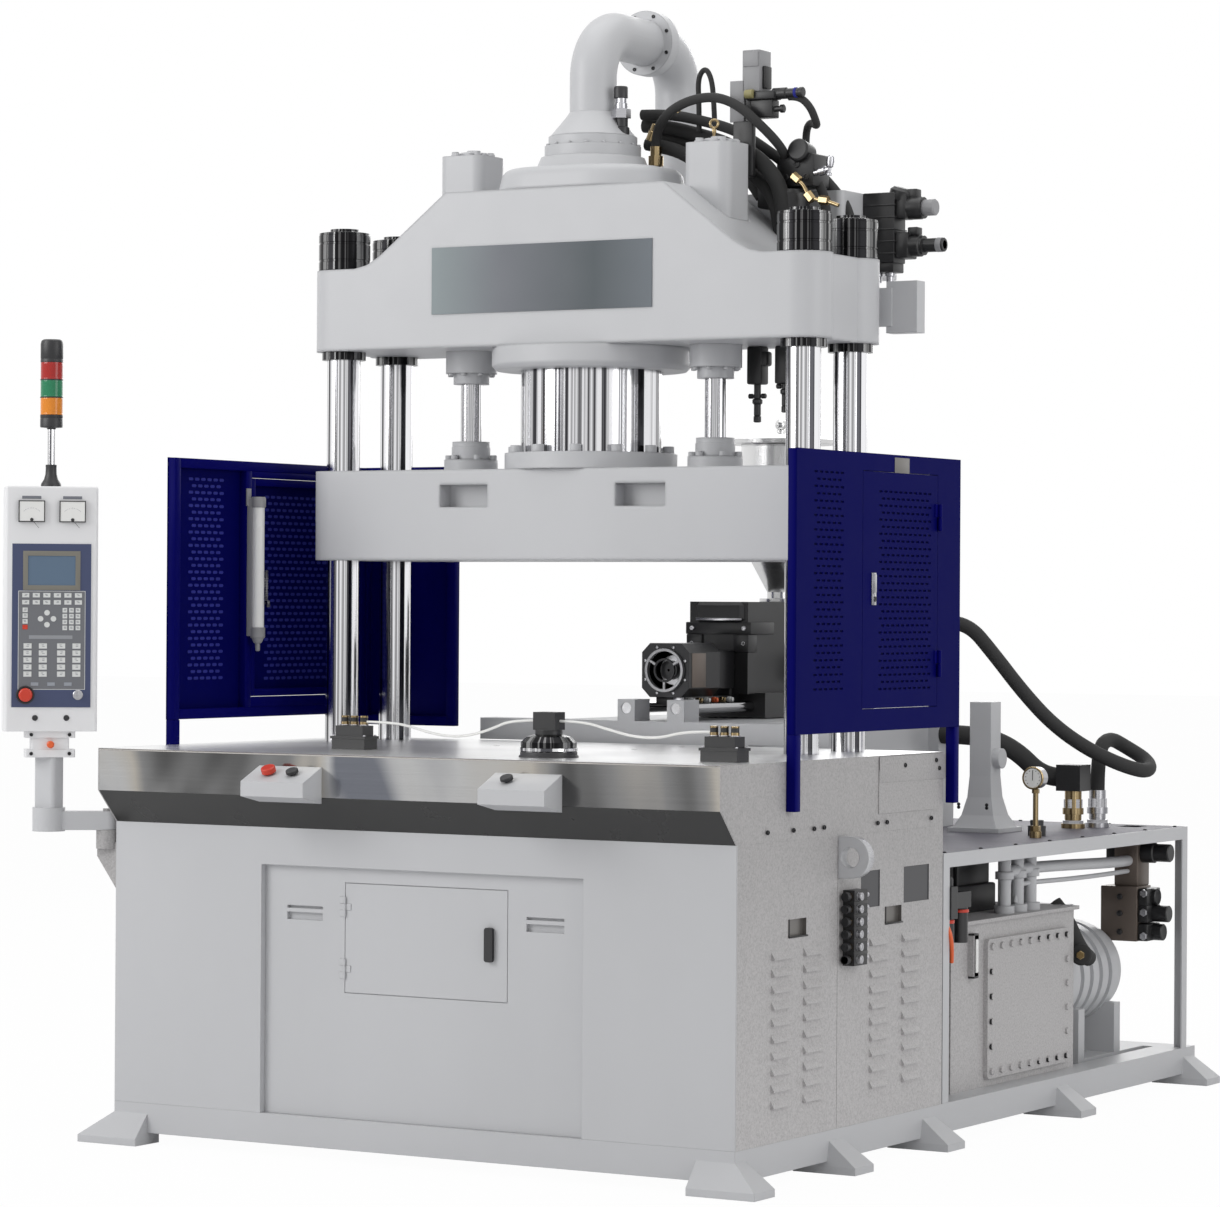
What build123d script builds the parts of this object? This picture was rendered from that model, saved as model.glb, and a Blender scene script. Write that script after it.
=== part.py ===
"""Injection moulding machine: vertical clamp on four tie bars, horizontal injection from behind.

Millimetres. X runs to the right, Y to the back and Z up from the floor. The machine is drawn on
its own centreline and cabinet front, and moved at the end so that its box stands on the origin.
"""

import os
from math import atan2, cos, degrees, radians, sin, tan

from build123d import *

# Fits
running_gap = 0.05
seat_gap = 0.3
leaf_gap = 2.0

# Base frame and its feet
half_width = 1085.0
base_length = 3350.0
cabinet_depth = 1321.0
base_lift = 35.0
beam_height = 90.0
beam_width = 110.0
foot_reach = 95.0
foot_width = 120.0
foot_top_width = 84.0
foot_pad = 22.0
foot_rise = 73.0
side_feet = (
    cabinet_depth / 2 - 46.5, cabinet_depth - 89.0, (cabinet_depth + base_length) / 2 - 111.5,
    base_length - 60.0,
)
corner_foot_front = 60.0
corner_foot_inset = 125.0

# Cabinet and table
cabinet_height = 858.0
table_overhang = 93.0
table_rise = 227.0
apron_drop = 128.0
sheet = 4.0
skirt_sheet = 3.0
table_sheet = 10.0
table_nose_radius = 6.0
recess_left = -0.4977 * half_width
recess_right = 0.53825 * half_width
recess_height = 746.0
recess_depth = 22.0
jamb_depth = 30.0
access_left = -0.2304 * half_width
access_right = 0.29124 * half_width
access_low = 500.0
access_high = 824.0
access_lip = 12.0
access_hinge_radius = 3.5
access_hinge_pin = 1.5
access_hinge_length = 60.0
access_hinge_leaf = 20.0
access_hinge_inset = 40.0
panel_handle_width = 128.0
panel_handle_height = 42.0
panel_handle_left = (recess_left + access_left) / 2 - 1.0
panel_handle_right = (recess_right + access_right) / 2 - 5.0
panel_handle_z = 730.0
pull_depth = 16.0
pull_bar = 12.0
panel_seam = cabinet_depth - 704.0
louvre_rows = 10
louvre_pitch = 47.0
louvre_low = 223.0
louvre_length = 113.0
louvre_height = 24.0
louvre_reach = 11.0
louvre_columns_front = (panel_seam - 353.0, panel_seam - 157.0)
louvre_columns_rear = (panel_seam + 265.0, panel_seam + 479.0)
side_pull_front = panel_seam - 253.0
side_pull_rear = panel_seam + 364.0
side_pull_width = 114.0
side_pull_height = 52.0
side_pull_z = 730.0
window_rows = (
    (panel_seam + 150.0, panel_seam + 274.0), (panel_seam + 435.0, panel_seam + 607.0),
)
window_low = 761.0
window_high = 870.0
window_depth = 2.0
side_plate_front = cabinet_depth - 443.0
side_plate_rear = cabinet_depth - 35.0
side_plate_low = 53.0
side_plate_height = 130.0
side_plate_thick = 3.0
hook_reach = 100.0
hook_height = 122.0
hook_thick = 36.0
hook_drop = 2.0
hook_hole = 30.0
manifold_front = panel_seam + 35.0
manifold_low = 600.0
manifold_width = 84.0
manifold_depth = 38.0
manifold_rows = 6
manifold_pitch = 37.0
manifold_knob_radius = 13.0
manifold_knob_length = 26.0
manifold_nipple_radius = 8.0
manifold_nipple_length = 34.0

# Clamp
clamp_y = cabinet_depth - 309.0
bar_x = half_width - 250.0
bar_y = 155.0
bar_radius = 53.0
bed_platen_thick = 240.0
platen_lobe = 88.0
platen_scallop = 30.0
platen_side_step = 22.0
platen_step_height = 125.0
moving_low = 1793.0
moving_thick = 285.0
top_low = 2462.0
top_ledge = 260.0
rise_height = 228.0
rise_half_base = bar_x - 145.0
rise_half_top = 395.0
rise_blend = 46.0
nut_radius = 81.0
nut_height = 122.0
nut_cap_radius = 46.0
nut_cap_height = 13.0
collar_radius = 70.0
collar_height = 26.0
ram_radius = 222.0
ram_ring_radius = 272.0
ram_ring_height = 52.0
ram_length = 745.0
cylinder_flange_radius = 314.0
cylinder_flange_height = 72.0
dome_height = 110.0
dome_half_x = 290.0
dome_half_y = 240.0
dome_corner = 200.0
dome_shoulder = 72.0
dome_draft = 18.0
booster_x = 447.0
booster_side = 160.0
booster_corner = 34.0
booster_rise = 135.0
booster_gland_radius = 82.0
booster_gland_height = 104.0
booster_rod_radius = 33.5
booster_piston_radius = 52.0
booster_boss_radius = 86.0
booster_boss_height = 96.0
pocket_x = 320.0
pocket_width = 176.0
pocket_height = 70.0
pocket_depth = 60.0
pocket_drop = 48.0
mould_bolt_x = 500.0
mould_bolt_y = 300.0
mould_bolt_radius = 11.0
mould_bolt_depth = 60.0
name_plate_width = 800.0
name_plate_height = 210.0
name_plate_thick = 3.0
name_plate_x = -42.0
name_plate_low = 105.0

# Prefill pipe and top tank
pipe_radius = 74.0
pipe_foot_radius = 152.0
pipe_foot_height = 66.0
pipe_neck_height = 42.0
pipe_neck_radius = 104.0
pipe_rise = 403.0
pipe_bend = 150.0
pipe_reach = 541.0
pipe_joint_y = 341.0
pipe_joint_radius = 104.0
pipe_joint_thick = 46.0
top_tank_half = bar_x - 100.0
top_tank_gap = 46.0
top_tank_depth = 400.0
top_tank_drop = 22.0
top_tank_height = 255.0
tank_arm = 60.0
tank_arm_x = 300.0

# Small things on the top platen
junction_width = 105.0
junction_depth = 55.0
junction_height = 160.0
junction_low = 2500.0
stack_depth = 100.0
stack_width = 115.0
stack_low = 2735.0
stack_height = 225.0
stack_from_front = 130.0
solenoid_radius = 28.0
solenoid_lengths = (110.0, 150.0)
switch_box_width = 122.0
switch_box_depth = 72.0
switch_box_height = 141.0
switch_box_rise = 295.0
switch_post = 34.0
switch_x = 495.0
block_x = 500.0
block_width = 100.0
block_height = 130.0
limit_x = bar_x - 311.0
limit_y = clamp_y + 130.0
limit_width = 56.0
limit_height = 118.0
limit_plunger_radius = 11.0
limit_plunger_length = 96.0

# Guards
guard_front = cabinet_depth - 1031.0
guard_rear = cabinet_depth + 49.0
guard_low = 1287.0
guard_high = 2110.0
guard_thick = 30.0
guard_rim = 32.0
guard_sheet = 3.0
guard_door_front = guard_front + 416.0
guard_door_rear = guard_rear - 158.0
guard_door_low = 1352.0
guard_door_high = 2058.0
guard_door_rim = 24.0
guard_leg = 34.0
guard_leg_foot = 1066.0
guard_rear_leg_foot = 1052.0
return_reach = 350.0
return_low = 1250.0
hinge_radius = 7.0
hinge_pin_radius = 3.5
hinge_length = 40.0
hinge_inset = 90.0
guard_latch_z = 1708.0
guard_latch_height = 96.0
guard_latch_width = 24.0
guard_latch_thick = 8.0
lamp_y = guard_door_front - 9.0
lamp_low = 1542.0
lamp_high = 1995.0
lamp_radius = 22.0

# Injection unit
injection_z = 1444.0
injection_bed_half = 360.0
injection_bed_rear = cabinet_depth + 1429.0
injection_bed_front = cabinet_depth + 79.0
injection_bed_top = 1280.0
cross_beam_half = half_width - 435.0
cross_beam_depth = 97.0
cross_beam_height = 70.0
guide_x = 92.0
guide_z = 1322.0
guide_radius = 18.0
bracket_width = 64.0
bracket_height = 70.0
saddle_front = cabinet_depth + 579.0
saddle_rear = cabinet_depth + 1079.0
saddle_half = 150.0
housing_front = saddle_front - 49.0
housing_half = 110.0
housing_top = 1668.0
barrel_radius = 48.0
barrel_front = cabinet_depth + 224.0
nozzle_radius = 31.0
nozzle_front = barrel_front - 30.0
nozzle_orifice = 4.0
screw_radius = 25.0
cover_front = barrel_front - 63.0
cover_rear = barrel_front + 155.0
cover_half = 88.0
cover_cut = 30.0
cover_wall = 5.0
cover_ring_radius = 71.0
cover_ring_wall = 9.0
cover_tail_half = 62.0
cover_tail_rear = barrel_front + 300.0
drive_gap = 20.0
drive_thick = 90.0
drive_half = 195.0
drive_height = 120.0
motor_radius = 78.0
motor_length = 170.0
thrust_radius = 36.0
thrust_x = 150.0
thrust_length = 330.0
hopper_y = saddle_rear - 119.0
hopper_throat = 22.0
hopper_neck = 44.0
hopper_neck_height = 34.0
hopper_cone = 170.0
hopper_radius = 135.0
hopper_wall = 4.0
hopper_top = 2205.0
hopper_lid_radius = 190.0
hopper_lid_height = 40.0
hopper_knob_radius = 20.0
bulkhead_x = 352.0
bulkhead_width = 48.0
bulkhead_rise = 375.0
bulkhead_y = injection_bed_rear + 10.0
bulkhead_thick = 60.0

# Control arm and panel
arm_hinge_out = 42.0
arm_hinge_y = 10.0
arm_low = 955.0
arm_high = 1012.0
arm_half = 29.0
hub_height = 38.0
hub_radius = 34.0
arm_pin_radius = 14.0
panel_x = -half_width - 183.0
panel_y = -100.0
elbow_radius = 50.0
elbow_low = 951.0
elbow_high = 1024.0
tube_width = 78.0
tube_depth = 58.0
tube_top = 1178.0
panel_turn = 42.0
coupling_height = 80.0
coupling_width = 152.0
coupling_depth = 84.0
lock_knob_radius = 11.0
panel_width = 283.0
panel_depth = 115.0
panel_height = 750.0
panel_corner = 18.0
overlay_width = 240.0
overlay_height = 500.0
overlay_low = 74.0
overlay_proud = 3.0
meter_width = 80.0
meter_height = 66.0
meter_proud = 9.0
meter_x = 62.0
meter_low = 640.0
stop_x = -78.0
stop_low = 112.0
stop_cap_radius = 21.0
stop_stem_radius = 11.0
key_x = 82.0
key_radius = 12.0
tower_radius = 35.0
tower_foot_height = 67.0
tower_pole_radius = 9.0
tower_pole_length = 113.0
tower_lens_height = 54.0
tower_base_height = 40.0
tower_cap_height = 70.0

# Two-hand boxes on the apron
hand_box_centres = (-0.34286 * half_width, 0.42028 * half_width)
hand_box_width = 224.0
hand_box_reach = 97.0
hand_box_back_top = 1172.0
hand_box_front_top = 1128.0
hand_box_front_low = 1084.0
hand_box_back_low = 1064.0
button_travel = 5.0
button_stem = 9.0
button_cap = 19.0
button_cap_height = 11.0
button_offset = 42.0

# Devices on the table
device_x = (-0.39631 * half_width, 0.34562 * half_width, half_width - 135.0)
device_y = (330.0, 150.0, 170.0)
device_half = 60.0
device_base = 32.0
device_high = 72.0
core_radius = 82.0
core_height = 80.0

# Rear power pack
rear_bay = base_length - cabinet_depth
deck_top = 895.0
deck_sheet = 6.0
deck_front = cabinet_depth + 7.0
deck_rear = base_length - 76.0
angle_leg = 44.0
angle_wall = 6.0
pump_front = base_length - rear_bay * 790 / 2029
oil_tank_front = cabinet_depth + rear_bay * 239 / 2029
oil_tank_rear = pump_front - 60.0
oil_tank_right = half_width - 85.0
oil_tank_left = oil_tank_right - 620.0
oil_tank_top = 662.0
tank_flange = 12.0
tank_cover_front = oil_tank_front + 238.0
tank_cover_rear = oil_tank_rear - 67.0
tank_cover_low = 150.0
tank_cover_high = 596.0
tank_cover_thick = 16.0
gauge_y = oil_tank_front + 140.0
gauge_low = 487.0
gauge_high = 616.0
riser_radius = 21.0
riser_places = tuple((half_width - 135.0, oil_tank_front + rear_bay * ahead) for ahead in (0.246427, 0.295712, 0.344998))
pump_x = half_width - 325.0
pump_rear = base_length - 270.0
pump_length = pump_rear - pump_front
pump_z = 400.0
pump_radius = 175.0
pump_fin = 14.0
pump_fins = 5
valve_left = half_width - 235.0
valve_right = half_width - 85.0
valve_front = base_length - 590.0
valve_rear = base_length - 190.0
valve_low = 500.0
valve_high = 700.0
regulator_drop = 205.0
regulator_height = 100.0
regulator_width = 60.0
regulator_depth = 46.0
regulator_reach = 150.0
bowl_length = 100.0
gauge_stem = 166.0
gauge_stem_radius = 9.0
gauge_head = 36.0
cap_radius = 30.0
cap_height = 52.0
post_x = half_width - 435.0
post_y = base_length - 805.0
post_height = 439.0
post_width = 78.0
post_foot = 190.0
post_foot_rise = 190.0
hose_radius = 25.0
low_hose_radius = 33.0
top_hose_radius = 15.0
loop_hose_radius = 12.0
air_tube_radius = 4.0
fitting_x = (half_width - 235.0, half_width - 279.0)
fitting_y = (base_length - 318.0, base_length - 425.0)
fitting_rise = 129.0
elbow_reach = 45.0
head_fitting = (150.0, clamp_y + 138.0)
head_fitting_rise = 82.0

# Sizes worked out from the ones above
base_top = base_lift + beam_height
cabinet_top = base_top + cabinet_height
table_top = cabinet_top + table_rise
table_under = table_top - table_sheet
apron_low = table_top - apron_drop
inner_half = half_width - sheet
platen_half_y = bar_y + platen_lobe
platen_front = clamp_y - platen_half_y
platen_rear = clamp_y + platen_half_y
platen_end = bar_x + platen_lobe
moving_top = moving_low + moving_thick
ledge_top = top_low + top_ledge
rise_top = ledge_top + rise_height
bar_hole = bar_radius + running_gap
bar_places = [(sx * bar_x, clamp_y + sy * bar_y) for sx in (-1, 1) for sy in (-1, 1)]
bar_low = table_under - bed_platen_thick - nut_height - nut_cap_height
bar_top = ledge_top + nut_height
cylinder_low = top_low - cylinder_flange_height
cylinder_bore = ram_radius + running_gap
ram_top = moving_top + ram_length
booster_places = [(sx * booster_x, clamp_y) for sx in (-1, 1)]
booster_top = rise_top + booster_rise
booster_gland_low = top_low - booster_gland_height
rod_top = booster_top - 165
dome_top = rise_top + dome_height
pipe_top = dome_top + pipe_rise
head_fitting_top = rise_top + dome_shoulder + head_fitting_rise
switch_box_low = rise_top + switch_box_rise
pipe_foot_top = dome_top + pipe_foot_height
top_tank_front = platen_rear + top_tank_gap
top_tank_low = ledge_top - top_tank_drop
top_tank_top = top_tank_low + top_tank_height
top_tank_mid = clamp_y + pipe_reach
guard_inner = half_width
guard_outer = half_width + guard_thick
barrel_bore = screw_radius + running_gap
bulkhead_top = injection_bed_top + bulkhead_rise
drive_front = saddle_rear + drive_gap
deck_low = deck_top - angle_leg
post_top = deck_top + post_height
fitting_top = deck_top + fitting_rise
core_head = core_radius * 0.46
device_port = device_half * 0.57 + device_half / 5
panel_low = tube_top + coupling_height
panel_top = panel_low + panel_height


def block(x0, x1, y0, y1, z0, z1):
    """A box between two corners."""
    return Pos((x0 + x1) / 2, (y0 + y1) / 2, (z0 + z1) / 2) * Box(x1 - x0, y1 - y0, z1 - z0)


def upright(x, y, z0, z1, radius):
    """A cylinder that stands on z0 and ends at z1."""
    return Pos(x, y, (z0 + z1) / 2) * Cylinder(radius, z1 - z0)


def along_x(y, z, x0, x1, radius):
    """A cylinder that lies along X."""
    return Pos((x0 + x1) / 2, y, z) * Rot(0, 90, 0) * Cylinder(radius, x1 - x0)


def along_y(x, z, y0, y1, radius):
    """A cylinder that lies along Y."""
    return Pos(x, (y0 + y1) / 2, z) * Rot(90, 0, 0) * Cylinder(radius, y1 - y0)


def slab_x(outline, x0, x1):
    """An outline of (y, z) points carried from x0 to x1."""
    face = make_face(Polyline(*[(x0, y, z) for y, z in outline], close=True))
    return extrude(face, amount=x1 - x0, dir=(1, 0, 0))


def slab_y(outline, y0, y1):
    """An outline of (x, z) points carried from y0 to y1."""
    face = make_face(Polyline(*[(x, y0, z) for x, z in outline], close=True))
    return extrude(face, amount=y1 - y0, dir=(0, 1, 0))


def turned(profile, x, y):
    """A profile of (radius, z) points turned round the upright axis at x, y."""
    face = make_face(Polyline(*[(r, 0, z) for r, z in profile], close=True))
    return Pos(x, y, 0) * revolve(face, Axis.Z)


def frustum(low, high, z0, z1):
    """A loft between two upright rectangles, each given as (x0, x1, y0, y1)."""
    faces = []
    for (x0, x1, y0, y1), z in ((low, z0), (high, z1)):
        centre = Pos((x0 + x1) / 2, (y0 + y1) / 2, z)
        faces.append(centre * Rectangle(x1 - x0, y1 - y0))
    return loft(faces)


def group(*solids):
    """Separate solids kept together in one node."""
    return Compound([solid for shape in solids for solid in shape.solids()])


def other_side(shape):
    """The same piece on the left of the machine."""
    return mirror(shape, Plane.YZ)


def make_base_frame():
    """Welded skid: a rim of beams, two cross beams and sloped feet."""
    frame = block(-half_width, half_width, 0, base_length, base_lift, base_top)
    tank_beam = side_feet[2] - beam_width / 2
    bays = (
        (beam_width, cabinet_depth - beam_width),
        (cabinet_depth, tank_beam),
        (tank_beam + beam_width, base_length - beam_width),
    )
    inner = half_width - beam_width
    for front, rear in bays:
        frame -= block(-inner, inner, front, rear, base_lift, base_top)
    outer = half_width + foot_reach
    slope_top = foot_pad + foot_rise
    feet = []
    for y in side_feet:
        low = (inner, outer, y - foot_width / 2, y + foot_width / 2)
        high = (inner, half_width - 2, y - foot_top_width / 2, y + foot_top_width / 2)
        feet.append(block(*low, 0, foot_pad))
        feet.append(frustum(low, high, foot_pad, slope_top))
    corner = half_width - corner_foot_inset
    low = (corner, outer, -corner_foot_front, corner_foot_front)
    high = (corner, half_width - 2, 2, corner_foot_front)
    feet.append(block(*low, 0, foot_pad))
    feet.append(frustum(low, high, foot_pad, slope_top))
    for foot in feet:
        frame = frame + foot + other_side(foot)
    return frame


def make_bed_frame():
    """Welded frame in the cabinet that carries the lower platen and the table."""
    wall = 30.0
    outer = platen_end + 10 + wall
    front, rear = 40.0, cabinet_depth - 20
    platen_low = table_under - bed_platen_thick
    side = block(outer - wall, outer, front, rear, base_top, table_under)
    frame = side + other_side(side)
    half = bar_y - nut_radius - 14
    frame += block(-outer, outer, clamp_y - half, clamp_y + half, platen_low - 160, platen_low)
    frame += block(-outer, outer, front, front + wall, apron_low, table_under)
    frame += block(-outer, outer, rear - wall, rear, base_top, table_under)
    return frame


def make_bed_platen():
    """Lower platen with the tie-bar bores and the tapped holes of the mould."""
    platen = block(
        -platen_end, platen_end, platen_front, platen_rear, table_under - bed_platen_thick, table_under
    )
    for x, y in bar_places:
        platen -= upright(x, y, table_under - bed_platen_thick, table_under, bar_hole)
    for x, y in mould_bolts():
        platen -= upright(x, y, table_under - mould_bolt_depth, table_under, mould_bolt_radius)
    return platen


def mould_bolts():
    """Places of the four mould bolts, round the clamp's centre."""
    places = []
    for sx in (-1, 1):
        for sy in (-1, 1):
            places.append((sx * mould_bolt_x / 2, clamp_y + sy * mould_bolt_y / 2))
    return places


def make_table_cover():
    """Polished cover of the table, folded down at the front."""
    top = block(-inner_half, inner_half, -table_overhang, cabinet_depth, table_under, table_top)
    fold = block(
        -inner_half, inner_half, -table_overhang, -table_overhang + sheet, apron_low, table_top
    )
    cover = top + fold
    nose = cover.edges().filter_by(Axis.X).filter_by_position(Axis.Z, table_top - 1, table_top + 1)
    cover = fillet(nose.sort_by(Axis.Y)[0], table_nose_radius)
    for x, y in bar_places:
        cover -= upright(x, y, table_under, table_top, bar_hole + 1)
    for x, y in mould_bolts():
        cover -= upright(x, y, table_under, table_top, mould_bolt_radius)
    return cover


def make_apron_skirt():
    """Dark plate that slopes back from the apron to the cabinet front."""
    outline = [
        (-table_overhang, apron_low),
        (0, cabinet_top),
        (skirt_sheet, cabinet_top),
        (skirt_sheet, cabinet_top + skirt_sheet),
        (skirt_sheet - table_overhang + 2, apron_low),
    ]
    return slab_x(outline, -inner_half, inner_half)


def make_cabinet_front():
    """Front sheet of the cabinet with the folded jambs of its recess."""
    top = base_top + recess_height
    front = block(-half_width, half_width, 0, sheet, base_top, cabinet_top)
    jambs = block(
        recess_left - sheet, recess_right + sheet, 0, jamb_depth, base_top, top + sheet
    )
    front += jambs
    front -= block(recess_left, recess_right, 0, jamb_depth, base_top, top)
    return front


def flush_pull(x, z, width, height, face):
    """Dish and grip bar of a flush pull in the XZ plane: what is added, and what is cut."""
    dish = block(
        x - width / 2 - 3, x + width / 2 + 3, face, face + pull_depth, z - height / 2 - 3, z + height / 2 + 3
    )
    hollow = block(
        x - width / 2, x + width / 2, face - 1, face + pull_depth - 3, z - height / 2, z + height / 2
    )
    bar = block(
        x - width / 2, x + width / 2, face, face + 4, z + height / 2 - pull_bar - 8, z + height / 2 - 8
    )
    return dish, hollow, bar


def make_service_panel():
    """Removable panel in the recess, with a lipped opening and two flush pulls."""
    face = recess_depth
    back = face + sheet
    high = base_top + recess_height - seat_gap
    panel = block(
        recess_left + seat_gap, recess_right - seat_gap, face, back, base_top + seat_gap, high
    )
    panel += block(
        access_left - 20, access_right + 20, back, back + sheet, access_low - 20, access_high + 20
    )
    panel -= block(
        access_left - leaf_gap, access_right + leaf_gap, face, back, access_low - leaf_gap,
        access_high + leaf_gap
    )
    lip = access_lip
    panel -= block(
        access_left + lip, access_right - lip, back, back + sheet, access_low + lip, access_high - lip
    )
    for x in (panel_handle_left, panel_handle_right):
        dish, hollow, bar = flush_pull(
            x, panel_handle_z, panel_handle_width, panel_handle_height, face
        )
        panel = panel + dish - hollow + bar
    for z in access_hinge_rows():
        panel += access_knuckles(z, -1)
    return panel


def make_access_door():
    """Small door in the service panel, hung at its left edge, with a hole for the latch."""
    door = block(
        access_left, access_right, recess_depth, recess_depth + sheet - seat_gap, access_low,
        access_high
    )
    door -= along_y(latch_x(), latch_z(), recess_depth - 1, recess_depth + sheet, 9 + running_gap)
    for z in access_hinge_rows():
        door += access_knuckles(z, 1)
    return door


def access_hinge():
    """The upright axis of the small door: X and Y."""
    return access_left, recess_depth - access_hinge_radius


def access_hinge_rows():
    """Heights at which the door's two hinges start."""
    return access_low + access_hinge_inset, access_high - access_hinge_inset - access_hinge_length


def access_knuckles(low, side):
    """One hinge's leaf and knuckles: the panel's pair with its pin (-1), or the door's (1)."""
    x, y = access_hinge()
    third = access_hinge_length / 3
    radius, gap = access_hinge_radius, seat_gap
    if side > 0:
        spans = [(low + third + gap, low + 2 * third - gap)]
    else:
        spans = [(low, low + third), (low + 2 * third, low + access_hinge_length)]
    shapes = []
    for z0, z1 in spans:
        reach = x + side * access_hinge_leaf
        leaf = block(min(x, reach), max(x, reach), y + radius - 2, y + radius + 1, z0, z1)
        shapes.append(leaf + upright(x, y, z0, z1, radius if side > 0 else radius - gap))
    knuckles = shapes[0]
    for shape in shapes[1:]:
        knuckles += shape
    if side > 0:
        return knuckles - upright(x, y, low, low + access_hinge_length, access_hinge_pin + running_gap)
    return knuckles + upright(x, y, low, low + access_hinge_length, access_hinge_pin)


def latch_x():
    """The latch's place across the door."""
    return access_right - 58


def latch_z():
    """The latch's height on the door."""
    return (access_low + access_high) / 2 + 3


def make_access_latch():
    """Swing handle of the door: a long grip on a spindle with its tongue behind."""
    x, z, face = latch_x(), latch_z(), recess_depth
    grip = block(x - 14, x + 14, face - 14, face - 2, z - 50, z + 50)
    grip = fillet(grip.edges().filter_by(Axis.Y), 8)
    spindle = along_y(x, z, face - 3, face + sheet + 5, 9)
    tongue = block(x - 10, x + 30, face + sheet + 5, face + sheet + 9, z - 9, z + 9)
    return grip + spindle + tongue


def louvre(y, z, face):
    """One pressed louvre on a side panel: a hood that opens downwards."""
    outline = [
        (face, z + louvre_height),
        (face + louvre_reach, z + 5),
        (face + louvre_reach, z),
        (face, z),
    ]
    return slab_y(outline, y - louvre_length / 2, y + louvre_length / 2)


def make_side_panel(front, rear, columns, pull_y, windows):
    """One lower side panel on the right, with louvres, a flush pull and windows."""
    panel = block(inner_half, half_width, front, rear, base_top, cabinet_top)
    hoods = []
    for y in columns:
        for row in range(louvre_rows):
            hoods.append(louvre(y, louvre_low + row * louvre_pitch, half_width))
    panel = panel + hoods
    dish = block(
        half_width - pull_depth, half_width, pull_y - side_pull_width / 2 - 3,
        pull_y + side_pull_width / 2 + 3, side_pull_z - side_pull_height / 2 - 3,
        side_pull_z + side_pull_height / 2 + 3
    )
    hollow = block(
        half_width - pull_depth + 3, half_width + 1, pull_y - side_pull_width / 2,
        pull_y + side_pull_width / 2, side_pull_z - side_pull_height / 2,
        side_pull_z + side_pull_height / 2
    )
    panel = panel + dish - hollow
    for y0, y1 in windows:
        panel -= block(half_width - window_depth, half_width, y0, y1, window_low, window_high)
    return panel


def make_side_panels_right():
    """The two lower panels of the right side."""
    front = make_side_panel(sheet, panel_seam - 1, louvre_columns_front, side_pull_front, ())
    rear = make_side_panel(
        panel_seam + 1, cabinet_depth, louvre_columns_rear, side_pull_rear, window_rows
    )
    return group(front, rear)


def make_side_panels_left():
    """The two lower panels of the left side, with the arm's bracket plate let in."""
    front = make_side_panel(sheet, panel_seam - 1, louvre_columns_front, side_pull_front, ())
    rear = make_side_panel(
        panel_seam + 1, cabinet_depth, louvre_columns_rear, side_pull_rear, ()
    )
    bracket_top = arm_low - hub_height
    x0, x1 = half_width - sheet, half_width + arm_hinge_out
    gusset = slab_y(
        [
            (x0, bracket_top), (x1 + hub_radius, bracket_top),
            (x1 + hub_radius, bracket_top - 44), (x0, bracket_top - 150),
        ],
        sheet, arm_hinge_y + hub_radius
    )
    front += gusset
    front += upright(x1, arm_hinge_y, bracket_top - 20, arm_low - seat_gap, hub_radius)
    front += upright(x1, arm_hinge_y, arm_low - 1, arm_high + 8, arm_pin_radius)
    return group(other_side(front), other_side(rear))


def make_rear_panel():
    """Plain sheet that closes the cabinet at the back."""
    return block(
        -inner_half, inner_half, cabinet_depth - sheet, cabinet_depth, base_top, table_under
    )


def make_upper_side_covers():
    """Side covers of the table; the right one carries a screwed plate."""
    outline = [
        (-table_overhang, apron_low), (0, cabinet_top), (cabinet_depth, cabinet_top),
        (cabinet_depth, table_top), (-table_overhang, table_top),
    ]
    cover = slab_x(outline, inner_half, half_width)
    low = cabinet_top + side_plate_low
    plate = block(
        half_width, half_width + side_plate_thick, side_plate_front, side_plate_rear, low,
        low + side_plate_height
    )
    return group(cover + plate, other_side(cover))


def make_lifting_hook():
    """D-shaped lifting lug that stands out of the right side."""
    high = cabinet_top - hook_drop
    low = high - hook_height
    radius = hook_height / 2
    straight = hook_reach - radius
    y0 = panel_seam + 2
    lug = block(half_width, half_width + straight, y0, y0 + hook_thick, low, high)
    lug += along_y(half_width + straight, (low + high) / 2, y0, y0 + hook_thick, radius)
    lug &= block(half_width, half_width + hook_reach, y0, y0 + hook_thick, low, high)
    hole = along_y(half_width + straight, (low + high) / 2, y0, y0 + hook_thick, hook_hole)
    return lug - hole


def make_water_manifold():
    """Cooling water manifold: a row of flow knobs on its left and hose nipples on its right."""
    rear = manifold_front + manifold_width
    high = manifold_low + manifold_rows * manifold_pitch
    x1 = half_width + manifold_depth
    body = block(half_width, x1, manifold_front, rear, manifold_low, high)
    middle = half_width + manifold_depth / 2
    for row in range(manifold_rows):
        z = manifold_low + (row + 0.5) * manifold_pitch
        knob_end = manifold_front - manifold_knob_length
        body += along_y(middle, z, knob_end, manifold_front - 7, manifold_knob_radius)
        body += along_y(middle, z, manifold_front - 7, manifold_front, 6)
        body += along_y(middle, z, rear, rear + manifold_nipple_length, manifold_nipple_radius)
        body += along_x(manifold_front + 26, z, x1, x1 + 12, 12)
    return body


def make_tie_bars():
    """Four polished tie bars."""
    return group(*[upright(x, y, bar_low, bar_top, bar_radius) for x, y in bar_places])


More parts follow.
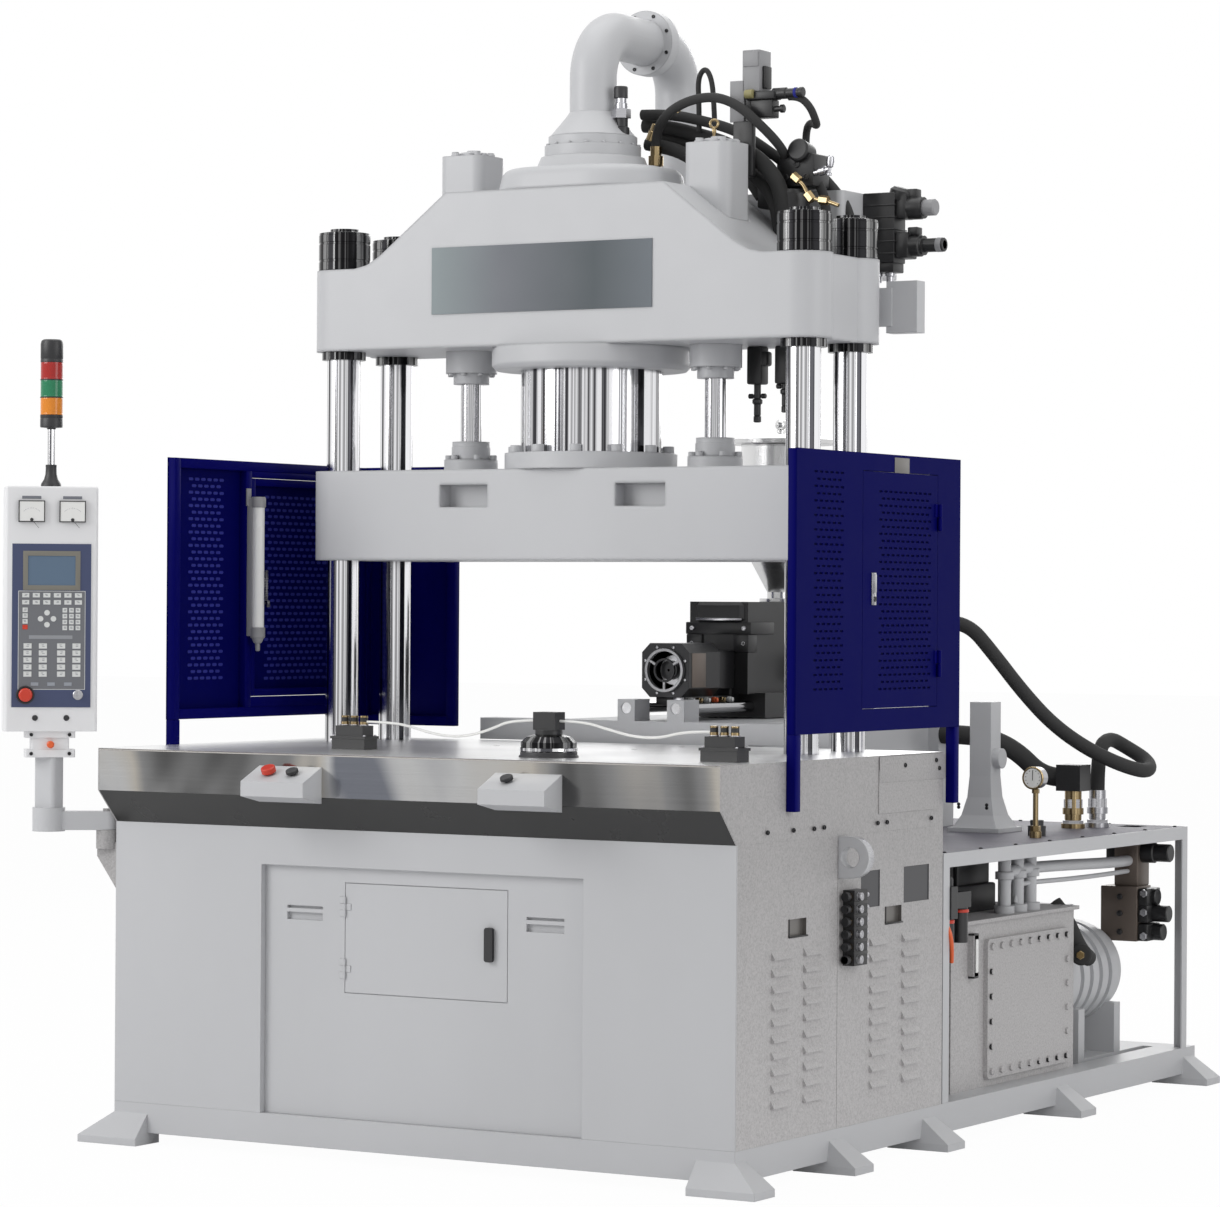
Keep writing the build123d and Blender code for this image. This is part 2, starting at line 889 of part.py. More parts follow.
def make_tie_bar_nuts():
    """Round nuts above the top platen and below the bed, and the collars under the top platen."""
    pieces = []
    for x, y in bar_places:
        top = upright(x, y, ledge_top, bar_top, nut_radius) - upright(x, y, ledge_top, bar_top, bar_hole)
        top += upright(x, y, bar_top, bar_top + nut_cap_height, nut_cap_radius)
        bed = table_under - bed_platen_thick
        low = upright(x, y, bed - nut_height, bed, nut_radius)
        low -= upright(x, y, bed - nut_height, bed, bar_hole)
        collar = upright(x, y, top_low - collar_height, top_low, collar_radius)
        collar -= upright(x, y, top_low - collar_height, top_low, bar_hole)
        pieces += [top, low, collar]
    return group(*pieces)


def platen_plan(lobe, end):
    """Plan of a platen: four round lobes, a full middle and ends that are set in between them."""
    inset = end - platen_scallop
    plan = Pos(0, clamp_y) * Rectangle(2 * bar_x, 2 * (bar_y + lobe))
    plan += Pos(0, clamp_y) * Rectangle(2 * inset, 2 * bar_y)
    for x, y in bar_places:
        plan += Pos(x, y) * Circle(lobe)
    return plan


def make_top_platen():
    """Cast top platen: a thick ledge on the tie bars that rises to a high middle."""
    platen = extrude(Pos(0, 0, top_low) * platen_plan(platen_lobe, platen_end), amount=top_ledge)
    blend = rise_blend
    base = rise_half_base
    slope = (rise_half_base - rise_half_top) / rise_height
    outline = [
        (-base - blend, ledge_top), (-base, ledge_top + blend * 0.22),
        (-base + slope * blend * 0.8, ledge_top + blend * 0.8), (-rise_half_top, rise_top),
        (rise_half_top, rise_top), (base - slope * blend * 0.8, ledge_top + blend * 0.8),
        (base, ledge_top + blend * 0.22), (base + blend, ledge_top),
    ]
    outline = outline + [(base + blend, ledge_top - 20), (-base - blend, ledge_top - 20)]
    rise = slab_y(outline, platen_front, platen_rear)
    for x, y in bar_places:
        rise -= upright(x, y, ledge_top, rise_top, nut_radius + 4)
    platen += rise
    for x, y in bar_places:
        platen -= upright(x, y, top_low, ledge_top, bar_hole)
    platen -= upright(0, clamp_y, top_low, rise_top, cylinder_bore)
    for x, y in booster_places:
        platen -= upright(x, y, top_low, ledge_top, booster_gland_radius - 10 + running_gap)
        side = booster_side + 2 * running_gap
        seat = RectangleRounded(side, side, booster_corner + running_gap)
        platen -= extrude(Pos(x, y, ledge_top) * seat, amount=rise_top - ledge_top)
    low = top_low + name_plate_low
    x0 = name_plate_x - name_plate_width / 2
    platen += block(
        x0, x0 + name_plate_width, platen_front - name_plate_thick, platen_front, low,
        low + name_plate_height
    )
    return platen


def make_cylinder_covers():
    """Gland ring under the top platen and domed head over the ram's bore."""
    gland = turned(
        [
            (cylinder_bore, cylinder_low), (cylinder_flange_radius - 14, cylinder_low),
            (cylinder_flange_radius, cylinder_low + 14), (cylinder_flange_radius, top_low),
            (cylinder_bore, top_low),
        ],
        0, clamp_y
    )
    half_x, half_y, corner = dome_half_x, dome_half_y, dome_corner
    shoulder = rise_top + dome_shoulder
    low = RectangleRounded(2 * half_x, 2 * half_y, corner)
    high = RectangleRounded(2 * (half_x - dome_draft), 2 * (half_y - dome_draft), corner - dome_draft)
    head = loft([Pos(0, clamp_y, rise_top) * low, Pos(0, clamp_y, shoulder) * high])
    edge = head.edges().filter_by_position(Axis.Z, shoulder - 1, shoulder + 1)
    head = fillet(edge, 34)
    crown = [
        (0, shoulder - 4), (half_y - 60, shoulder - 4), (half_y - 60, shoulder),
        (pipe_foot_radius + 12, dome_top), (0, dome_top),
    ]
    head += turned(crown, 0, clamp_y)
    return group(gland, head)


def make_booster_cylinders():
    """Two small cylinders that lift the platen: a gland below and a bolted head above."""
    pieces = []
    for x, y in booster_places:
        neck = booster_gland_radius - 10
        bore = booster_piston_radius + running_gap
        gland = upright(x, y, booster_gland_low, booster_gland_low + 34, booster_rod_radius + 24)
        gland += upright(x, y, booster_gland_low + 34, top_low, booster_gland_radius)
        body = gland + upright(x, y, top_low, ledge_top, neck)
        head = Pos(x, y, ledge_top) * RectangleRounded(booster_side, booster_side, booster_corner)
        body += extrude(head, amount=booster_top - ledge_top)
        for angle in range(45, 360, 90):
            px = x + booster_piston_radius * 1.1 * cos(radians(angle))
            py = y + booster_piston_radius * 1.1 * sin(radians(angle))
            body += upright(px, py, booster_top, booster_top + 16, 12)
        body -= upright(x, y, booster_gland_low, booster_top - 40, booster_rod_radius + running_gap)
        body -= upright(x, y, top_low, booster_top - 40, bore)
        pieces.append(body)
    return group(*pieces)


def make_moving_platen():
    """Cast moving platen with its tie-bar bores, pockets and rod bosses."""
    platen = extrude(Pos(0, 0, moving_low) * platen_plan(platen_lobe, platen_end), amount=moving_thick)
    step_top = moving_low + platen_step_height
    for side in (-1, 1):
        end = side * platen_end
        inner = side * (platen_end - platen_side_step)
        platen -= block(
            min(end, inner), max(end, inner), platen_front, platen_rear, moving_low, step_top
        )
    for x, y in booster_places:
        platen += upright(x, y, moving_top, moving_top + booster_boss_height * 0.4, booster_boss_radius)
        platen += upright(
            x, y, moving_top, moving_top + booster_boss_height, booster_boss_radius - 26
        )
        platen -= upright(
            x, y, moving_top - 40, moving_top + booster_boss_height, booster_rod_radius + running_gap
        )
    for x, y in bar_places:
        platen -= upright(x, y, moving_low, moving_top, bar_hole)
    pocket_high = moving_top - pocket_drop
    for x in (-pocket_x, pocket_x):
        for y0, y1 in ((platen_front, platen_front + pocket_depth), (platen_rear - pocket_depth, platen_rear)):
            platen -= block(
                x - pocket_width / 2, x + pocket_width / 2, y0, y1, pocket_high - pocket_height,
                pocket_high
            )
    for x, y in mould_bolts():
        platen -= upright(x, y, moving_low, moving_low + mould_bolt_depth, mould_bolt_radius)
    return platen


def make_rams():
    """Main ram with its bolted ring, and the two booster rods with their pistons."""
    ring = [
        (0, moving_top), (ram_ring_radius, moving_top), (ram_ring_radius, moving_top + ram_ring_height),
        (ram_radius, moving_top + ram_ring_height), (ram_radius, ram_top), (0, ram_top),
    ]
    pieces = [turned(ring, 0, clamp_y)]
    for x, y in booster_places:
        rod = upright(x, y, moving_top - 40, rod_top, booster_rod_radius)
        rod += upright(x, y, rod_top - 60, rod_top, booster_piston_radius)
        pieces.append(rod)
    return group(*pieces)


def make_prefill_pipe():
    """Prefill pipe: up from the cylinder head, over two bends and down into the top tank."""
    bend = pipe_bend
    rear = clamp_y + pipe_reach
    path = FilletPolyline(
        (0, clamp_y, dome_top + 20), (0, clamp_y, pipe_top), (0, rear, pipe_top),
        (0, rear, top_tank_top), radius=bend
    )
    pipe = sweep(Plane(path @ 0, z_dir=path % 0) * Circle(pipe_radius), path=path)
    foot = [
        (0, dome_top), (pipe_foot_radius, dome_top), (pipe_foot_radius, dome_top + pipe_foot_height * 0.55),
        (pipe_foot_radius - 12, dome_top + pipe_foot_height * 0.55),
        (pipe_foot_radius - 12, pipe_foot_top), (pipe_neck_radius, pipe_foot_top),
        (pipe_radius, pipe_foot_top + pipe_neck_height), (0, pipe_foot_top + pipe_neck_height),
    ]
    pipe += turned(foot, 0, clamp_y)
    joint = clamp_y + pipe_joint_y
    pipe += along_y(
        0, pipe_top, joint - pipe_joint_thick / 2, joint + pipe_joint_thick / 2, pipe_joint_radius
    )
    pipe += upright(0, rear, top_tank_top, top_tank_top + 30, pipe_joint_radius)
    return pipe


def make_top_oil_tank():
    """Prefill oil tank behind the top platen, on two arms from the platen's back."""
    y0, y1 = top_tank_front, top_tank_front + top_tank_depth
    tank = block(-top_tank_half, top_tank_half, y0, y1, top_tank_low, top_tank_top)
    tank = fillet(tank.edges().filter_by(Axis.Z), 24)
    for side in (-1, 1):
        x = side * tank_arm_x
        arm = block(
            x - tank_arm / 2, x + tank_arm / 2, platen_rear, y1 - 60, top_tank_low - tank_arm, top_tank_low
        )
        tank += arm
    tank += block(-top_tank_half * 0.4, top_tank_half * 0.4, y0 + 30, y0 + 50, top_tank_top, top_tank_top + 8)
    return tank


def make_junction_box():
    """Terminal box at the right rear corner of the top platen, on its fixing plate."""
    x0 = platen_end - 12
    y0 = platen_rear + sheet
    high = junction_low + junction_height
    box = block(x0, x0 + junction_width, y0, y0 + junction_depth, junction_low, high)
    plate = block(bar_x - 60, x0 + 20, platen_rear, y0, junction_low + 20, high - 20)
    return box + plate


def make_top_valves():
    """Valve stack on the tank's end, pressure switch on a post, and limit switch below."""
    x0 = top_tank_half
    y0 = top_tank_front + stack_from_front
    y1 = y0 + stack_depth
    stack = block(x0, x0 + stack_width, y0, y1, stack_low, stack_low + stack_height)
    mid = (y0 + y1) / 2
    for length, z in zip(solenoid_lengths, (stack_low + stack_height - 40, stack_low + 55)):
        stack += along_x(mid, z, x0 + stack_width, x0 + stack_width + length, solenoid_radius)
        stack += along_x(mid, z, x0 + stack_width + 12, x0 + stack_width + 60, solenoid_radius + 8)
    manifold_top = top_tank_top + block_height
    rear = clamp_y + booster_side / 2
    x = switch_x
    switch = block(x - 25, x + 25, rear, rear + 8, rise_top + 40, booster_top)
    switch += block(
        x - switch_post / 2, x + switch_post / 2, rear + 8, rear + 8 + switch_post, rise_top + 40,
        switch_box_low
    )
    x0 = x - switch_post / 2 - 8
    switch += block(
        x0, x0 + switch_box_width, rear + 8, rear + 8 + switch_box_depth, switch_box_low,
        switch_box_low + switch_box_height
    )
    x0 += 14
    switch += block(x0, x0 + 70, rear + 4, rear + 70, switch_box_low - 36, switch_box_low)
    switch += along_x(rear + 40, switch_box_low - 12, x0 + 70, x0 + 150, 15)
    manifold = block(
        block_x, block_x + block_width, top_tank_front + 4, top_tank_front + 4 + block_width,
        top_tank_top, manifold_top
    )
    port = upright(block_x + block_width - 14, top_tank_front + 36, manifold_top, manifold_top + 20, 16)
    line = Rot(0, 112, 0) * Pos(0, 0, 100) * Cylinder(32, 200)
    stack += manifold + port + Pos(block_x + block_width - 10, mid, manifold_top - 28) * line
    solids = [stack, switch]
    for lx, reach in ((limit_x, limit_plunger_length), (limit_x + 98, limit_plunger_length * 0.7)):
        low = top_low - limit_height
        half = limit_width / 2
        body = block(lx - half, lx + half, limit_y - half, limit_y + half, low, top_low)
        body += upright(lx, limit_y, low - reach, low, limit_plunger_radius)
        body += upright(lx, limit_y, low - reach - 22, low - reach, limit_plunger_radius + 9)
        solids.append(body)
    return group(*solids)


def hinge_barrel(x, y, z0):
    """The guard's knuckle of a hinge at x, y, with its pin."""
    barrel = upright(x, y, z0, z0 + hinge_length, hinge_radius)
    return barrel + upright(x, y, z0 + hinge_length, z0 + 2 * hinge_length - 4, hinge_pin_radius)


def hinge_heights():
    """Heights of the two hinges of a guard door."""
    return (guard_door_low + hinge_inset, guard_door_high - hinge_inset - 2 * hinge_length)


def make_guard():
    """One side guard on the right: a rimmed sheet with a door opening, on two legs."""
    x0, x1 = guard_inner, guard_outer
    guard = block(x0, x1, guard_front, guard_rear, guard_low, guard_high)
    rim = guard_rim
    skin = x1 - guard_sheet
    guard -= block(x0, skin, guard_front + rim, guard_rear - rim, guard_low + rim, guard_high - rim)
    frame = block(
        x0, x1, guard_door_front - rim, guard_door_rear + rim, guard_door_low - rim,
        guard_door_high + rim
    )
    guard += frame
    guard -= block(x0, x1, guard_door_front, guard_door_rear, guard_door_low, guard_door_high)
    guard += block(x0, x1, guard_front, guard_front + guard_leg, guard_leg_foot, guard_low)
    guard += block(x0, x1, guard_rear - guard_leg, guard_rear, guard_rear_leg_foot, guard_low)
    axis_x, axis_y = guard_hinge()
    for z0 in hinge_heights():
        guard += block(x1 - 3, x1 + 3.5, axis_y + 1, axis_y + 22, z0, z0 + hinge_length)
        guard += hinge_barrel(axis_x, axis_y, z0)
    return guard


def guard_hinge():
    """The upright axis of the right guard's door."""
    return guard_outer + hinge_radius + 0.5, guard_door_rear - leaf_gap / 2


def make_guard_door():
    """Door of the right guard: a rimmed leaf with hinge knuckles and a latch."""
    x0, x1 = guard_inner + 4, guard_outer
    y0, y1 = guard_door_front + leaf_gap, guard_door_rear - leaf_gap
    z0, z1 = guard_door_low + leaf_gap, guard_door_high - leaf_gap
    rim = guard_door_rim
    door = block(x0, x1, y0, y1, z0, z1)
    door -= block(x0, x1 - guard_sheet, y0 + rim, y1 - rim, z0 + rim, z1 - rim)
    axis_x, axis_y = guard_hinge()
    for z in hinge_heights():
        low = z + hinge_length + seat_gap
        door += block(x1 - 3, x1 + 3.5, axis_y - 22, axis_y - 1, low, low + hinge_length)
        door += upright(axis_x, axis_y, low, low + hinge_length, hinge_radius)
        door -= upright(axis_x, axis_y, low, low + hinge_length, hinge_pin_radius + running_gap)
    door += block(
        x1, x1 + guard_latch_thick, y0 + 56, y0 + 56 + guard_latch_width,
        guard_latch_z - guard_latch_height / 2, guard_latch_z + guard_latch_height / 2
    )
    return door


def make_left_guard():
    """Left guard with its return panel at the back and its lamp inside."""
    guard = make_guard()
    x0 = guard_inner
    lamp = upright(x0 - 34, lamp_y, lamp_low, lamp_high, lamp_radius)
    for z in (lamp_low, lamp_high - 24):
        lamp += block(x0 - 34, x0, lamp_y - 10, lamp_y + 10, z, z + 24)
    lamp_face = guard_door_front - guard_rim
    lamp += block(x0 - 8, x0, lamp_y - 14, lamp_face + guard_rim, lamp_low, lamp_low + 24)
    reach = x0 - return_reach
    rim = guard_rim
    back = guard_rear
    panel = block(reach, guard_outer, back, back + guard_thick, return_low, guard_high)
    panel -= block(
        reach + rim, guard_outer - rim, back, back + guard_thick - guard_sheet, return_low + rim,
        guard_high - rim
    )
    return guard, panel, lamp


def make_injection_bed():
    """Bed of the injection unit: a long box with a front cross beam, rod brackets and a post."""
    bed = block(
        -injection_bed_half, injection_bed_half, injection_bed_front, injection_bed_rear, deck_top,
        injection_bed_top
    )
    beam_rear = injection_bed_front + cross_beam_depth
    bed += block(
        -cross_beam_half, cross_beam_half, injection_bed_front, beam_rear,
        injection_bed_top - cross_beam_height, injection_bed_top
    )
    rear = injection_bed_rear
    for x in (-guide_x, guide_x):
        for y0, y1 in ((injection_bed_front, beam_rear), (rear - cross_beam_depth, rear)):
            ear = block(
                x - bracket_width / 2, x + bracket_width / 2, y0, y1, injection_bed_top,
                injection_bed_top + bracket_height
            )
            bed += ear
            bed -= along_y(x, guide_z, y0, y1, guide_radius + running_gap)
    bed += block(
        bulkhead_x, bulkhead_x + bulkhead_width, bulkhead_y - 20, bulkhead_y + bulkhead_thick,
        deck_top, bulkhead_top
    )
    bed += block(
        injection_bed_half - 20, bulkhead_x + bulkhead_width, bulkhead_y - 60, bulkhead_y, deck_top,
        injection_bed_top
    )
    return bed


def make_guide_rods():
    """Two rods that the injection carriage slides on."""
    rods = []
    for x in (-guide_x, guide_x):
        rods.append(along_y(x, guide_z, injection_bed_front + 2, injection_bed_rear - 2, guide_radius))
    return group(*rods)


def make_injection_carriage():
    """Saddle on the guide rods, with the feed housing and the two thrust cylinders."""
    saddle_low = injection_bed_top + 3
    rear = saddle_rear
    body = block(-saddle_half, saddle_half, saddle_front, rear, saddle_low, guide_z + 44)
    body += block(-housing_half, housing_half, housing_front, rear, guide_z + 40, housing_top)
    for x in (-thrust_x, thrust_x):
        body += along_y(x, injection_z, rear - 190, rear + thrust_length, thrust_radius)
    flange = thrust_x + thrust_radius
    body += block(-flange, flange, rear - 190, rear - 150, injection_z - 45, injection_z + 45)
    for x in (-guide_x, guide_x):
        body -= along_y(x, guide_z, saddle_front, rear, guide_radius + running_gap)
    body -= along_y(0, injection_z, housing_front, rear, barrel_radius + running_gap)
    body -= upright(0, hopper_y, injection_z, housing_top, hopper_throat)
    return body


def make_barrel():
    """Heated barrel with its nozzle, fixed in the feed housing."""
    z = injection_z
    barrel = along_y(0, z, barrel_front, saddle_rear, barrel_radius)
    for k in range(3):
        y0 = barrel_front + 40 + k * 78
        barrel += along_y(0, z, y0, y0 + 56, barrel_radius + 7)
    barrel += along_y(0, z, nozzle_front, barrel_front, nozzle_radius)
    barrel -= along_y(0, z, barrel_front + 20, saddle_rear, barrel_bore)
    barrel -= along_y(0, z, nozzle_front, barrel_front + 20, nozzle_orifice)
    barrel -= upright(0, hopper_y, z, z + barrel_radius + 8, hopper_throat)
    return barrel


def make_barrel_cover():
    """Octagonal cover round the barrel with a spoked ring at its mouth."""
    z, half, cut = injection_z, cover_half, cover_cut

    def octagon(reach):
        return [
            (-reach, z - reach + cut), (-reach + cut, z - reach), (reach - cut, z - reach),
            (reach, z - reach + cut), (reach, z + reach - cut), (reach - cut, z + reach),
            (-reach + cut, z + reach), (-reach, z + reach - cut),
        ]

    cover = slab_y(octagon(half), cover_front + 12, cover_rear)
    inner = half - cover_wall
    tail = cover_tail_half
    cover += block(-tail, tail, cover_rear - 5, cover_tail_rear, z - tail, z + tail)
    cover -= slab_y(octagon(inner), cover_front + 12 + cover_wall, cover_rear - cover_wall)
    hole = barrel_radius + 8 + running_gap
    seat = cover_tail_rear - 40
    cover -= along_y(0, z, cover_rear - cover_wall, seat, hole)
    cover -= along_y(0, z, seat, cover_tail_rear, barrel_radius + running_gap)
    cover -= along_y(0, z, cover_front, cover_front + 30, cover_ring_radius - cover_ring_wall)
    ring = along_y(0, z, cover_front, cover_front + 12, cover_ring_radius)
    ring -= along_y(0, z, cover_front, cover_front + 12, cover_ring_radius - cover_ring_wall)
    cover += ring
    for angle in (90, 210, 330):
        arm = Pos(0, cover_front + 6, 0) * Box(cover_ring_radius - nozzle_radius - 8, 8, 8)
        spoke = Pos((cover_ring_radius + nozzle_radius) / 2 - 1, 0, 0) * arm
        cover += Pos(0, 0, z) * Rot(0, angle, 0) * spoke
    hub = along_y(0, z, cover_front + 2, cover_front + 10, nozzle_radius + 8)
    hub -= along_y(0, z, cover_front + 2, cover_front + 10, nozzle_radius + 1)
    cover += hub
    return cover


def make_screw_drive():
    """Thrust plate on the two cylinders, with the hydraulic motor of the screw behind it."""
    y0 = drive_front + seat_gap
    y1 = y0 + drive_thick
    z = injection_z
    plate = block(-drive_half, drive_half, y0, y1, z - drive_height / 2, z + drive_height / 2)
    for x in (-thrust_x, thrust_x):
        plate -= along_y(x, z, y0, y1, thrust_radius + running_gap)
    plate += along_y(0, z, y1, y1 + motor_length, motor_radius)
    port = motor_length / 4
    plate += block(-port, port, y1 + port, y1 + 3 * port, z + motor_radius * 0.7, z + motor_radius * 1.5)
    plate -= along_y(0, z, y0, y0 + drive_thick * 0.67, screw_radius + running_gap)
    return plate


def make_screw():
    """Plasticising screw, from its pointed tip to its splined end in the drive."""
    z = injection_z
    front = barrel_front + 24
    screw = along_y(0, z, front + 40, drive_front + seat_gap + drive_thick * 0.64, screw_radius)
    tip = Pos(0, front + 20, z) * Rot(90, 0, 0) * Cone(screw_radius, 5, 40)
    return screw + tip


def make_hopper():
    """Material hopper: neck, cone and stainless drum, open at the top."""
    low = housing_top
    neck_top = low + hopper_neck_height
    cone_top = neck_top + hopper_cone
    wall = hopper_wall
    profile = [
        (hopper_throat, low), (hopper_neck + 26, low), (hopper_neck + 26, low + 12),
        (hopper_neck, low + 12), (hopper_neck, neck_top), (hopper_radius, cone_top),
        (hopper_radius, hopper_top), (hopper_radius - wall, hopper_top),
        (hopper_radius - wall, cone_top + 1), (hopper_neck - wall, neck_top + 2), (hopper_throat, neck_top - 14),
    ]
    return turned(profile, 0, hopper_y)


def make_hopper_lid():
    """Lid of the hopper, with a rim inside the drum and a ball knob."""
    low = hopper_top
    high = low + hopper_lid_height
    inner = hopper_radius - hopper_wall - 1
    profile = [
        (0, low), (inner - 4, low), (inner - 4, low - 18), (inner, low - 18), (inner, low),
        (hopper_lid_radius, low), (hopper_lid_radius, low + 16), (hopper_radius - 10, high - 8),
        (14, high), (14, high + 10), (0, high + 10),
    ]
    lid = turned(profile, 0, hopper_y)
    return lid + Pos(0, hopper_y, high + 8 + hopper_knob_radius) * Sphere(hopper_knob_radius)


def arm_hinge():
    """The upright axis that the control arm swings on."""
    return -half_width - arm_hinge_out, arm_hinge_y


def make_swing_arm():
    """Cranked arm: a boss on the hinge pin, a level reach, an elbow and an upright tube."""
    hx, hy = arm_hinge()
    reach = ((panel_x - hx) ** 2 + (panel_y - hy) ** 2) ** 0.5
    turn = degrees(atan2(panel_y - hy, panel_x - hx))
    level = block(0, reach, -arm_half, arm_half, arm_low, arm_high)
    arm = Pos(hx, hy, 0) * Rot(0, 0, turn) * level
    arm += upright(hx, hy, arm_low, arm_high, arm_half)
    arm -= upright(hx, hy, arm_low, arm_high, arm_pin_radius + running_gap)
    arm += upright(panel_x, panel_y, elbow_low, elbow_high, elbow_radius)
    post = RectangleRounded(tube_width, tube_depth, 14)
    arm += extrude(Pos(panel_x, panel_y, elbow_high - 10) * post, amount=tube_top - elbow_high + 10)
    arm += upright(panel_x, panel_y, tube_top, tube_top + 30, arm_pin_radius)
    return arm


def on_panel(shape):
    """A piece drawn facing the front at the origin, put on the turned panel's axis."""
    return Pos(panel_x, panel_y, 0) * Rot(0, 0, panel_turn) * shape


def make_control_panel():
    """Panel box with its key field, two meters and the coupling that it turns on."""
    low, high = panel_low, panel_top
    box = extrude(
        Pos(0, 0, low) * RectangleRounded(panel_width, panel_depth, 10), amount=panel_height
    )
    box = fillet(box.edges().filter_by_position(Axis.Z, high - 1, high + 1), 6)
    face = -panel_depth / 2
    box += block(
        -overlay_width / 2, overlay_width / 2, face - overlay_proud, face + 1, low + overlay_low,
        low + overlay_low + overlay_height
    )
    for x in (-meter_x, meter_x):
        z0 = low + meter_low
        box += block(
            x - meter_width / 2, x + meter_width / 2, face - meter_proud, face + 1, z0,
            z0 + meter_height
        )
    coupling_low = tube_top + seat_gap
    half = coupling_width / 2
    body = block(
        -half * 0.76, half * 0.76, -coupling_depth / 2, coupling_depth / 2, coupling_low, low
    )
    body += block(-half, half, -coupling_depth / 2 - 6, coupling_depth / 2, low - 20, low)
    body += block(-half, half, -coupling_depth / 2 - 4, coupling_depth / 2, coupling_low, coupling_low + 24)
    body = fillet(body.edges().filter_by(Axis.Z), 5)
    body -= upright(0, 0, coupling_low, coupling_low + 32, arm_pin_radius + running_gap)
    body += along_y(0, coupling_low + 40, -coupling_depth / 2 - 12, -coupling_depth / 2 + 1, lock_knob_radius)
    box += body
    over = face - overlay_proud
    box -= along_y(stop_x, low + stop_low, over, over + 30, stop_stem_radius + running_gap)
    box -= along_y(key_x, low + stop_low, over, over + 30, key_radius * 0.6 + running_gap)
    return on_panel(box)


def make_panel_stop_button():
    """Mushroom stop button of the panel."""
    over = -panel_depth / 2 - overlay_proud
    z = panel_low + stop_low
    stem = along_y(stop_x, z, over - button_travel - 1, over + 22, stop_stem_radius)
    cap = along_y(stop_x, z, over - button_travel - 15, over - button_travel - 1, stop_cap_radius)
    cap = fillet(cap.edges().sort_by(Axis.Y)[0], 6)
    return on_panel(stem + cap)


def make_panel_key_switch():
    """Key switch of the panel: a round plug with a flat key bow."""
    over = -panel_depth / 2 - overlay_proud
    z = panel_low + stop_low
    plug = along_y(key_x, z, over - 6, over - seat_gap, key_radius)
    plug += along_y(key_x, z, over - seat_gap, over + 22, key_radius * 0.6)
    plug += block(key_x - 2, key_x + 2, over - 26, over - 6, z - 9, z + 9)
    return on_panel(plug)


def make_signal_tower():
    """Signal tower on the panel: foot, pole, base, three lenses and cap."""
    z = panel_top
    foot = turned(
        [(0, z), (31, z), (31, z + 8), (17, z + tower_foot_height), (0, z + tower_foot_height)], 0, 0
    )
    pole_top = z + tower_foot_height + tower_pole_length
    foot += upright(0, 0, z + tower_foot_height, pole_top, tower_pole_radius)
    low = pole_top
    foot += upright(0, 0, low, low + tower_base_height, tower_radius)
    solids = [foot]
    low += tower_base_height
    for name in ("amber", "green", "red"):
        solids.append(upright(0, 0, low, low + tower_lens_height, tower_radius))
        low += tower_lens_height
    cap = upright(0, 0, low, low + tower_cap_height, tower_radius)
    solids.append(fillet(cap.edges().sort_by(Axis.Z)[-1], 8))
    return group(*[on_panel(solid) for solid in solids])


def hand_box_tilt():
    """Slope of a hand box's button face, in degrees."""
    return degrees(atan2(hand_box_back_top - hand_box_front_top, hand_box_reach))


def hand_button_place(x):
    """A frame on the button face of a hand box, with Z out of the face."""
    y = -table_overhang - hand_box_reach / 2
    z = (hand_box_back_top + hand_box_front_top) / 2
    return Pos(x, y, z) * Rot(hand_box_tilt(), 0, 0)


def hand_buttons():
    """Places of the three hand buttons across the machine: stop, left start and right start."""
    left, right = hand_box_centres
    return left - button_offset, left + button_offset, right - button_offset


def make_two_hand_boxes():
    """Two wedge boxes on the apron, bored for their buttons."""
    face = -table_overhang
    outline = [
        (face, hand_box_back_low), (face, hand_box_back_top),
        (face - hand_box_reach, hand_box_front_top), (face - hand_box_reach, hand_box_front_low),
    ]
    boxes = []
    for x in hand_box_centres:
        box = slab_x(outline, x - hand_box_width / 2, x + hand_box_width / 2)
        for bx in hand_buttons():
            if abs(bx - x) < hand_box_width / 2:
                box -= hand_button_place(bx) * Pos(0, 0, -20) * Cylinder(button_stem + running_gap, 48)
        boxes.append(box)
    return group(*boxes)


def make_hand_button(x, cap_radius, cap_height):
    """One sprung button: a stem in the box and a cap that stands clear by its travel."""
    stem_length = 34 + button_travel
    stem = Pos(0, 0, -stem_length / 2 + button_travel + 1) * Cylinder(button_stem, stem_length)
    lift = button_travel + 1
    cap = Pos(0, 0, lift + cap_height / 2) * Cylinder(cap_radius, cap_height)
    cap = fillet(cap.edges().sort_by(Axis.Z)[-1], 4)
    return hand_button_place(x) * (stem + cap)


def device_stack(x, y):
    """A valve device on the table: base, plate, block and brass connectors."""
    z, half, deep = table_top, device_half, device_half * 0.58
    base, plate = z + device_base, z + device_base * 1.25
    stack = block(x - half, x + half, y - deep, y + deep, z, base)
    stack += block(x - half * 1.07, x + half * 1.07, y - deep * 1.09, y + deep * 1.09, base, plate)
    stack += block(x - half * 0.83, x + half * 0.83, y - deep * 0.83, y + deep * 0.83, plate, z + device_high)
    for k in (-0.57, 0, 0.57):
        stack += upright(x + k * half, y, z + device_high, z + device_high + device_half * 0.4, device_half / 5)
    return stack


def make_table_devices():
    """Left valve stack, round core device and right valve stack on the table."""
    z = table_top
    x, y = device_x[1], device_y[1]
    foot, high = core_radius, core_height
    core = turned(
        [(0, z), (foot, z), (foot, z + high * 0.55), (foot * 0.8, z + high * 0.75),
         (foot * 0.49, z + high * 0.825), (foot * 0.49, z + high), (0, z + high)], x, y
    )
    head = core_head
    core += block(x - head, x + head, y - head * 0.74, y + head * 0.74, z + high, z + high * 1.65)
    left = device_stack(device_x[0], device_y[0])
    right = device_stack(device_x[2], device_y[2])
    return group(left, core, right)


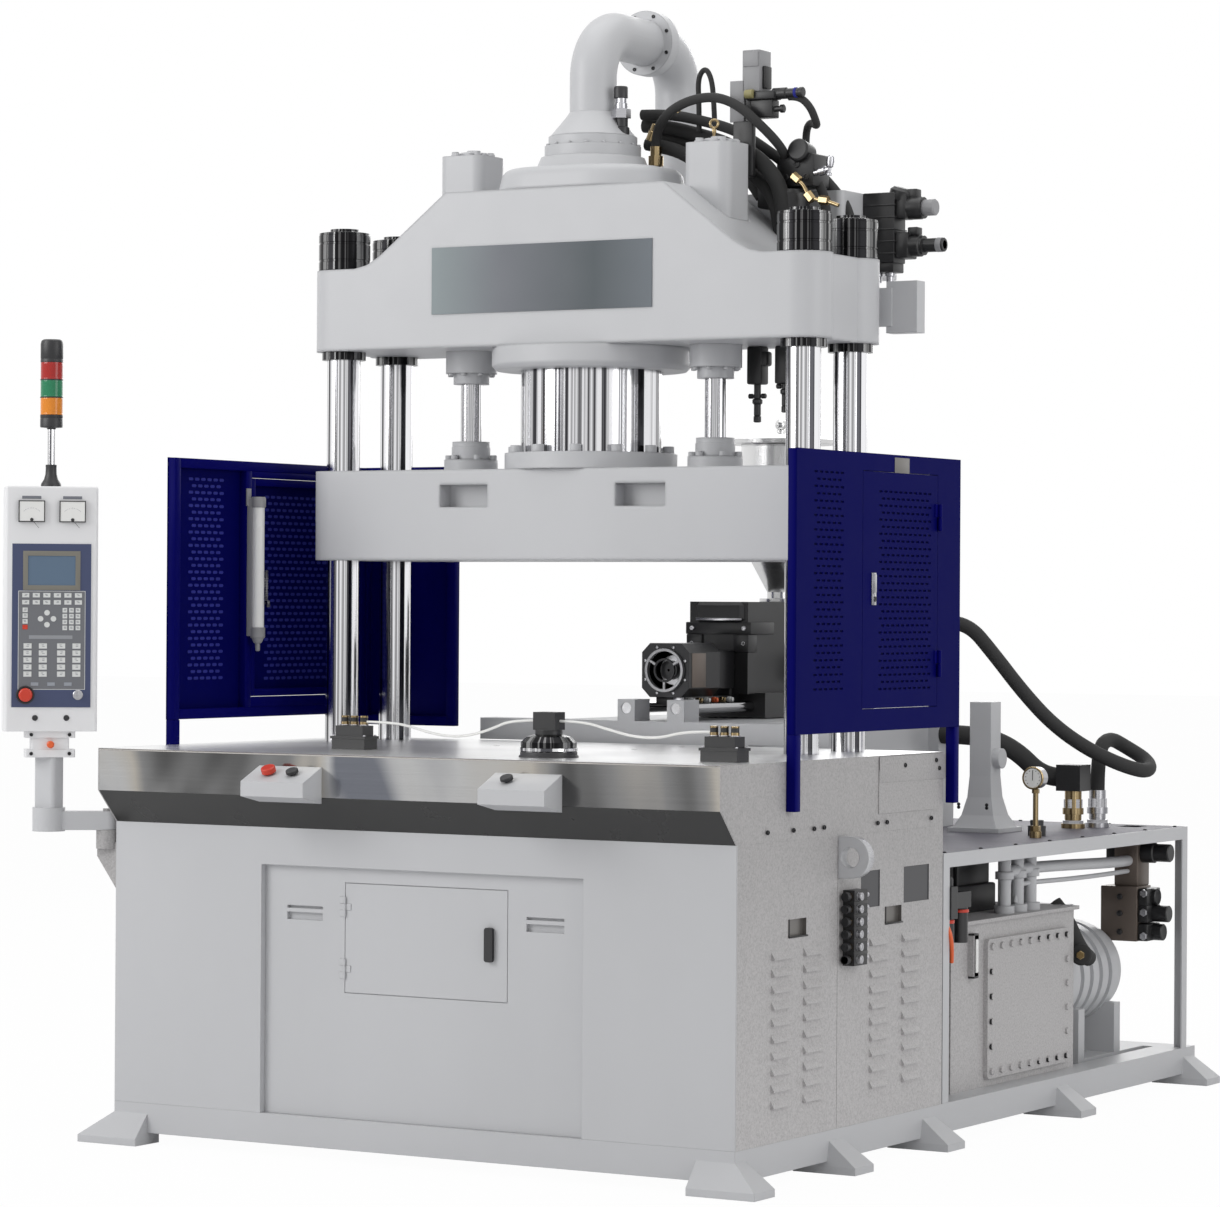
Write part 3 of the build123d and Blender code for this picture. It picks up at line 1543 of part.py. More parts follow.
def angle_post(x, y, sx, sy, z0, z1):
    """An upright angle iron with its outer corner at x, y."""
    x1, y1 = x + sx * angle_leg, y + sy * angle_leg
    x2, y2 = x + sx * angle_wall, y + sy * angle_wall
    post = block(min(x, x1), max(x, x1), min(y, y2), max(y, y2), z0, z1)
    return post + block(min(x, x2), max(x, x2), min(y, y1), max(y, y1), z0, z1)


def make_rear_frame():
    """Angle-iron frame of the power pack: four posts and a rim under the deck."""
    low, high = deck_low, deck_top
    rim = block(-half_width, half_width, deck_front, deck_rear, low, high)
    wall = angle_wall
    leg = angle_leg
    rim -= block(-half_width + wall, half_width - wall, deck_front + wall, deck_rear - wall, low, high)
    ledge_high = high - deck_sheet
    ledge_low = ledge_high - wall
    ledge = block(-half_width, half_width, deck_front, deck_rear, ledge_low, ledge_high)
    ledge -= block(
        -half_width + leg, half_width - leg, deck_front + leg, deck_rear - leg, ledge_low, ledge_high
    )
    frame = rim + ledge
    for sx in (-1, 1):
        for y, sy in ((deck_front, 1), (deck_rear, -1)):
            frame += angle_post(sx * half_width, y, -sx, sy, base_top, ledge_low)
    return frame


def make_tread_plate():
    """Deck over the power pack, with cut-outs for the suction and pressure lines."""
    wall = angle_wall
    plate = block(
        -half_width + wall, half_width - wall, deck_front + wall, deck_rear - wall,
        deck_top - deck_sheet, deck_top
    )
    return plate


def make_oil_tank():
    """Oil tank with its bolted cover, level gauge and three risers to the deck."""
    right = oil_tank_right
    tank = block(oil_tank_left, right, oil_tank_front, oil_tank_rear, base_top, oil_tank_top)
    tank += block(
        oil_tank_left, right + 14, oil_tank_front - 14, oil_tank_rear + 14,
        oil_tank_top - tank_flange, oil_tank_top
    )
    front, rear = tank_cover_front, tank_cover_rear
    low, high = tank_cover_low, tank_cover_high
    cover = block(right, right + tank_cover_thick, front, rear, low, high)
    cover = fillet(cover.edges().filter_by(Axis.X), 16)
    tank += cover
    bolt_face = right + tank_cover_thick
    columns, rows = 9, 6
    for k in range(columns):
        y = front + 26 + k * (rear - front - 52) / (columns - 1)
        for z in (low + 24, high - 24):
            tank += Pos(bolt_face + 4, y, z) * Rot(0, 90, 0) * extrude(RegularPolygon(11, 6), 4, both=True)
    for k in range(1, rows - 1):
        z = low + 24 + k * (high - low - 48) / (rows - 1)
        for y in (front + 26, rear - 26):
            tank += Pos(bolt_face + 4, y, z) * Rot(0, 90, 0) * extrude(RegularPolygon(11, 6), 4, both=True)
    tank += block(right, right + 22, gauge_y - 20, gauge_y + 20, gauge_low, gauge_high)
    for x, y in riser_places:
        tank += upright(x, y, oil_tank_top - 2, deck_top - deck_sheet, riser_radius)
        tank += upright(x, y, oil_tank_top - 2, oil_tank_top + 24, riser_radius + 12)
        tank += upright(x, y, oil_tank_top + 110, oil_tank_top + 134, riser_radius + 9)
    return tank


def make_deck_fittings():
    """Air filter regulator on the front post, pressure gauge and filler cap on the deck."""
    x1 = half_width + 2
    x = x1 - regulator_width / 2 + 2
    y0 = deck_front + angle_leg
    low = deck_top - regulator_drop
    high = low + regulator_height
    bowl = regulator_width * 0.42
    near = y0 + regulator_depth / 2
    far = y0 + regulator_reach - regulator_depth / 2
    unit = block(x1 - regulator_width + 4, x1 + 4, y0, y0 + regulator_depth, low, high)
    unit += upright(x, near, low - bowl_length, low, bowl)
    unit += upright(x, near, high, high + regulator_width / 2, bowl * 0.8)
    unit += block(
        x1 - regulator_width + 4, x1, y0 + regulator_depth, y0 + regulator_reach, low + 0.3 * regulator_height,
        high - 0.2 * regulator_height
    )
    unit += upright(x, far, low - bowl_length * 0.8, low + 0.3 * regulator_height, bowl)
    gauge_x, gauge_line = half_width - 135.0, oil_tank_front + rear_bay * 740 / 2029
    gauge = upright(gauge_x, gauge_line, deck_top, deck_top + gauge_stem, gauge_stem_radius)
    gauge += upright(gauge_x, gauge_line, deck_top, deck_top + 2.4 * gauge_stem_radius, 2.2 * gauge_stem_radius)
    head = deck_top + gauge_stem + gauge_head * 0.9
    gauge += along_y(gauge_x, head, gauge_line - gauge_head / 2, gauge_line + gauge_head / 2, gauge_head)
    cap_x, cap_y = half_width - 185.0, oil_tank_rear - 80.0
    cap = upright(cap_x, cap_y, deck_top, deck_top + cap_height * 0.65, cap_radius)
    cap += upright(cap_x, cap_y, deck_top + cap_height * 0.65, deck_top + cap_height, cap_radius * 0.75)
    return group(unit, gauge, cap)


def make_pump_motor():
    """Electric motor with cooling rings on its feet, and the pump on its front flange."""
    x, z, r = pump_x, pump_z, pump_radius
    y0, y1 = pump_front, pump_front + pump_length
    motor = along_y(x, z, y0 + 90, y1, r - pump_fin)
    span = (pump_length - 130) / pump_fins
    for k in range(pump_fins):
        y = y0 + 100 + k * span
        motor += along_y(x, z, y, y + span * 0.62, r)
    motor += along_y(x, z, y0 + 60, y0 + 92, r + 12)
    motor += along_y(x, z, y0, y0 + 62, r * 0.62)
    motor += block(
        x - 60, x + 60, y0 + pump_length * 0.385, y0 + pump_length * 0.655, z + r - 20, z + r + 60
    )
    for y in (y0 + 130, y1 - 90):
        motor += block(x - r, x + r, y, y + 50, base_top, z - r * 0.6)
    motor += block(x - r, x + r, y0 + 130, y1 - 40, base_top - beam_height + 55, base_top)
    motor -= block(x - r, x + r, y0 + 130, y1 - 40, base_top - beam_height, base_top - 12)
    for rail in (base_length,):
        motor += block(x - r, x + r, y1 - 90, rail - beam_width, base_top - 12, base_top)
    return motor


def make_rear_valves():
    """Valve blocks of the power pack on two legs, with their solenoids towards the back."""
    x0, x1 = valve_left, valve_right
    y0, y1 = valve_front + 330, valve_rear + 60
    block_low, block_high = valve_low, valve_high
    body = block(x0, x1, y0, y1, block_low, block_high)
    legs = block(x0, x0 + 30, y1 - 30, y1, block_high, deck_top - deck_sheet)
    legs += block(x1 - 30, x1, y1 - 30, y1, block_high, deck_top - deck_sheet)
    body += legs
    third = (block_high - block_low) / 3
    for k in range(3):
        z = block_low + third * (k + 0.5)
        body += along_x((y0 + y1) / 2, z, x1, half_width - 12, third * 0.36)
        body += along_y((x0 + x1) / 2, z, y0 - 190, y0, third * 0.36)
    body += along_y((x0 + x1) / 2, deck_low - 60, y0 - 150, y1, 36)
    body += block(x0 + 40, x1 - 40, y0, y1, block_high, deck_low - 60)
    return body


def make_deck_post():
    """Hollow-cheeked post on the deck beside the injection unit, with a round boss on its side."""
    half, foot, rise = post_width / 2, post_foot / 2, post_foot_rise
    cheek = [
        (-foot, deck_top), (foot, deck_top), (foot, deck_top + 16), (foot * 0.86, deck_top + 16),
        (half + (foot - half) * 0.36, deck_top + rise * 0.3),
        (half + (foot - half) * 0.1, deck_top + rise * 0.62), (half, deck_top + rise),
        (half, post_top), (-half, post_top), (-half, deck_top + rise),
        (-half - (foot - half) * 0.1, deck_top + rise * 0.62),
        (-half - (foot - half) * 0.36, deck_top + rise * 0.3), (-foot * 0.86, deck_top + 16),
        (-foot, deck_top + 16),
    ]
    along = slab_x([(post_y + y, z) for y, z in cheek], post_x - foot, post_x + foot)
    across = slab_y([(post_x + x, z) for x, z in cheek], post_y - foot, post_y + foot)
    post = along & across
    boss = post_top - 190
    post += along_x(post_y, boss, post_x + half - 2, post_x + half + 26, 34)
    return post


def cord_tube(name, points, radius):
    """A hose's tube: straight runs joined by arcs as large as the runs allow."""
    places = [Vector(*p) for p in points]
    radii = []
    for before, here, after in zip(places, places[1:], places[2:]):
        first, second = here - before, after - here
        turn = radians(first.get_angle(second))
        radii.append(0.45 * min(first.length, second.length) / tan(turn / 2))
    print(name, "arc radii", [round(r) for r in radii])
    path = FilletPolyline(*places, radius=radii)
    tube = sweep(Plane(path @ 0, z_dir=path % 0) * Circle(radius), path=path)
    print(name, "length", round(path.length), "volume ratio", round(
        tube.volume / (3.14159265 * radius ** 2 * path.length), 4))
    return tube


def hose_fitting(x, y, top, radius):
    """A brass hose fitting that stands on the deck."""
    body = upright(x, y, deck_top, top, radius)
    body += upright(x, y, deck_top, deck_top + 16, radius + 12)
    return body + upright(x, y, deck_top + 48, deck_top + 70, radius + 7)


def make_hose_fittings():
    """Brass fittings of the two big hoses: one upright, one with an elbow block."""
    upright_one = hose_fitting(fitting_x[0], fitting_y[0], fitting_top, hose_radius + 4)
    elbow = hose_fitting(fitting_x[1], fitting_y[1], fitting_top, hose_radius + 4)
    x, y = fitting_x[1], fitting_y[1]
    reach = elbow_reach
    elbow += block(x - reach, x + reach, y - reach, y + reach, fitting_top, fitting_top + 2 * reach)
    x, y = head_fitting
    nut = upright(x, y, rise_top + dome_shoulder, head_fitting_top, top_hose_radius + 3)
    nut += upright(x, y, rise_top + dome_shoulder + 20, rise_top + dome_shoulder + 52, 24)
    return group(upright_one, elbow, nut)


def hose_route_rear_1():
    """Big hose from the bulkhead, down past the fittings and round in a loop to the upright one."""
    x, y = fitting_x[0], fitting_y[0]
    start, side, high = bulkhead_x + bulkhead_width, bulkhead_y + 30, bulkhead_top - 55
    return [
        (start, side, high), (start + 66, side, high), (start + 146, side + 42, high - 108),
        (x - 210, y - 164, high - 238), (x - 110, y - 132, fitting_top + 226),
        (x + 10, y - 102, fitting_top + 142), (x + 125, y - 47, fitting_top + 84),
        (x + 170, y + 58, fitting_top + 64), (x + 125, y + 156, fitting_top + 98),
        (x + 30, y + 166, fitting_top + 148), (x, y + 98, fitting_top + 180), (x, y, fitting_top + 140),
        (x, y, fitting_top),
    ]


def hose_route_rear_2():
    """Big hose from the side of the injection bed to the elbow fitting."""
    x = fitting_x[1] - elbow_reach
    y, z = fitting_y[1], fitting_top + elbow_reach
    start, side = bulkhead_x + bulkhead_width, bulkhead_y - 30
    return [
        (start, side, z + 146), (start + 76, side, z + 146), (x - 201, y - 145, z + 135),
        (x - 133, y - 73, z + 89), (x - 70, y, z), (x, y, z),
    ]


def hose_route_top_1():
    """Hose from the cylinder head, over the right booster to the front of the manifold block."""
    x, y = head_fitting
    z = head_fitting_top
    front = top_tank_front + 4
    end_x, end_z = block_x + block_width / 2, top_tank_top + 84
    return [
        (x, y, z), (x, y, z + 48), (x + 66, y - 50, z + 96), (x + 160, y - 84, z + 128),
        (end_x - 140, y - 92, z + 136), (end_x - 60, y - 90, z + 106), (end_x + 6, y - 70, z + 46),
        (end_x + 44, y - 18, end_z + 55), (end_x + 36, y + 55, end_z + 19), (end_x, front - 50, end_z),
        (end_x, front, end_z),
    ]


def hose_route_top_2():
    """Loop of hose from the pressure switch to the top of the manifold block."""
    start = switch_x - switch_post / 2 + 156
    y, z = clamp_y + booster_side / 2 + 40, switch_box_low - 12
    end_x, end_y = block_x + block_width - 14, top_tank_front + 36
    top = top_tank_top + block_height + 20
    return [
        (start, y, z), (start + 36, y, z), (start + 64, y + 20, z - 32),
        (start + 66, y + 54, z - 72), (start + 46, y + 102, z - 84), (end_x + 44, end_y - 52, top + 66),
        (end_x, end_y, top + 48), (end_x, end_y, top),
    ]


def air_route_left():
    """Clear tube from the left stack to the core device, sagging between them."""
    x0, y0 = device_x[0] + device_port, device_y[0]
    x1, y1 = device_x[1] - core_head, device_y[1]
    dips = (0, 2, 14, 34, 46, 44, 26, 4, 0)
    return sagging(x0, y0, table_top + 84, x1, y1, table_top + 106, dips)


def air_route_right():
    """Clear tube from the core device to the right stack, sagging between them."""
    x0, y0 = device_x[1] + core_head, device_y[1]
    x1, y1 = device_x[2] - device_port, device_y[2]
    dips = (0, 2, 16, 30, 26, 3, 0)
    return sagging(x0, y0, table_top + 106, x1, y1, table_top + 84, dips)


def sagging(x0, y0, z0, x1, y1, z1, dips):
    """Points from one end to the other with the given dips; both ends lie along X."""
    last = len(dips) - 1
    points = []
    for k, dip in enumerate(dips):
        t = k / last
        side = min(max((t * last - 1) / (last - 2), 0), 1)
        points.append((x0 + (x1 - x0) * t, y0 + (y1 - y0) * side, z0 + (z1 - z0) * side - dip))
    points[1] = (points[1][0], y0, z0 - 0.0)
    points[-2] = (points[-2][0], y1, z1)
    return points


nodes = {
    "base_frame": make_base_frame(),
    "bed_frame": make_bed_frame(),
    "bed_platen": make_bed_platen(),
    "table_cover": make_table_cover(),
    "apron_skirt": make_apron_skirt(),
    "cabinet_front": make_cabinet_front(),
    "service_panel": make_service_panel(),
    "access_door": make_access_door(),
    "access_latch": make_access_latch(),
    "side_panels_right": make_side_panels_right(),
    "side_panels_left": make_side_panels_left(),
    "rear_panel": make_rear_panel(),
    "upper_side_covers": make_upper_side_covers(),
    "side_fittings": group(make_lifting_hook(), make_water_manifold()),
    "tie_bars": make_tie_bars(),
    "tie_bar_nuts": make_tie_bar_nuts(),
    "top_platen": make_top_platen(),
    "cylinder_covers": make_cylinder_covers(),
    "booster_cylinders": make_booster_cylinders(),
    "moving_platen": make_moving_platen(),
    "rams": make_rams(),
    "prefill_pipe": make_prefill_pipe(),
    "top_oil_tank": make_top_oil_tank(),
    "junction_box": make_junction_box(),
    "top_valves": make_top_valves(),
    "injection_bed": make_injection_bed(),
    "guide_rods": make_guide_rods(),
    "injection_carriage": make_injection_carriage(),
    "barrel": make_barrel(),
    "barrel_cover": make_barrel_cover(),
    "screw_drive": make_screw_drive(),
    "screw": make_screw(),
    "hopper": make_hopper(),
    "hopper_lid": make_hopper_lid(),
    "swing_arm": make_swing_arm(),
    "control_panel": make_control_panel(),
    "panel_stop_button": make_panel_stop_button(),
    "panel_key_switch": make_panel_key_switch(),
    "signal_tower": make_signal_tower(),
    "two_hand_boxes": make_two_hand_boxes(),
    "table_devices": make_table_devices(),
    "rear_frame": make_rear_frame(),
    "tread_plate": make_tread_plate(),
    "oil_tank": make_oil_tank(),
    "deck_fittings": group(make_deck_fittings(), make_hose_fittings(), make_deck_post()),
    "pump_motor": make_pump_motor(),
    "rear_valves": make_rear_valves(),
}

left_guard, return_panel, guard_lamp = make_left_guard()
nodes["right_guard"] = make_guard()
nodes["right_guard_door"] = make_guard_door()
nodes["left_guard"] = group(
    other_side(left_guard), other_side(return_panel), other_side(guard_lamp)
)
nodes["left_guard_door"] = other_side(make_guard_door())

for name, x, radius, height in zip(
    ("left_stop_button", "left_start_button", "right_start_button"),
    hand_buttons(),
    (button_cap + 3, button_cap, button_cap),
    (button_cap_height + 6, button_cap_height, button_cap_height),
):
    nodes[name] = make_hand_button(x, radius, height)

nodes["rear_hose_1"] = cord_tube("rear_hose_1", hose_route_rear_1(), hose_radius)
nodes["rear_hose_2"] = cord_tube("rear_hose_2", hose_route_rear_2(), low_hose_radius)
nodes["top_hose_1"] = cord_tube("top_hose_1", hose_route_top_1(), top_hose_radius)
nodes["top_hose_2"] = cord_tube("top_hose_2", hose_route_top_2(), loop_hose_radius)
nodes["air_tube_left"] = cord_tube("air_tube_left", air_route_left(), air_tube_radius)
nodes["air_tube_right"] = cord_tube("air_tube_right", air_route_right(), air_tube_radius)
cords = [name for name in nodes if "hose" in name or "tube" in name]

box = Compound(children=[Compound(node.solids()) for name, node in nodes.items() if name not in cords]).bounding_box()
home = Pos(-(box.min.X + box.max.X) / 2, -(box.min.Y + box.max.Y) / 2, 0)
print("drawing moved by", home.position)

os.makedirs("parts", exist_ok=True)
for name, node in nodes.items():
    export_step(home * node, "parts/" + name + ".step")
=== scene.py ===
import math

import bmesh
import bpy
from bpy.props import FloatProperty, FloatVectorProperty, IntProperty
from mathutils import Matrix, Vector


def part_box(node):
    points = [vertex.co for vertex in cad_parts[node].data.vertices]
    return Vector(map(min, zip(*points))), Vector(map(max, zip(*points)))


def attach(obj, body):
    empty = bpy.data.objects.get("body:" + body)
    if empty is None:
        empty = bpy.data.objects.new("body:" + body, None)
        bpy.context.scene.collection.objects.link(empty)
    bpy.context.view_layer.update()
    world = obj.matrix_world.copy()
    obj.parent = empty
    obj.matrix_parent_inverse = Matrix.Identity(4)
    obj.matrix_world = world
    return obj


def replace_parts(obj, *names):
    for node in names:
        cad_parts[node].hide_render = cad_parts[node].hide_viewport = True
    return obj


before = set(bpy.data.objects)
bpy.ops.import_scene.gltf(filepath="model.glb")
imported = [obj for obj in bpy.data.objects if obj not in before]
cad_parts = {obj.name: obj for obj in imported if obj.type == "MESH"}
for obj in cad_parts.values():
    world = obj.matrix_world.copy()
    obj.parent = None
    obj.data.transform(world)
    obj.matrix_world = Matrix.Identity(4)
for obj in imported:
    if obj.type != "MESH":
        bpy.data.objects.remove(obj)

bl_info = {
    "name": "Injection moulding machine",
    "version": (1, 0, 0),
    "blender": (4, 5, 0),
    "location": "3D View > Sidebar > Moulding Machine",
    "description": "Dresses a vertical injection moulding machine built round its CAD solids",
    "category": "Add Mesh",
}

UP, DOWN = (0, 0, 1), (0, 0, -1)
FRONT, BACK, RIGHT = (0, -1, 0), (0, 1, 0), (1, 0, 0)
COLOUR_SOCKET, VALUE_SOCKET, NORMAL_SOCKET = "NodeSocketColor", "NodeSocketFloat", "NodeSocketVector"

# Places of the drawing, in millimetres
CLAMP_Y = 1012
BOOSTER_X = 447
BOOSTER_TOP = 3085
ROD_FOOT = 2116.4
INJECTION_Z = 1444
DECK = 895
GUARD_FACE = 1115
PULL_SPOTS = (371, 988)

BAR_LOW, BAR_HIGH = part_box("tie_bars")
MIDDLE = Vector(((BAR_LOW.x + BAR_HIGH.x) / 2, (BAR_LOW.y + BAR_HIGH.y) / 2 - CLAMP_Y / 1000, 0))
PANEL_AXIS = (-1268.0, -100.0)
PANEL_TURN = math.radians(42)
TAU = 2 * math.pi


def place(x, y, z):
    """The point at x, y, z in the drawing's millimetres, in the frame's metres."""
    return Vector((x / 1000, y / 1000, z / 1000)) + MIDDLE


def turn_to(direction, roll=0.0):
    """The rotation that points a piece's own Z along a direction."""
    turned = Vector(direction).normalized().to_track_quat("Z", "Y").to_matrix().to_4x4()
    return turned @ Matrix.Rotation(roll, 4, "Z")


def stand(x, y, z, direction=UP, roll=0.0):
    """Where a piece with its foot at the origin stands, with its Z along a direction."""
    return Matrix.Translation(place(x, y, z)) @ turn_to(direction, roll)


def panel_stand(x, y, z, direction=UP):
    """The same for the control panel, in the panel's own axes."""
    turned = Matrix.Rotation(PANEL_TURN, 4, "Z")
    at = Vector((x, y, 0))
    at.rotate(turned)
    spot = place(PANEL_AXIS[0] + at.x, PANEL_AXIS[1] + at.y, z)
    return Matrix.Translation(spot) @ turned @ turn_to(direction)


def deselect():
    """Leaves edit mode and selects nothing."""
    if bpy.context.object and bpy.context.object.mode != "OBJECT":
        bpy.ops.object.mode_set(mode="OBJECT")
    bpy.ops.object.select_all(action="DESELECT")


def pick(piece):
    """Selects one object and makes it active."""
    deselect()
    piece.select_set(True)
    bpy.context.view_layer.objects.active = piece


def smooth(piece, angle=32):
    """Smooth shading, with edges sharper than the angle kept."""
    pick(piece)
    bpy.ops.object.shade_smooth_by_angle(angle=math.radians(angle))
    return piece


def block(name, x0, x1, y0, y1, z0, z1, edge=1.5, rounds=2, faces=None):
    """A box between two corners with its edges rounded. faces: how to shape it further."""
    deselect()
    low, high = place(x0, y0, z0), place(x1, y1, z1)
    bpy.ops.mesh.primitive_cube_add(size=1, location=(low + high) / 2, scale=high - low)
    piece = bpy.context.object
    piece.name = name
    bpy.ops.object.transform_apply(location=True, rotation=True, scale=True)
    bpy.ops.object.mode_set(mode="EDIT")
    if faces:
        faces(piece)
    if edge:
        bpy.ops.mesh.select_all(action="SELECT")
        bpy.ops.mesh.bevel(offset=edge / 1000, segments=rounds, affect="EDGES")
    bpy.ops.object.mode_set(mode="OBJECT")
    return smooth(piece)


def lathe(name, stations, sides=32, where=None):
    """A turned piece: radius and height of each station, in millimetres, from the foot up."""
    deselect()
    radius, height = stations[0]
    bpy.ops.mesh.primitive_circle_add(
        vertices=sides, radius=radius / 1000, fill_type="NGON", location=(0, 0, height / 1000)
    )
    piece = bpy.context.object
    piece.name = name
    bpy.ops.object.transform_apply(location=True, rotation=True, scale=True)
    bpy.ops.object.mode_set(mode="EDIT")
    bpy.ops.mesh.select_all(action="SELECT")
    for next_radius, next_height in stations[1:]:
        rise = (next_height - height) / 1000
        bpy.ops.mesh.extrude_region_move(TRANSFORM_OT_translate={"value": (0, 0, rise)})
        scale = next_radius / radius
        if abs(scale - 1) > 1e-6:
            bpy.ops.transform.resize(
                value=(scale, scale, 1), center_override=(0, 0, next_height / 1000)
            )
        radius, height = next_radius, next_height
    bpy.ops.mesh.select_all(action="SELECT")
    bpy.ops.mesh.normals_make_consistent(inside=False)
    bpy.ops.object.mode_set(mode="OBJECT")
    smooth(piece)
    if where is not None:
        put(piece, where)
    return piece


def put(piece, where):
    """Moves a piece made at the origin to its place, which goes into its mesh."""
    pick(piece)
    piece.matrix_world = where
    bpy.ops.object.transform_apply(location=True, rotation=True, scale=True)
    return piece


def copies(piece, name, places):
    """One piece of copies of another, each with its own mesh, at the given places."""
    twins = []
    for where in places:
        twin = piece.copy()
        twin.data = piece.data.copy()
        bpy.context.collection.objects.link(twin)
        twin.matrix_world = where
        twins.append(twin)
    bpy.data.objects.remove(piece)
    return joined(twins, name)


def joined(pieces, name):
    """Several objects made one piece, with its place in its mesh."""
    deselect()
    for piece in pieces:
        piece.select_set(True)
    bpy.context.view_layer.objects.active = pieces[0]
    if len(pieces) > 1:
        bpy.ops.object.join()
    whole = bpy.context.object
    whole.name = name
    bpy.ops.object.transform_apply(location=True, rotation=True, scale=True)
    return whole


def dress(piece, finish, body):
    """Gives a new piece its material and the body that it rides on."""
    piece.data.materials.clear()
    piece.data.materials.append(bpy.data.materials[finish])
    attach(piece, body)
    return piece


def colour(name):
    """A colour of the settings, as a shader wants it."""
    value = getattr(bpy.context.scene.machine_colours, name)
    return (value[0], value[1], value[2], 1)


def new_group(name, inputs, outputs):
    """An empty shader node group with its sockets. inputs: name to default or to a pair with a kind."""
    group = bpy.data.node_groups.new(name, "ShaderNodeTree")
    for label, value in inputs.items():
        kind = COLOUR_SOCKET if isinstance(value, tuple) else VALUE_SOCKET
        socket = group.interface.new_socket(label, in_out="INPUT", socket_type=kind)
        socket.default_value = value
    for label, kind in outputs.items():
        group.interface.new_socket(label, in_out="OUTPUT", socket_type=kind)
    start = group.nodes.new("NodeGroupInput")
    end = group.nodes.new("NodeGroupOutput")
    return group, start, end


def node(tree, kind, links=None, **settings):
    """A node with its settings. links: input name or number to a value or to another socket."""
    made = tree.nodes.new(kind)
    for key, value in settings.items():
        setattr(made, key, value)
    for key, value in (links or {}).items():
        socket = made.inputs[key]
        if isinstance(value, bpy.types.NodeSocket):
            tree.links.new(value, socket)
        else:
            socket.default_value = value
    return made


def ramp(tree, value, stops):
    """A colour ramp with stops of (place, grey or colour)."""
    made = node(tree, "ShaderNodeValToRGB", {0: value})
    band = made.color_ramp
    while len(band.elements) < len(stops):
        band.elements.new(0.5)
    for element, (spot, tone) in zip(band.elements, stops):
        element.position = spot
        element.color = (*tone, 1) if isinstance(tone, tuple) else (tone, tone, tone, 1)
    return made.outputs[0]


def mixed(tree, factor, first, second, blend="MIX"):
    """Two colours mixed by a factor."""
    made = node(tree, "ShaderNodeMix", data_type="RGBA", blend_type=blend)
    for socket, value in ((made.inputs[0], factor), (made.inputs[6], first), (made.inputs[7], second)):
        if isinstance(value, bpy.types.NodeSocket):
            tree.links.new(value, socket)
        else:
            socket.default_value = value
    return made.outputs[2]


def scaled(tree, scale, source="Object"):
    """Object coordinates, stretched."""
    where = node(tree, "ShaderNodeTexCoord")
    return node(tree, "ShaderNodeMapping", {0: where.outputs[source], 3: scale}).outputs[0]


def noise(tree, scale, detail, stretch=(1, 1, 1), **more):
    """Noise on stretched Object coordinates, as a grey value. more: other sockets by name."""
    links = {"Vector": scaled(tree, stretch), "Scale": scale, "Detail": detail, **more}
    return node(tree, "ShaderNodeTexNoise", links).outputs["Fac"]


def sum_of(tree, operation, first, second, **settings):
    """The result of one operation on two values or sockets."""
    return node(tree, "ShaderNodeMath", {0: first, 1: second}, operation=operation, **settings).outputs[0]


def wire(tree, target, **sources):
    """Links sockets to a node's inputs, named with _ for a space."""
    for key, source in sources.items():
        tree.links.new(source, target.inputs[key.replace("_", " ")])


def make_painted_skin():
    """Paint that is worn at its edges, clouded with dust and slightly uneven."""
    group, start, end = new_group(
        "painted_skin",
        {"Paint": (0.5, 0.5, 0.5, 1), "Bare": (0.3, 0.3, 0.3, 1), "Roughness": 0.35, "Rounding": 0.002,
         "Wear": 0.3, "Orange peel": 0.02, "Dust": 0.1},
        {"Colour": COLOUR_SOCKET, "Roughness": VALUE_SOCKET, "Normal": NORMAL_SOCKET},
    )
    given = start.outputs
    rounded = node(group, "ShaderNodeBevel", {"Radius": given["Rounding"]}, samples=4).outputs[0]
    sharp = node(group, "ShaderNodeNewGeometry").outputs["Normal"]
    bend = node(group, "ShaderNodeVectorMath", {0: rounded, 1: sharp}, operation="DOT_PRODUCT")
    edge = ramp(group, bend.outputs["Value"], [(0.86, 1.0), (0.995, 0.0)])
    chips = ramp(group, noise(group, 38, 5, Roughness=0.65), [(0.56, 0.0), (0.66, 1.0)])
    worn = sum_of(group, "MULTIPLY", sum_of(group, "MULTIPLY", edge, chips), given["Wear"])
    tone = ramp(group, noise(group, 2.2, 3, (1, 1, 0.4), Roughness=0.5), [(0.3, 0.9), (0.7, 1.0)])
    dusty = mixed(group, given["Dust"], given["Paint"], tone, "MULTIPLY")
    uneven = node(group, "ShaderNodeMapRange", {0: noise(group, 9, 4), 3: -0.05, 4: 0.07}).outputs[0]
    skin = node(group, "ShaderNodeBump", {"Strength": given["Orange peel"], "Distance": 0.002,
                                          "Height": noise(group, 220, 2), "Normal": rounded})
    wire(group, end, Colour=mixed(group, worn, dusty, given["Bare"]),
         Roughness=sum_of(group, "ADD", given["Roughness"], uneven), Normal=skin.outputs[0])


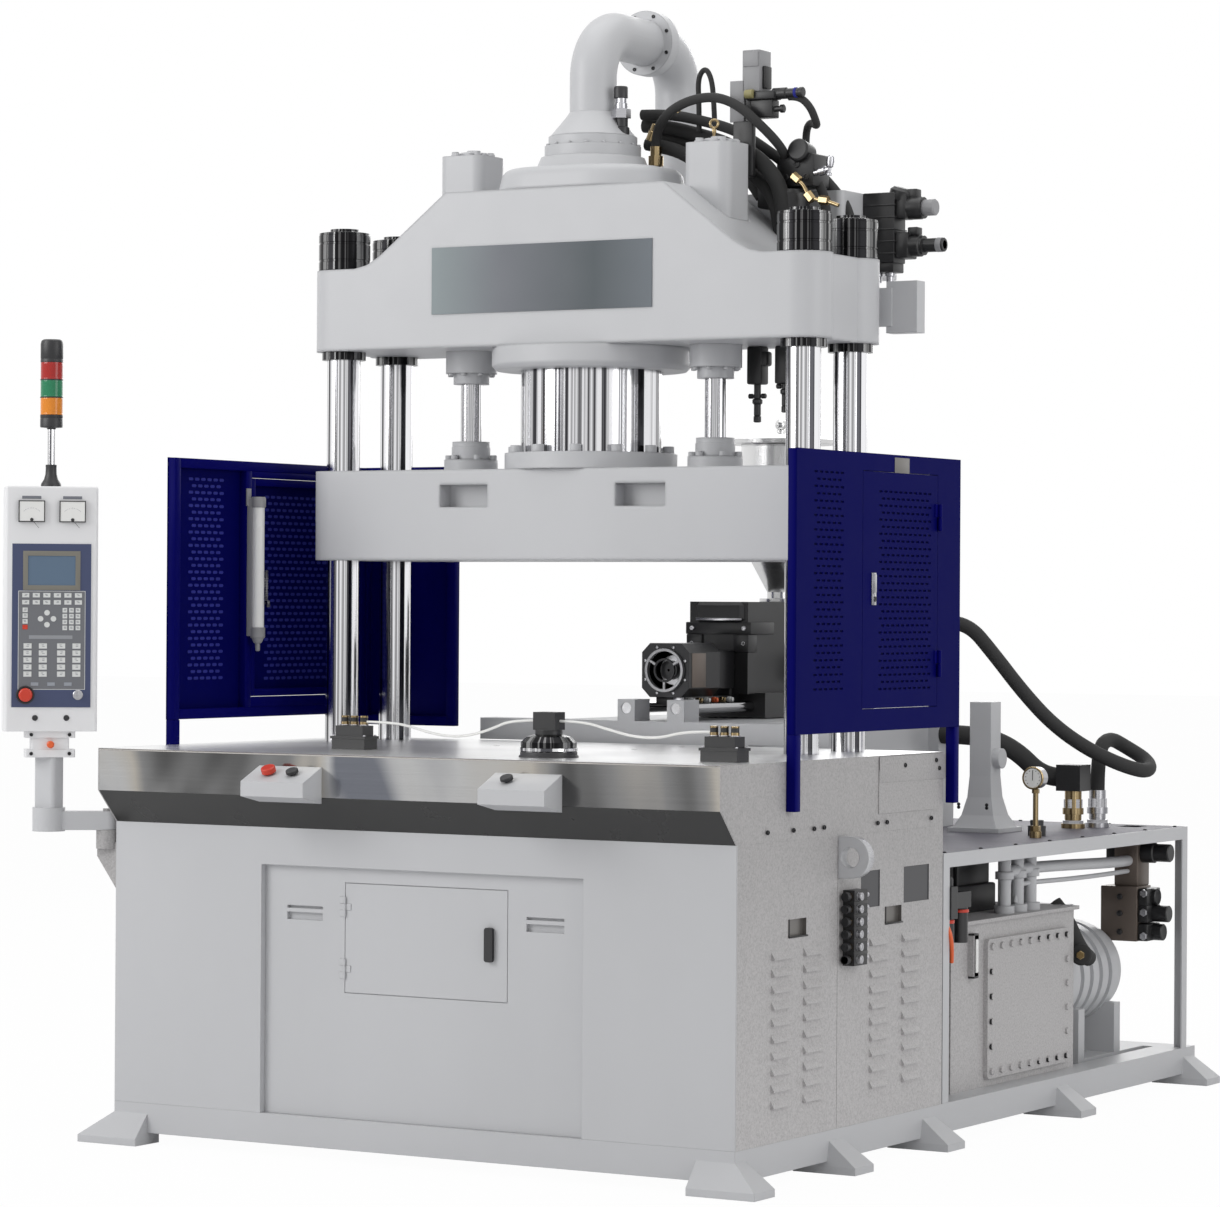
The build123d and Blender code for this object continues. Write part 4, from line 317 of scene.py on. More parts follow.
def make_painted_reflection_bands():
    """Painted reflections: bright and dark bands round a turned piece's axis, set by which way the surface
    faces.
    """
    group, start, end = new_group(
        "bright_bands",
        {"Light": (0.9, 0.9, 0.9, 1), "Dark": (0.05, 0.05, 0.05, 1), "Bands": 5.0, "Shift": 0.0,
         "Balance": 0.5},
        {"Colour": COLOUR_SOCKET},
    )
    given = start.outputs
    # Painted reflections: the surface's facing round the axis picks bright or dark bands.
    facing = node(group, "ShaderNodeTexCoord").outputs["Normal"]
    parts = node(group, "ShaderNodeSeparateXYZ", {0: facing}).outputs
    turned = sum_of(group, "ADD", sum_of(group, "ARCTAN2", parts[1], parts[0]), given["Shift"])
    streak = node(group, "ShaderNodeTexNoise", {"W": turned, "Scale": given["Bands"], "Detail": 3,
                                                "Roughness": 0.6}, noise_dimensions="1D")
    soft = sum_of(group, "SUBTRACT", streak.outputs["Fac"], given["Balance"])
    band = node(group, "ShaderNodeMapRange", {0: soft, 1: -0.06, 2: 0.05, 3: 1.0, 4: 0.0}).outputs[0]
    wire(group, end, Colour=mixed(group, band, given["Light"], given["Dark"]))


def make_fine_lines():
    """Fine drawn or turned lines in a metal with rounded edges."""
    group, start, end = new_group(
        "fine_lines",
        {"Across": 3.0, "Along": 400.0, "Depth": 0.05, "Rounding": 0.001, "Roughness": 0.3},
        {"Roughness": VALUE_SOCKET, "Normal": NORMAL_SOCKET},
    )
    given = start.outputs
    where = node(group, "ShaderNodeTexCoord").outputs["Object"]
    stretch = node(group, "ShaderNodeCombineXYZ",
                   {0: given["Across"], 1: given["Across"], 2: given["Along"]}).outputs[0]
    drawn = node(group, "ShaderNodeVectorMath", {0: where, 1: stretch}, operation="MULTIPLY").outputs[0]
    grain = node(group, "ShaderNodeTexNoise", {"Vector": drawn, "Scale": 1, "Detail": 4}).outputs["Fac"]
    rounded = node(group, "ShaderNodeBevel", {"Radius": given["Rounding"]}, samples=4).outputs[0]
    lines = node(group, "ShaderNodeBump", {"Strength": given["Depth"], "Distance": 0.001,
                                           "Height": grain, "Normal": rounded})
    uneven = node(group, "ShaderNodeMapRange", {0: grain, 3: -0.06, 4: 0.06}).outputs[0]
    wire(group, end, Roughness=sum_of(group, "ADD", given["Roughness"], uneven), Normal=lines.outputs[0])


def make_groups():
    """The effects that several materials share."""
    make_painted_skin()
    make_painted_reflection_bands()
    make_fine_lines()


def new_material(name, metallic=0.0, **sockets):
    """A material with one Principled shader, whose plain values are set on its own sockets."""
    material = bpy.data.materials.new(name)
    material.use_nodes = True
    tree = material.node_tree
    shader = tree.nodes["Principled BSDF"]
    shader.inputs["Metallic"].default_value = metallic
    for key, value in sockets.items():
        shader.inputs[key.replace("_", " ")].default_value = value
    return material, tree, shader


def grouped(tree, name, **values):
    """A shared effect placed in a material, with its own values."""
    made = tree.nodes.new("ShaderNodeGroup")
    made.node_tree = bpy.data.node_groups[name]
    for key, value in values.items():
        made.inputs[key.replace("_", " ")].default_value = value
    return made.outputs


def painted(name, paint, bare=(0.32, 0.32, 0.32, 1), rough=0.35, rounding=0.002, wear=0.25, peel=0.03,
            dust=0.4, metallic=0.0, shine=0.5):
    """An enamelled or moulded finish."""
    material, tree, shader = new_material(name, metallic, Specular_IOR_Level=shine)
    skin = grouped(tree, "painted_skin", Paint=paint, Bare=bare, Roughness=rough, Rounding=rounding,
                   Wear=wear, Orange_peel=peel, Dust=dust)
    wire(tree, shader, Base_Color=skin["Colour"], Roughness=skin["Roughness"], Normal=skin["Normal"])
    return material


def drawn_metal(name, light, dark, bands=4.0, shift=0.0, balance=0.5, rough=0.2):
    """A turned or polished metal with painted reflections: bright and dark bands round its axis."""
    tree, shader = new_material(name, 1.0)[1:]
    # The base colour carries painted reflections as bands.
    band = grouped(tree, "bright_bands", Light=light, Dark=dark, Bands=bands, Shift=shift, Balance=balance)
    lines = grouped(tree, "fine_lines", Across=3.0, Along=400.0, Depth=0.03, Rounding=0.0008,
                    Roughness=rough)
    wire(tree, shader, Base_Color=band["Colour"], Roughness=lines["Roughness"], Normal=lines["Normal"])


def polished_sheet(name, stops, scale=(1.3, 1.3, 0.5), rough=0.16, rounding=0.003):
    """Polished stainless sheet with painted reflections: soft light and dark patches of what it mirrors."""
    tree, shader = new_material(name, 1.0)[1:]
    # Painted reflections: soft light and dark patches in the base colour.
    painted_reflection_patch = noise(tree, 1.6, 2.5, scale, Roughness=0.5, Distortion=0.6)
    lines = grouped(tree, "fine_lines", Across=2.0, Along=260.0, Depth=0.04, Rounding=rounding,
                    Roughness=rough)
    wire(tree, shader, Base_Color=ramp(tree, painted_reflection_patch, stops), Roughness=lines["Roughness"],
         Normal=lines["Normal"])


def grainy_paint():
    """Warm grey hammered enamel of the side panels, lighter towards the floor."""
    material = painted("hammered_enamel", colour("side"), rough=0.42, rounding=0.0015, wear=0.15, peel=0.12)
    tree = material.node_tree
    skin = next(n for n in tree.nodes if n.type == "GROUP")
    grain = ramp(tree, noise(tree, 150, 4, Roughness=0.8), [(0.32, 0.72), (0.5, 1.0), (0.66, 1.15)])
    where = node(tree, "ShaderNodeTexCoord").outputs["Object"]
    rise = node(tree, "ShaderNodeSeparateXYZ", {0: where}).outputs[2]
    fade = node(tree, "ShaderNodeMapRange", {0: rise, 1: 0.15, 2: 0.95, 3: 1.25, 4: 0.96}).outputs[0]
    level = node(tree, "ShaderNodeVectorMath", {0: grain, 1: fade}, operation="MULTIPLY").outputs[0]
    whole = mixed(tree, 1.0, skin.outputs["Colour"], level, "MULTIPLY")
    wire(tree, tree.nodes["Principled BSDF"], Base_Color=whole)


def brushed_plate():
    """Dull blue-grey plate, darker towards its lower right: a painted reflection across the brushed plate."""
    material = painted("plate_sheet", (0.2, 0.2, 0.2, 1), rough=0.42, rounding=0.0005, wear=0.0, shine=0.3)
    tree = material.node_tree
    parts = node(tree, "ShaderNodeSeparateXYZ", {0: node(tree, "ShaderNodeTexCoord").outputs["Object"]})
    across = node(tree, "ShaderNodeMapRange", {0: parts.outputs[0], 1: -0.36, 2: 0.47})
    # Painted reflection: light at the left, darker across the middle, lighter again at the right edge.
    tone = ramp(tree, across.outputs[0], [(0.05, (0.25, 0.29, 0.3)), (0.35, (0.16, 0.17, 0.19)),
                                          (0.75, (0.075, 0.09, 0.1)), (1.0, (0.14, 0.16, 0.18))])
    tree.links.new(tone, tree.nodes["Principled BSDF"].inputs["Base Color"])


def tread_enamel():
    """Dark painted tread plate with short raised bars in two directions."""
    material = painted("deck_sheet", (0.12, 0.115, 0.14, 1), rough=0.55, rounding=0.001, wear=0.2, shine=0.25)
    tree = material.node_tree
    skin = next(n for n in tree.nodes if n.type == "GROUP")
    lift = None
    for turn in (math.radians(45), math.radians(-45)):
        where = node(tree, "ShaderNodeTexCoord")
        turned = node(tree, "ShaderNodeMapping", {0: where.outputs["Object"], 2: (0, 0, turn)})
        brick = node(tree, "ShaderNodeTexBrick", {0: turned.outputs[0], "Scale": 14.0, "Mortar Size": 0.05,
                                                  "Brick Width": 0.6, "Row Height": 0.3})
        lift = brick.outputs["Fac"] if lift is None else mixed(tree, 0.5, lift, brick.outputs["Fac"])
    bump = node(tree, "ShaderNodeBump", {"Strength": 0.5, "Distance": 0.003, "Height": lift,
                                         "Normal": skin.outputs["Normal"]})
    tree.links.new(bump.outputs[0], tree.nodes["Principled BSDF"].inputs["Normal"])


def make_materials():
    """Every finish of the machine."""
    make_groups()
    painted("grey_enamel", colour("body"), rough=0.36, rounding=0.003, wear=0.2)
    painted("casting_enamel", colour("body"), rough=0.4, rounding=0.016, wear=0.15, peel=0.1)
    painted("soft_casting", colour("body"), rough=0.4, rounding=0.006, wear=0.15, peel=0.1)
    grainy_paint()
    painted("guard_enamel", colour("guard"), rough=0.4, rounding=0.002, wear=0.1, bare=(0.05, 0.05, 0.3, 1),
            shine=0.03)
    painted("guard_sheet_enamel", colour("guard"), rough=0.45, rounding=0.0008, wear=0.04,
            bare=(0.05, 0.05, 0.3, 1), shine=0.02)
    painted("guard_bar_enamel", colour("guard_bar"), rough=0.4, rounding=0.003, wear=0.1,
            bare=(0.06, 0.06, 0.3, 1), shine=0.03)
    # Near black in the guards' slots: painted shade. Lighter blue on their inner side: a painted highlight of
    # the pressed lips, and also the plain blue of the switch's ring.
    painted("slot_outside", (0.0015, 0.0015, 0.03, 1), rough=0.7, rounding=0.0, wear=0.0, shine=0.02)
    painted("slot_inside", (0.03, 0.035, 0.26, 1), rough=0.5, rounding=0.0, wear=0.0, shine=0.1)
    painted("dull_plate", (0.2, 0.19, 0.18, 1), rough=0.34, rounding=0.0006, wear=0.2, metallic=0.6)
    painted("key_print", (0.2, 0.21, 0.24, 1), rough=0.5, rounding=0.0, wear=0.0)
    painted("key_field_grey", (0.16, 0.165, 0.18, 1), rough=0.4, rounding=0.0004, wear=0.0, peel=0.01)
    painted("key_field_pale", (0.3, 0.31, 0.33, 1), rough=0.4, rounding=0.0004, wear=0.0, peel=0.01)
    painted("bezel_khaki", (0.2, 0.19, 0.16, 1), rough=0.4, rounding=0.0006, wear=0.05)
    painted("skirt_paint", colour("skirt"), rough=0.28, rounding=0.004, wear=0.1, metallic=0.35)
    painted("black_oxide", (0.022, 0.022, 0.024, 1), bare=(0.25, 0.25, 0.25, 1), rough=0.3, rounding=0.002,
            wear=0.3, metallic=0.5)
    painted("black_moulding", (0.018, 0.018, 0.02, 1), bare=(0.06, 0.06, 0.06, 1), rough=0.42,
            rounding=0.001, wear=0.2)
    painted("black_iron", (0.014, 0.014, 0.015, 1), bare=(0.12, 0.12, 0.12, 1), rough=0.38,
            rounding=0.002, wear=0.3)
    painted("machined_iron", (0.3, 0.3, 0.31, 1), rough=0.4, rounding=0.002, metallic=0.8)
    painted("grey_box", (0.3, 0.3, 0.31, 1), rough=0.45, rounding=0.0015)
    painted("pale_plastic", (0.82, 0.82, 0.83, 1), rough=0.4, rounding=0.0015, wear=0.05)
    painted("overlay_film", colour("overlay"), rough=0.35, rounding=0.0008, wear=0.0, peel=0.01)
    painted("screen_glass", (0.10, 0.16, 0.24, 1), rough=0.12, rounding=0.0005, wear=0.0, peel=0.0)
    painted("key_white", (0.72, 0.73, 0.72, 1), rough=0.42, rounding=0.0006, wear=0.1)
    painted("key_grey", (0.32, 0.34, 0.38, 1), rough=0.42, rounding=0.0006, wear=0.1)
    painted("meter_face", (0.85, 0.85, 0.83, 1), rough=0.3, rounding=0.0005, wear=0.0)
    painted("red_moulding", (0.62, 0.045, 0.02, 1), bare=(0.4, 0.05, 0.03, 1), rough=0.26, rounding=0.0015,
            wear=0.1)
    painted("red_lens", (0.42, 0.02, 0.015, 1), rough=0.14, rounding=0.001, wear=0.0)
    painted("green_lens", (0.02, 0.22, 0.1, 1), rough=0.14, rounding=0.001, wear=0.0)
    painted("amber_lens", (0.8, 0.26, 0.02, 1), rough=0.14, rounding=0.001, wear=0.0)
    painted("orange_plastic", (0.8, 0.13, 0.03, 1), rough=0.3, rounding=0.001, wear=0.1)
    painted("hose_rubber", (0.012, 0.012, 0.013, 1), bare=(0.03, 0.03, 0.03, 1), rough=0.24, rounding=0.0,
            wear=0.0, peel=0.3)
    painted("clear_tube", (0.42, 0.42, 0.38, 1), rough=0.15, rounding=0.0, wear=0.0)
    painted("lamp_white", (0.9, 0.9, 0.88, 1), rough=0.25, rounding=0.0008, wear=0.0)
    painted("soot", (0.01, 0.01, 0.011, 1), rough=0.8, rounding=0.0, wear=0.0)
    # The bands of these metals are painted reflections.
    drawn_metal("chrome_bar", (0.88, 0.88, 0.9, 1), (0.045, 0.045, 0.05, 1), bands=2.6, shift=0.4,
                balance=0.5, rough=0.14)
    drawn_metal("chrome_pole", (0.85, 0.85, 0.86, 1), (0.1, 0.1, 0.11, 1), bands=2.0, shift=0.9, rough=0.15)
    drawn_metal("chrome_ram", (0.78, 0.78, 0.8, 1), (0.04, 0.04, 0.045, 1), bands=6.5, shift=0.2,
                balance=0.49, rough=0.16)
    drawn_metal("black_turned", (0.26, 0.26, 0.26, 1), (0.012, 0.012, 0.013, 1), bands=2.6, shift=0.5,
                balance=0.56, rough=0.24)
    painted("dark_glass", (0.045, 0.045, 0.05, 1), rough=0.3, rounding=0.0008, wear=0.05)
    painted("warm_iron", (0.16, 0.13, 0.11, 1), rough=0.4, rounding=0.002, metallic=0.5)
    painted("khaki_rubber", (0.3, 0.27, 0.12, 1), rough=0.5, rounding=0.001, wear=0.0)
    drawn_metal("turned_steel", (0.62, 0.62, 0.64, 1), (0.16, 0.16, 0.17, 1), bands=2.0, rough=0.3)
    drawn_metal("bright_screw", (0.6, 0.6, 0.62, 1), (0.28, 0.28, 0.3, 1), bands=1.5, rough=0.28)
    drawn_metal("yellow_brass", (0.45, 0.35, 0.2, 1), (0.16, 0.11, 0.05, 1), bands=2.0, rough=0.24)
    # The patches of these sheets are painted reflections.
    polished_sheet("mirror_sheet", [(0.3, 0.1), (0.42, 0.27), (0.5, (0.52, 0.49, 0.44)), (0.6, 0.56),
                                    (0.7, (0.2, 0.21, 0.24))], rounding=0.0005)
    polished_sheet("table_sheet", [(0.25, 0.62), (0.5, 0.85), (0.75, 0.95)], scale=(1, 1, 1), rough=0.3)
    brushed_plate()
    tread_enamel()
    polished_sheet("hopper_sheet", [(0.2, 0.3), (0.5, 0.6), (0.8, 0.8)], scale=(3, 3, 0.4), rough=0.22)


NODE_FINISH = {
    "base_frame": "grey_enamel", "bed_frame": "grey_enamel", "bed_platen": "machined_iron",
    "table_cover": "mirror_sheet", "apron_skirt": "skirt_paint", "cabinet_front": "grey_enamel",
    "service_panel": "grey_enamel", "access_door": "grey_enamel", "access_latch": "black_moulding",
    "side_panels_right": "hammered_enamel", "side_panels_left": "hammered_enamel",
    "rear_panel": "hammered_enamel", "upper_side_covers": "hammered_enamel", "side_fittings": "soft_casting",
    "tie_bars": "chrome_bar", "tie_bar_nuts": "black_turned", "top_platen": "casting_enamel",
    "cylinder_covers": "casting_enamel", "booster_cylinders": "soft_casting", "prefill_pipe": "soft_casting",
    "top_oil_tank": "grey_enamel", "junction_box": "grey_enamel", "top_valves": "black_iron",
    "right_guard": "guard_enamel", "left_guard": "guard_enamel", "injection_bed": "grey_enamel",
    "guide_rods": "chrome_bar", "rear_frame": "grey_enamel", "tread_plate": "deck_sheet",
    "oil_tank": "hammered_enamel", "deck_fittings": "yellow_brass", "pump_motor": "grey_enamel",
    "rear_valves": "black_iron", "table_devices": "black_iron", "two_hand_boxes": "grey_enamel",
    "moving_platen": "casting_enamel", "rams": "chrome_ram", "right_guard_door": "guard_enamel",
    "left_guard_door": "guard_enamel", "swing_arm": "grey_enamel", "control_panel": "pale_plastic",
    "signal_tower": "black_moulding", "panel_stop_button": "red_moulding",
    "panel_key_switch": "bright_screw", "left_stop_button": "red_moulding",
    "left_start_button": "black_moulding", "right_start_button": "black_moulding",
    "injection_carriage": "black_iron", "barrel": "turned_steel", "barrel_cover": "black_oxide",
    "hopper": "hopper_sheet", "hopper_lid": "hopper_sheet", "screw_drive": "black_iron",
    "screw": "turned_steel",
}


def finish_nodes():
    """Gives each CAD node its material."""
    for name, finish in NODE_FINISH.items():
        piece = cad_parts[name]
        piece.data.materials.clear()
        piece.data.materials.append(bpy.data.materials[finish])


def spot_of(piece, face):
    """The middle of a face, in the drawing's millimetres."""
    return (piece.matrix_world @ face.center - MIDDLE) * 1000


def on_panel(spot):
    """A point of the drawing, in the control panel's own axes."""
    flat = Vector((spot.x - PANEL_AXIS[0], spot.y - PANEL_AXIS[1], 0))
    flat.rotate(Matrix.Rotation(-PANEL_TURN, 4, "Z"))
    return Vector((flat.x, flat.y, spot.z))


def tint(name, finish, test, view=None):
    """Gives the faces of a solid whose middle passes a test another finish."""
    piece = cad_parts[name]
    piece.data.materials.append(bpy.data.materials[finish])
    slot = len(piece.data.materials) - 1
    for face in piece.data.polygons:
        spot = spot_of(piece, face)
        if view:
            spot = view(spot)
        if test(spot):
            face.material_index = slot


def inside(x0, x1, y0, y1, z0, z1):
    """A test for points between two corners."""
    return lambda spot: x0 < spot.x < x1 and y0 < spot.y < y1 and z0 < spot.z < z1


def near(x, y, radius, low=-1e9, high=1e9):
    """A test for points round an upright axis."""
    return lambda spot: math.hypot(spot.x - x, spot.y - y) < radius and low < spot.z < high


def bolt(name="bolt", radius=11.0, height=9.0, washer=0.0, socket=0.55):
    """A screw head at the origin: rounded rim and a sunk socket."""
    sides = bpy.context.scene.machine_sizes.bolt_sides
    foot = [(washer, 0), (washer, 1.6), (radius, 1.6)] if washer else [(radius, 0)]
    top = [(radius, height - 1.5), (radius - 1.5, height)]
    hole = [(radius * socket, height), (radius * socket * 0.96, height * 0.45)]
    return lathe(name, foot + top + hole, sides=sides)


def hexagon(name, across, height):
    """A hexagon head or nut at the origin."""
    radius = across / math.sqrt(3)
    return smooth(lathe(name, [(radius, 0), (radius, height - 1.2), (radius * 0.9, height)], sides=6), 20)


def cluster(name, finish, boxes=(), turned=(), body="frame"):
    """One piece of several blocks and turned parts.

    boxes: x0, x1, y0, y1, z0, z1 and the edge's rounding of each.
    turned: stations, sides and where it stands, of each.
    """
    parts = [block(name, *box[:6], edge=box[6]) for box in boxes]
    parts += [lathe(name, stations, sides, where) for stations, sides, where in turned]
    return dress(joined(parts, name), finish, body)


def mirrored(piece, name):
    """A copy of a piece on the machine's other side."""
    twin = piece.copy()
    twin.data = piece.data.copy()
    bpy.context.collection.objects.link(twin)
    twin.name = name
    pick(twin)
    flip = Matrix.Translation(MIDDLE) @ Matrix.Diagonal((-1, 1, 1, 1)) @ Matrix.Translation(-MIDDLE)
    twin.matrix_world = flip
    bpy.ops.object.transform_apply(location=True, rotation=True, scale=True)
    bpy.ops.object.mode_set(mode="EDIT")
    bpy.ops.mesh.select_all(action="SELECT")
    bpy.ops.mesh.normals_make_consistent(inside=False)
    bpy.ops.object.mode_set(mode="OBJECT")
    return twin


def apply(piece, kind, **settings):
    """Adds a modifier with its settings and applies it."""
    pick(piece)
    bpy.ops.object.modifier_add(type=kind)
    change = piece.modifiers[-1]
    for key, value in settings.items():
        setattr(change, key, value)
    bpy.ops.object.modifier_apply(modifier=change.name)
    return piece


SLOT_ROW = 0.021
SLOT_CORNER = 0.0024
SLOT_LIP = 0.0007
SLOT_DEPTH = 0.0022
SLOT_LEAST_CELLS = 2.5
CORNER_ANGLE = 2.5
SHEET = 0.003
GUARD_TURN = Matrix(((0, 0, 1, 0), (1, 0, 0, 0), (0, 1, 0, 0), (0, 0, 0, 1)))


def grow(piece, side, start, stop, low=-9.0, high=9.0):
    """Extrudes the sheet's edges that lie at a place along one side out to another place."""
    mesh = bmesh.from_edit_mesh(piece.data)
    bpy.ops.mesh.select_all(action="DESELECT")
    for edge in mesh.edges:
        ends = [vert.co for vert in edge.verts]
        edge.select = all(
            abs(end[side] - start) < 1e-5 and low - 1e-5 < end[1 - side] < high + 1e-5 for end in ends
        )
    bmesh.update_edit_mesh(piece.data)
    step = [0, 0, 0]
    step[side] = stop - start
    bpy.ops.mesh.extrude_edges_move(TRANSFORM_OT_translate={"value": step})


def select_faces(piece, test):
    """Selects the faces that pass a test, in edit mode."""
    bpy.ops.mesh.select_mode(type="FACE")
    bpy.ops.mesh.select_all(action="DESELECT")
    mesh = bmesh.from_edit_mesh(piece.data)
    for face in mesh.faces:
        face.select = test(face)
    bmesh.update_edit_mesh(piece.data)


def slotted_field(name, y, z, slots, rows):
    """Sheet metal pressed with staggered slots, from a corner at y, z, still in its own plane."""
    pitch = bpy.context.scene.machine_sizes.slot_pitch
    cell, layer = pitch / 6, SLOT_ROW / 3
    columns, layers = 6 * slots, 3 * rows
    deselect()
    bpy.ops.mesh.primitive_grid_add(
        x_subdivisions=columns, y_subdivisions=layers, size=1,
        location=(y + columns * cell / 2, z + layers * layer / 2, 0),
    )
    piece = bpy.context.object
    piece.name = name
    piece.scale = (columns * cell, layers * layer, 1)
    bpy.ops.object.transform_apply(location=True, rotation=True, scale=True)
    bpy.ops.object.mode_set(mode="EDIT")

    def in_slot(face):
        middle = face.calc_center_median()
        column = int((middle.x - y) / cell) - 1
        line = int((middle.y - z) / layer) - 1
        shift = 3 * (line // 3 % 2)
        start = column - (column - shift) % 6
        fits = start >= shift and start + 4 <= columns - 2
        return line >= 0 and line % 3 == 0 and (column - shift) % 6 < 4 and fits

    def is_slot(face):
        return face.calc_area() > SLOT_LEAST_CELLS * cell * layer

    select_faces(piece, in_slot)
    bpy.ops.mesh.dissolve_faces()
    bpy.ops.mesh.select_mode(type="VERT")
    bpy.ops.mesh.select_all(action="DESELECT")
    mesh = bmesh.from_edit_mesh(piece.data)
    for face in mesh.faces:
        if is_slot(face):
            for loop in face.loops:
                if loop.calc_angle() < CORNER_ANGLE:
                    loop.vert.select = True
    mesh.select_flush_mode()
    bmesh.update_edit_mesh(piece.data)
    bpy.ops.mesh.bevel(offset=SLOT_CORNER, segments=1, affect="VERTICES")
    select_faces(piece, is_slot)
    bpy.ops.mesh.inset(thickness=SLOT_LIP, depth=-SLOT_DEPTH, use_individual=True)
    # Slot pockets: painted shade on the outer face; the inner shell gets the next finish, a painted
    # highlight.
    for finish in ("guard_sheet_enamel", "guard_sheet_enamel", "slot_outside", "slot_inside"):
        piece.data.materials.append(bpy.data.materials[finish])
    piece.active_material_index = 2
    bpy.ops.object.material_slot_assign()
    bpy.ops.mesh.select_mode(type="EDGE")
    return piece, y + columns * cell, z + layers * layer


def stood_sheet(piece):
    """Gives a flat sheet its wall and stands it upright in its plane on the right side."""
    bpy.ops.mesh.select_all(action="SELECT")
    bpy.ops.mesh.remove_doubles(threshold=1e-5)
    bpy.ops.mesh.select_mode(type="VERT")
    bpy.ops.object.mode_set(mode="OBJECT")
    apply(piece, "SOLIDIFY", thickness=SHEET, offset=-1, material_offset=1)
    put(piece, Matrix.Translation(place(GUARD_FACE, 0, 0)) @ GUARD_TURN)
    return smooth(piece, 20)


def guard_sheet():
    """The fixed sheet of a side guard, slotted in front of its door."""
    piece, y1, z1 = slotted_field("guard_sheet", 0.392, 1.405, 6, 31)
    grow(piece, 0, 0.392, 0.290)
    grow(piece, 0, y1, 0.706)
    grow(piece, 1, z1, 2.058)
    grow(piece, 1, 2.058, 2.110)
    grow(piece, 1, 1.405, 1.352)
    grow(piece, 1, 1.352, 1.287)
    for low, high in ((2.058, 2.110), (1.287, 1.352)):
        grow(piece, 0, 0.706, 1.212, low, high)
        grow(piece, 0, 1.212, 1.370, low, high)
    grow(piece, 1, 2.058, 1.352, 1.212, 1.370)
    return stood_sheet(piece)


def guard_door_sheet():
    """The slotted sheet of a guard's door."""
    piece, y1, z1 = slotted_field("guard_door_sheet", 0.808, 1.400, 11, 29)
    grow(piece, 0, 0.808, 0.708)
    grow(piece, 0, y1, 1.210)
    grow(piece, 1, z1, 2.056)
    grow(piece, 1, 1.400, 1.354)
    return stood_sheet(piece)


def guard_bars():
    """Square tubes behind a guard's sheet, and its legs with their feet."""
    tubes = [
        (1085, 1112, 291, 322, 1287, 2109), (1085, 1112, 1338, 1369, 1287, 2109),
        (1085, 1112, 322, 1338, 2078, 2109), (1085, 1112, 322, 1338, 1288, 1320),
        (1085, 1112, 674, 706, 1320, 2078), (1085, 1112, 1212, 1244, 1320, 2078),
        (1085, 1112, 706, 1212, 2058, 2078), (1085, 1112, 706, 1212, 1320, 1352),
        (1085, 1115, 290, 324, 1066, 1287), (1085, 1115, 1336, 1370, 1052, 1287),
    ]
    parts = [block("guard_bars", *tube, edge=2.5) for tube in tubes]
    for z in (1442, 1888):
        parts.append(block("guard_bars", 1112, 1118.5, 1212, 1233, z, z + 40, edge=1))
        parts.append(lathe("guard_bars", [(6.2, 0), (7, 0.8), (7, 39.2), (6.2, 40)], sides=20,
                           where=stand(1122.5, 1211, z)))
        parts.append(lathe("guard_bars", [(3.5, 0), (3.5, 35), (2.6, 36)], sides=14,
                           where=stand(1122.5, 1211, z + 40)))
    return joined(parts, "guard_bars")


def guard_leaf():
    """Tubes and knuckles of a guard's door."""
    tubes = [
        (1089, 1112, 708, 732, 1354, 2056), (1089, 1112, 1186, 1210, 1354, 2056),
        (1089, 1112, 732, 1186, 2032, 2056), (1089, 1112, 732, 1186, 1354, 1378),
    ]
    parts = [block("guard_leaf", *tube, edge=2) for tube in tubes]
    for z in (1483, 1929):
        parts.append(block("guard_leaf", 1112, 1118.5, 1189, 1210, z, z + 40, edge=1))
        knuckle = lathe("guard_leaf", [(7, 0), (7, 39.2), (6.2, 40), (3.6, 40), (3.6, 0)], sides=20)
        parts.append(put(knuckle, stand(1122.5, 1211, z)))
    return joined(parts, "guard_leaf")


def door_latch(name):
    """Flush slam latch: a plate with a raised rim, a sunk paddle and a black lock."""
    plate = block(name, 1114.5, 1119, 763, 791, 1660, 1756, edge=1.2)
    paddle = block(name, 1117, 1122.5, 767, 787, 1697, 1752, edge=2)
    dish = block(name, 1116, 1120.5, 767, 787, 1664, 1693, edge=1.5)
    lock = lathe(name + "_lock", [(8, 0), (8, 3), (7, 4), (3.2, 4), (3, 2.6)], sides=24,
                 where=stand(1119.5, 777, 1678, RIGHT))
    return joined([plate, paddle, dish], name), lock


def inner_handle():
    """Cranked lever of the latch on the guard's inner face."""
    parts = [
        block("lever", 1079, 1089, 764, 790, 1706, 1738, edge=2),
        block("lever", 1074, 1080, 770, 784, 1650, 1760, edge=2),
        block("lever", 1066, 1076, 770, 784, 1640, 1664, edge=3),
    ]
    return joined(parts, "right_latch_lever")


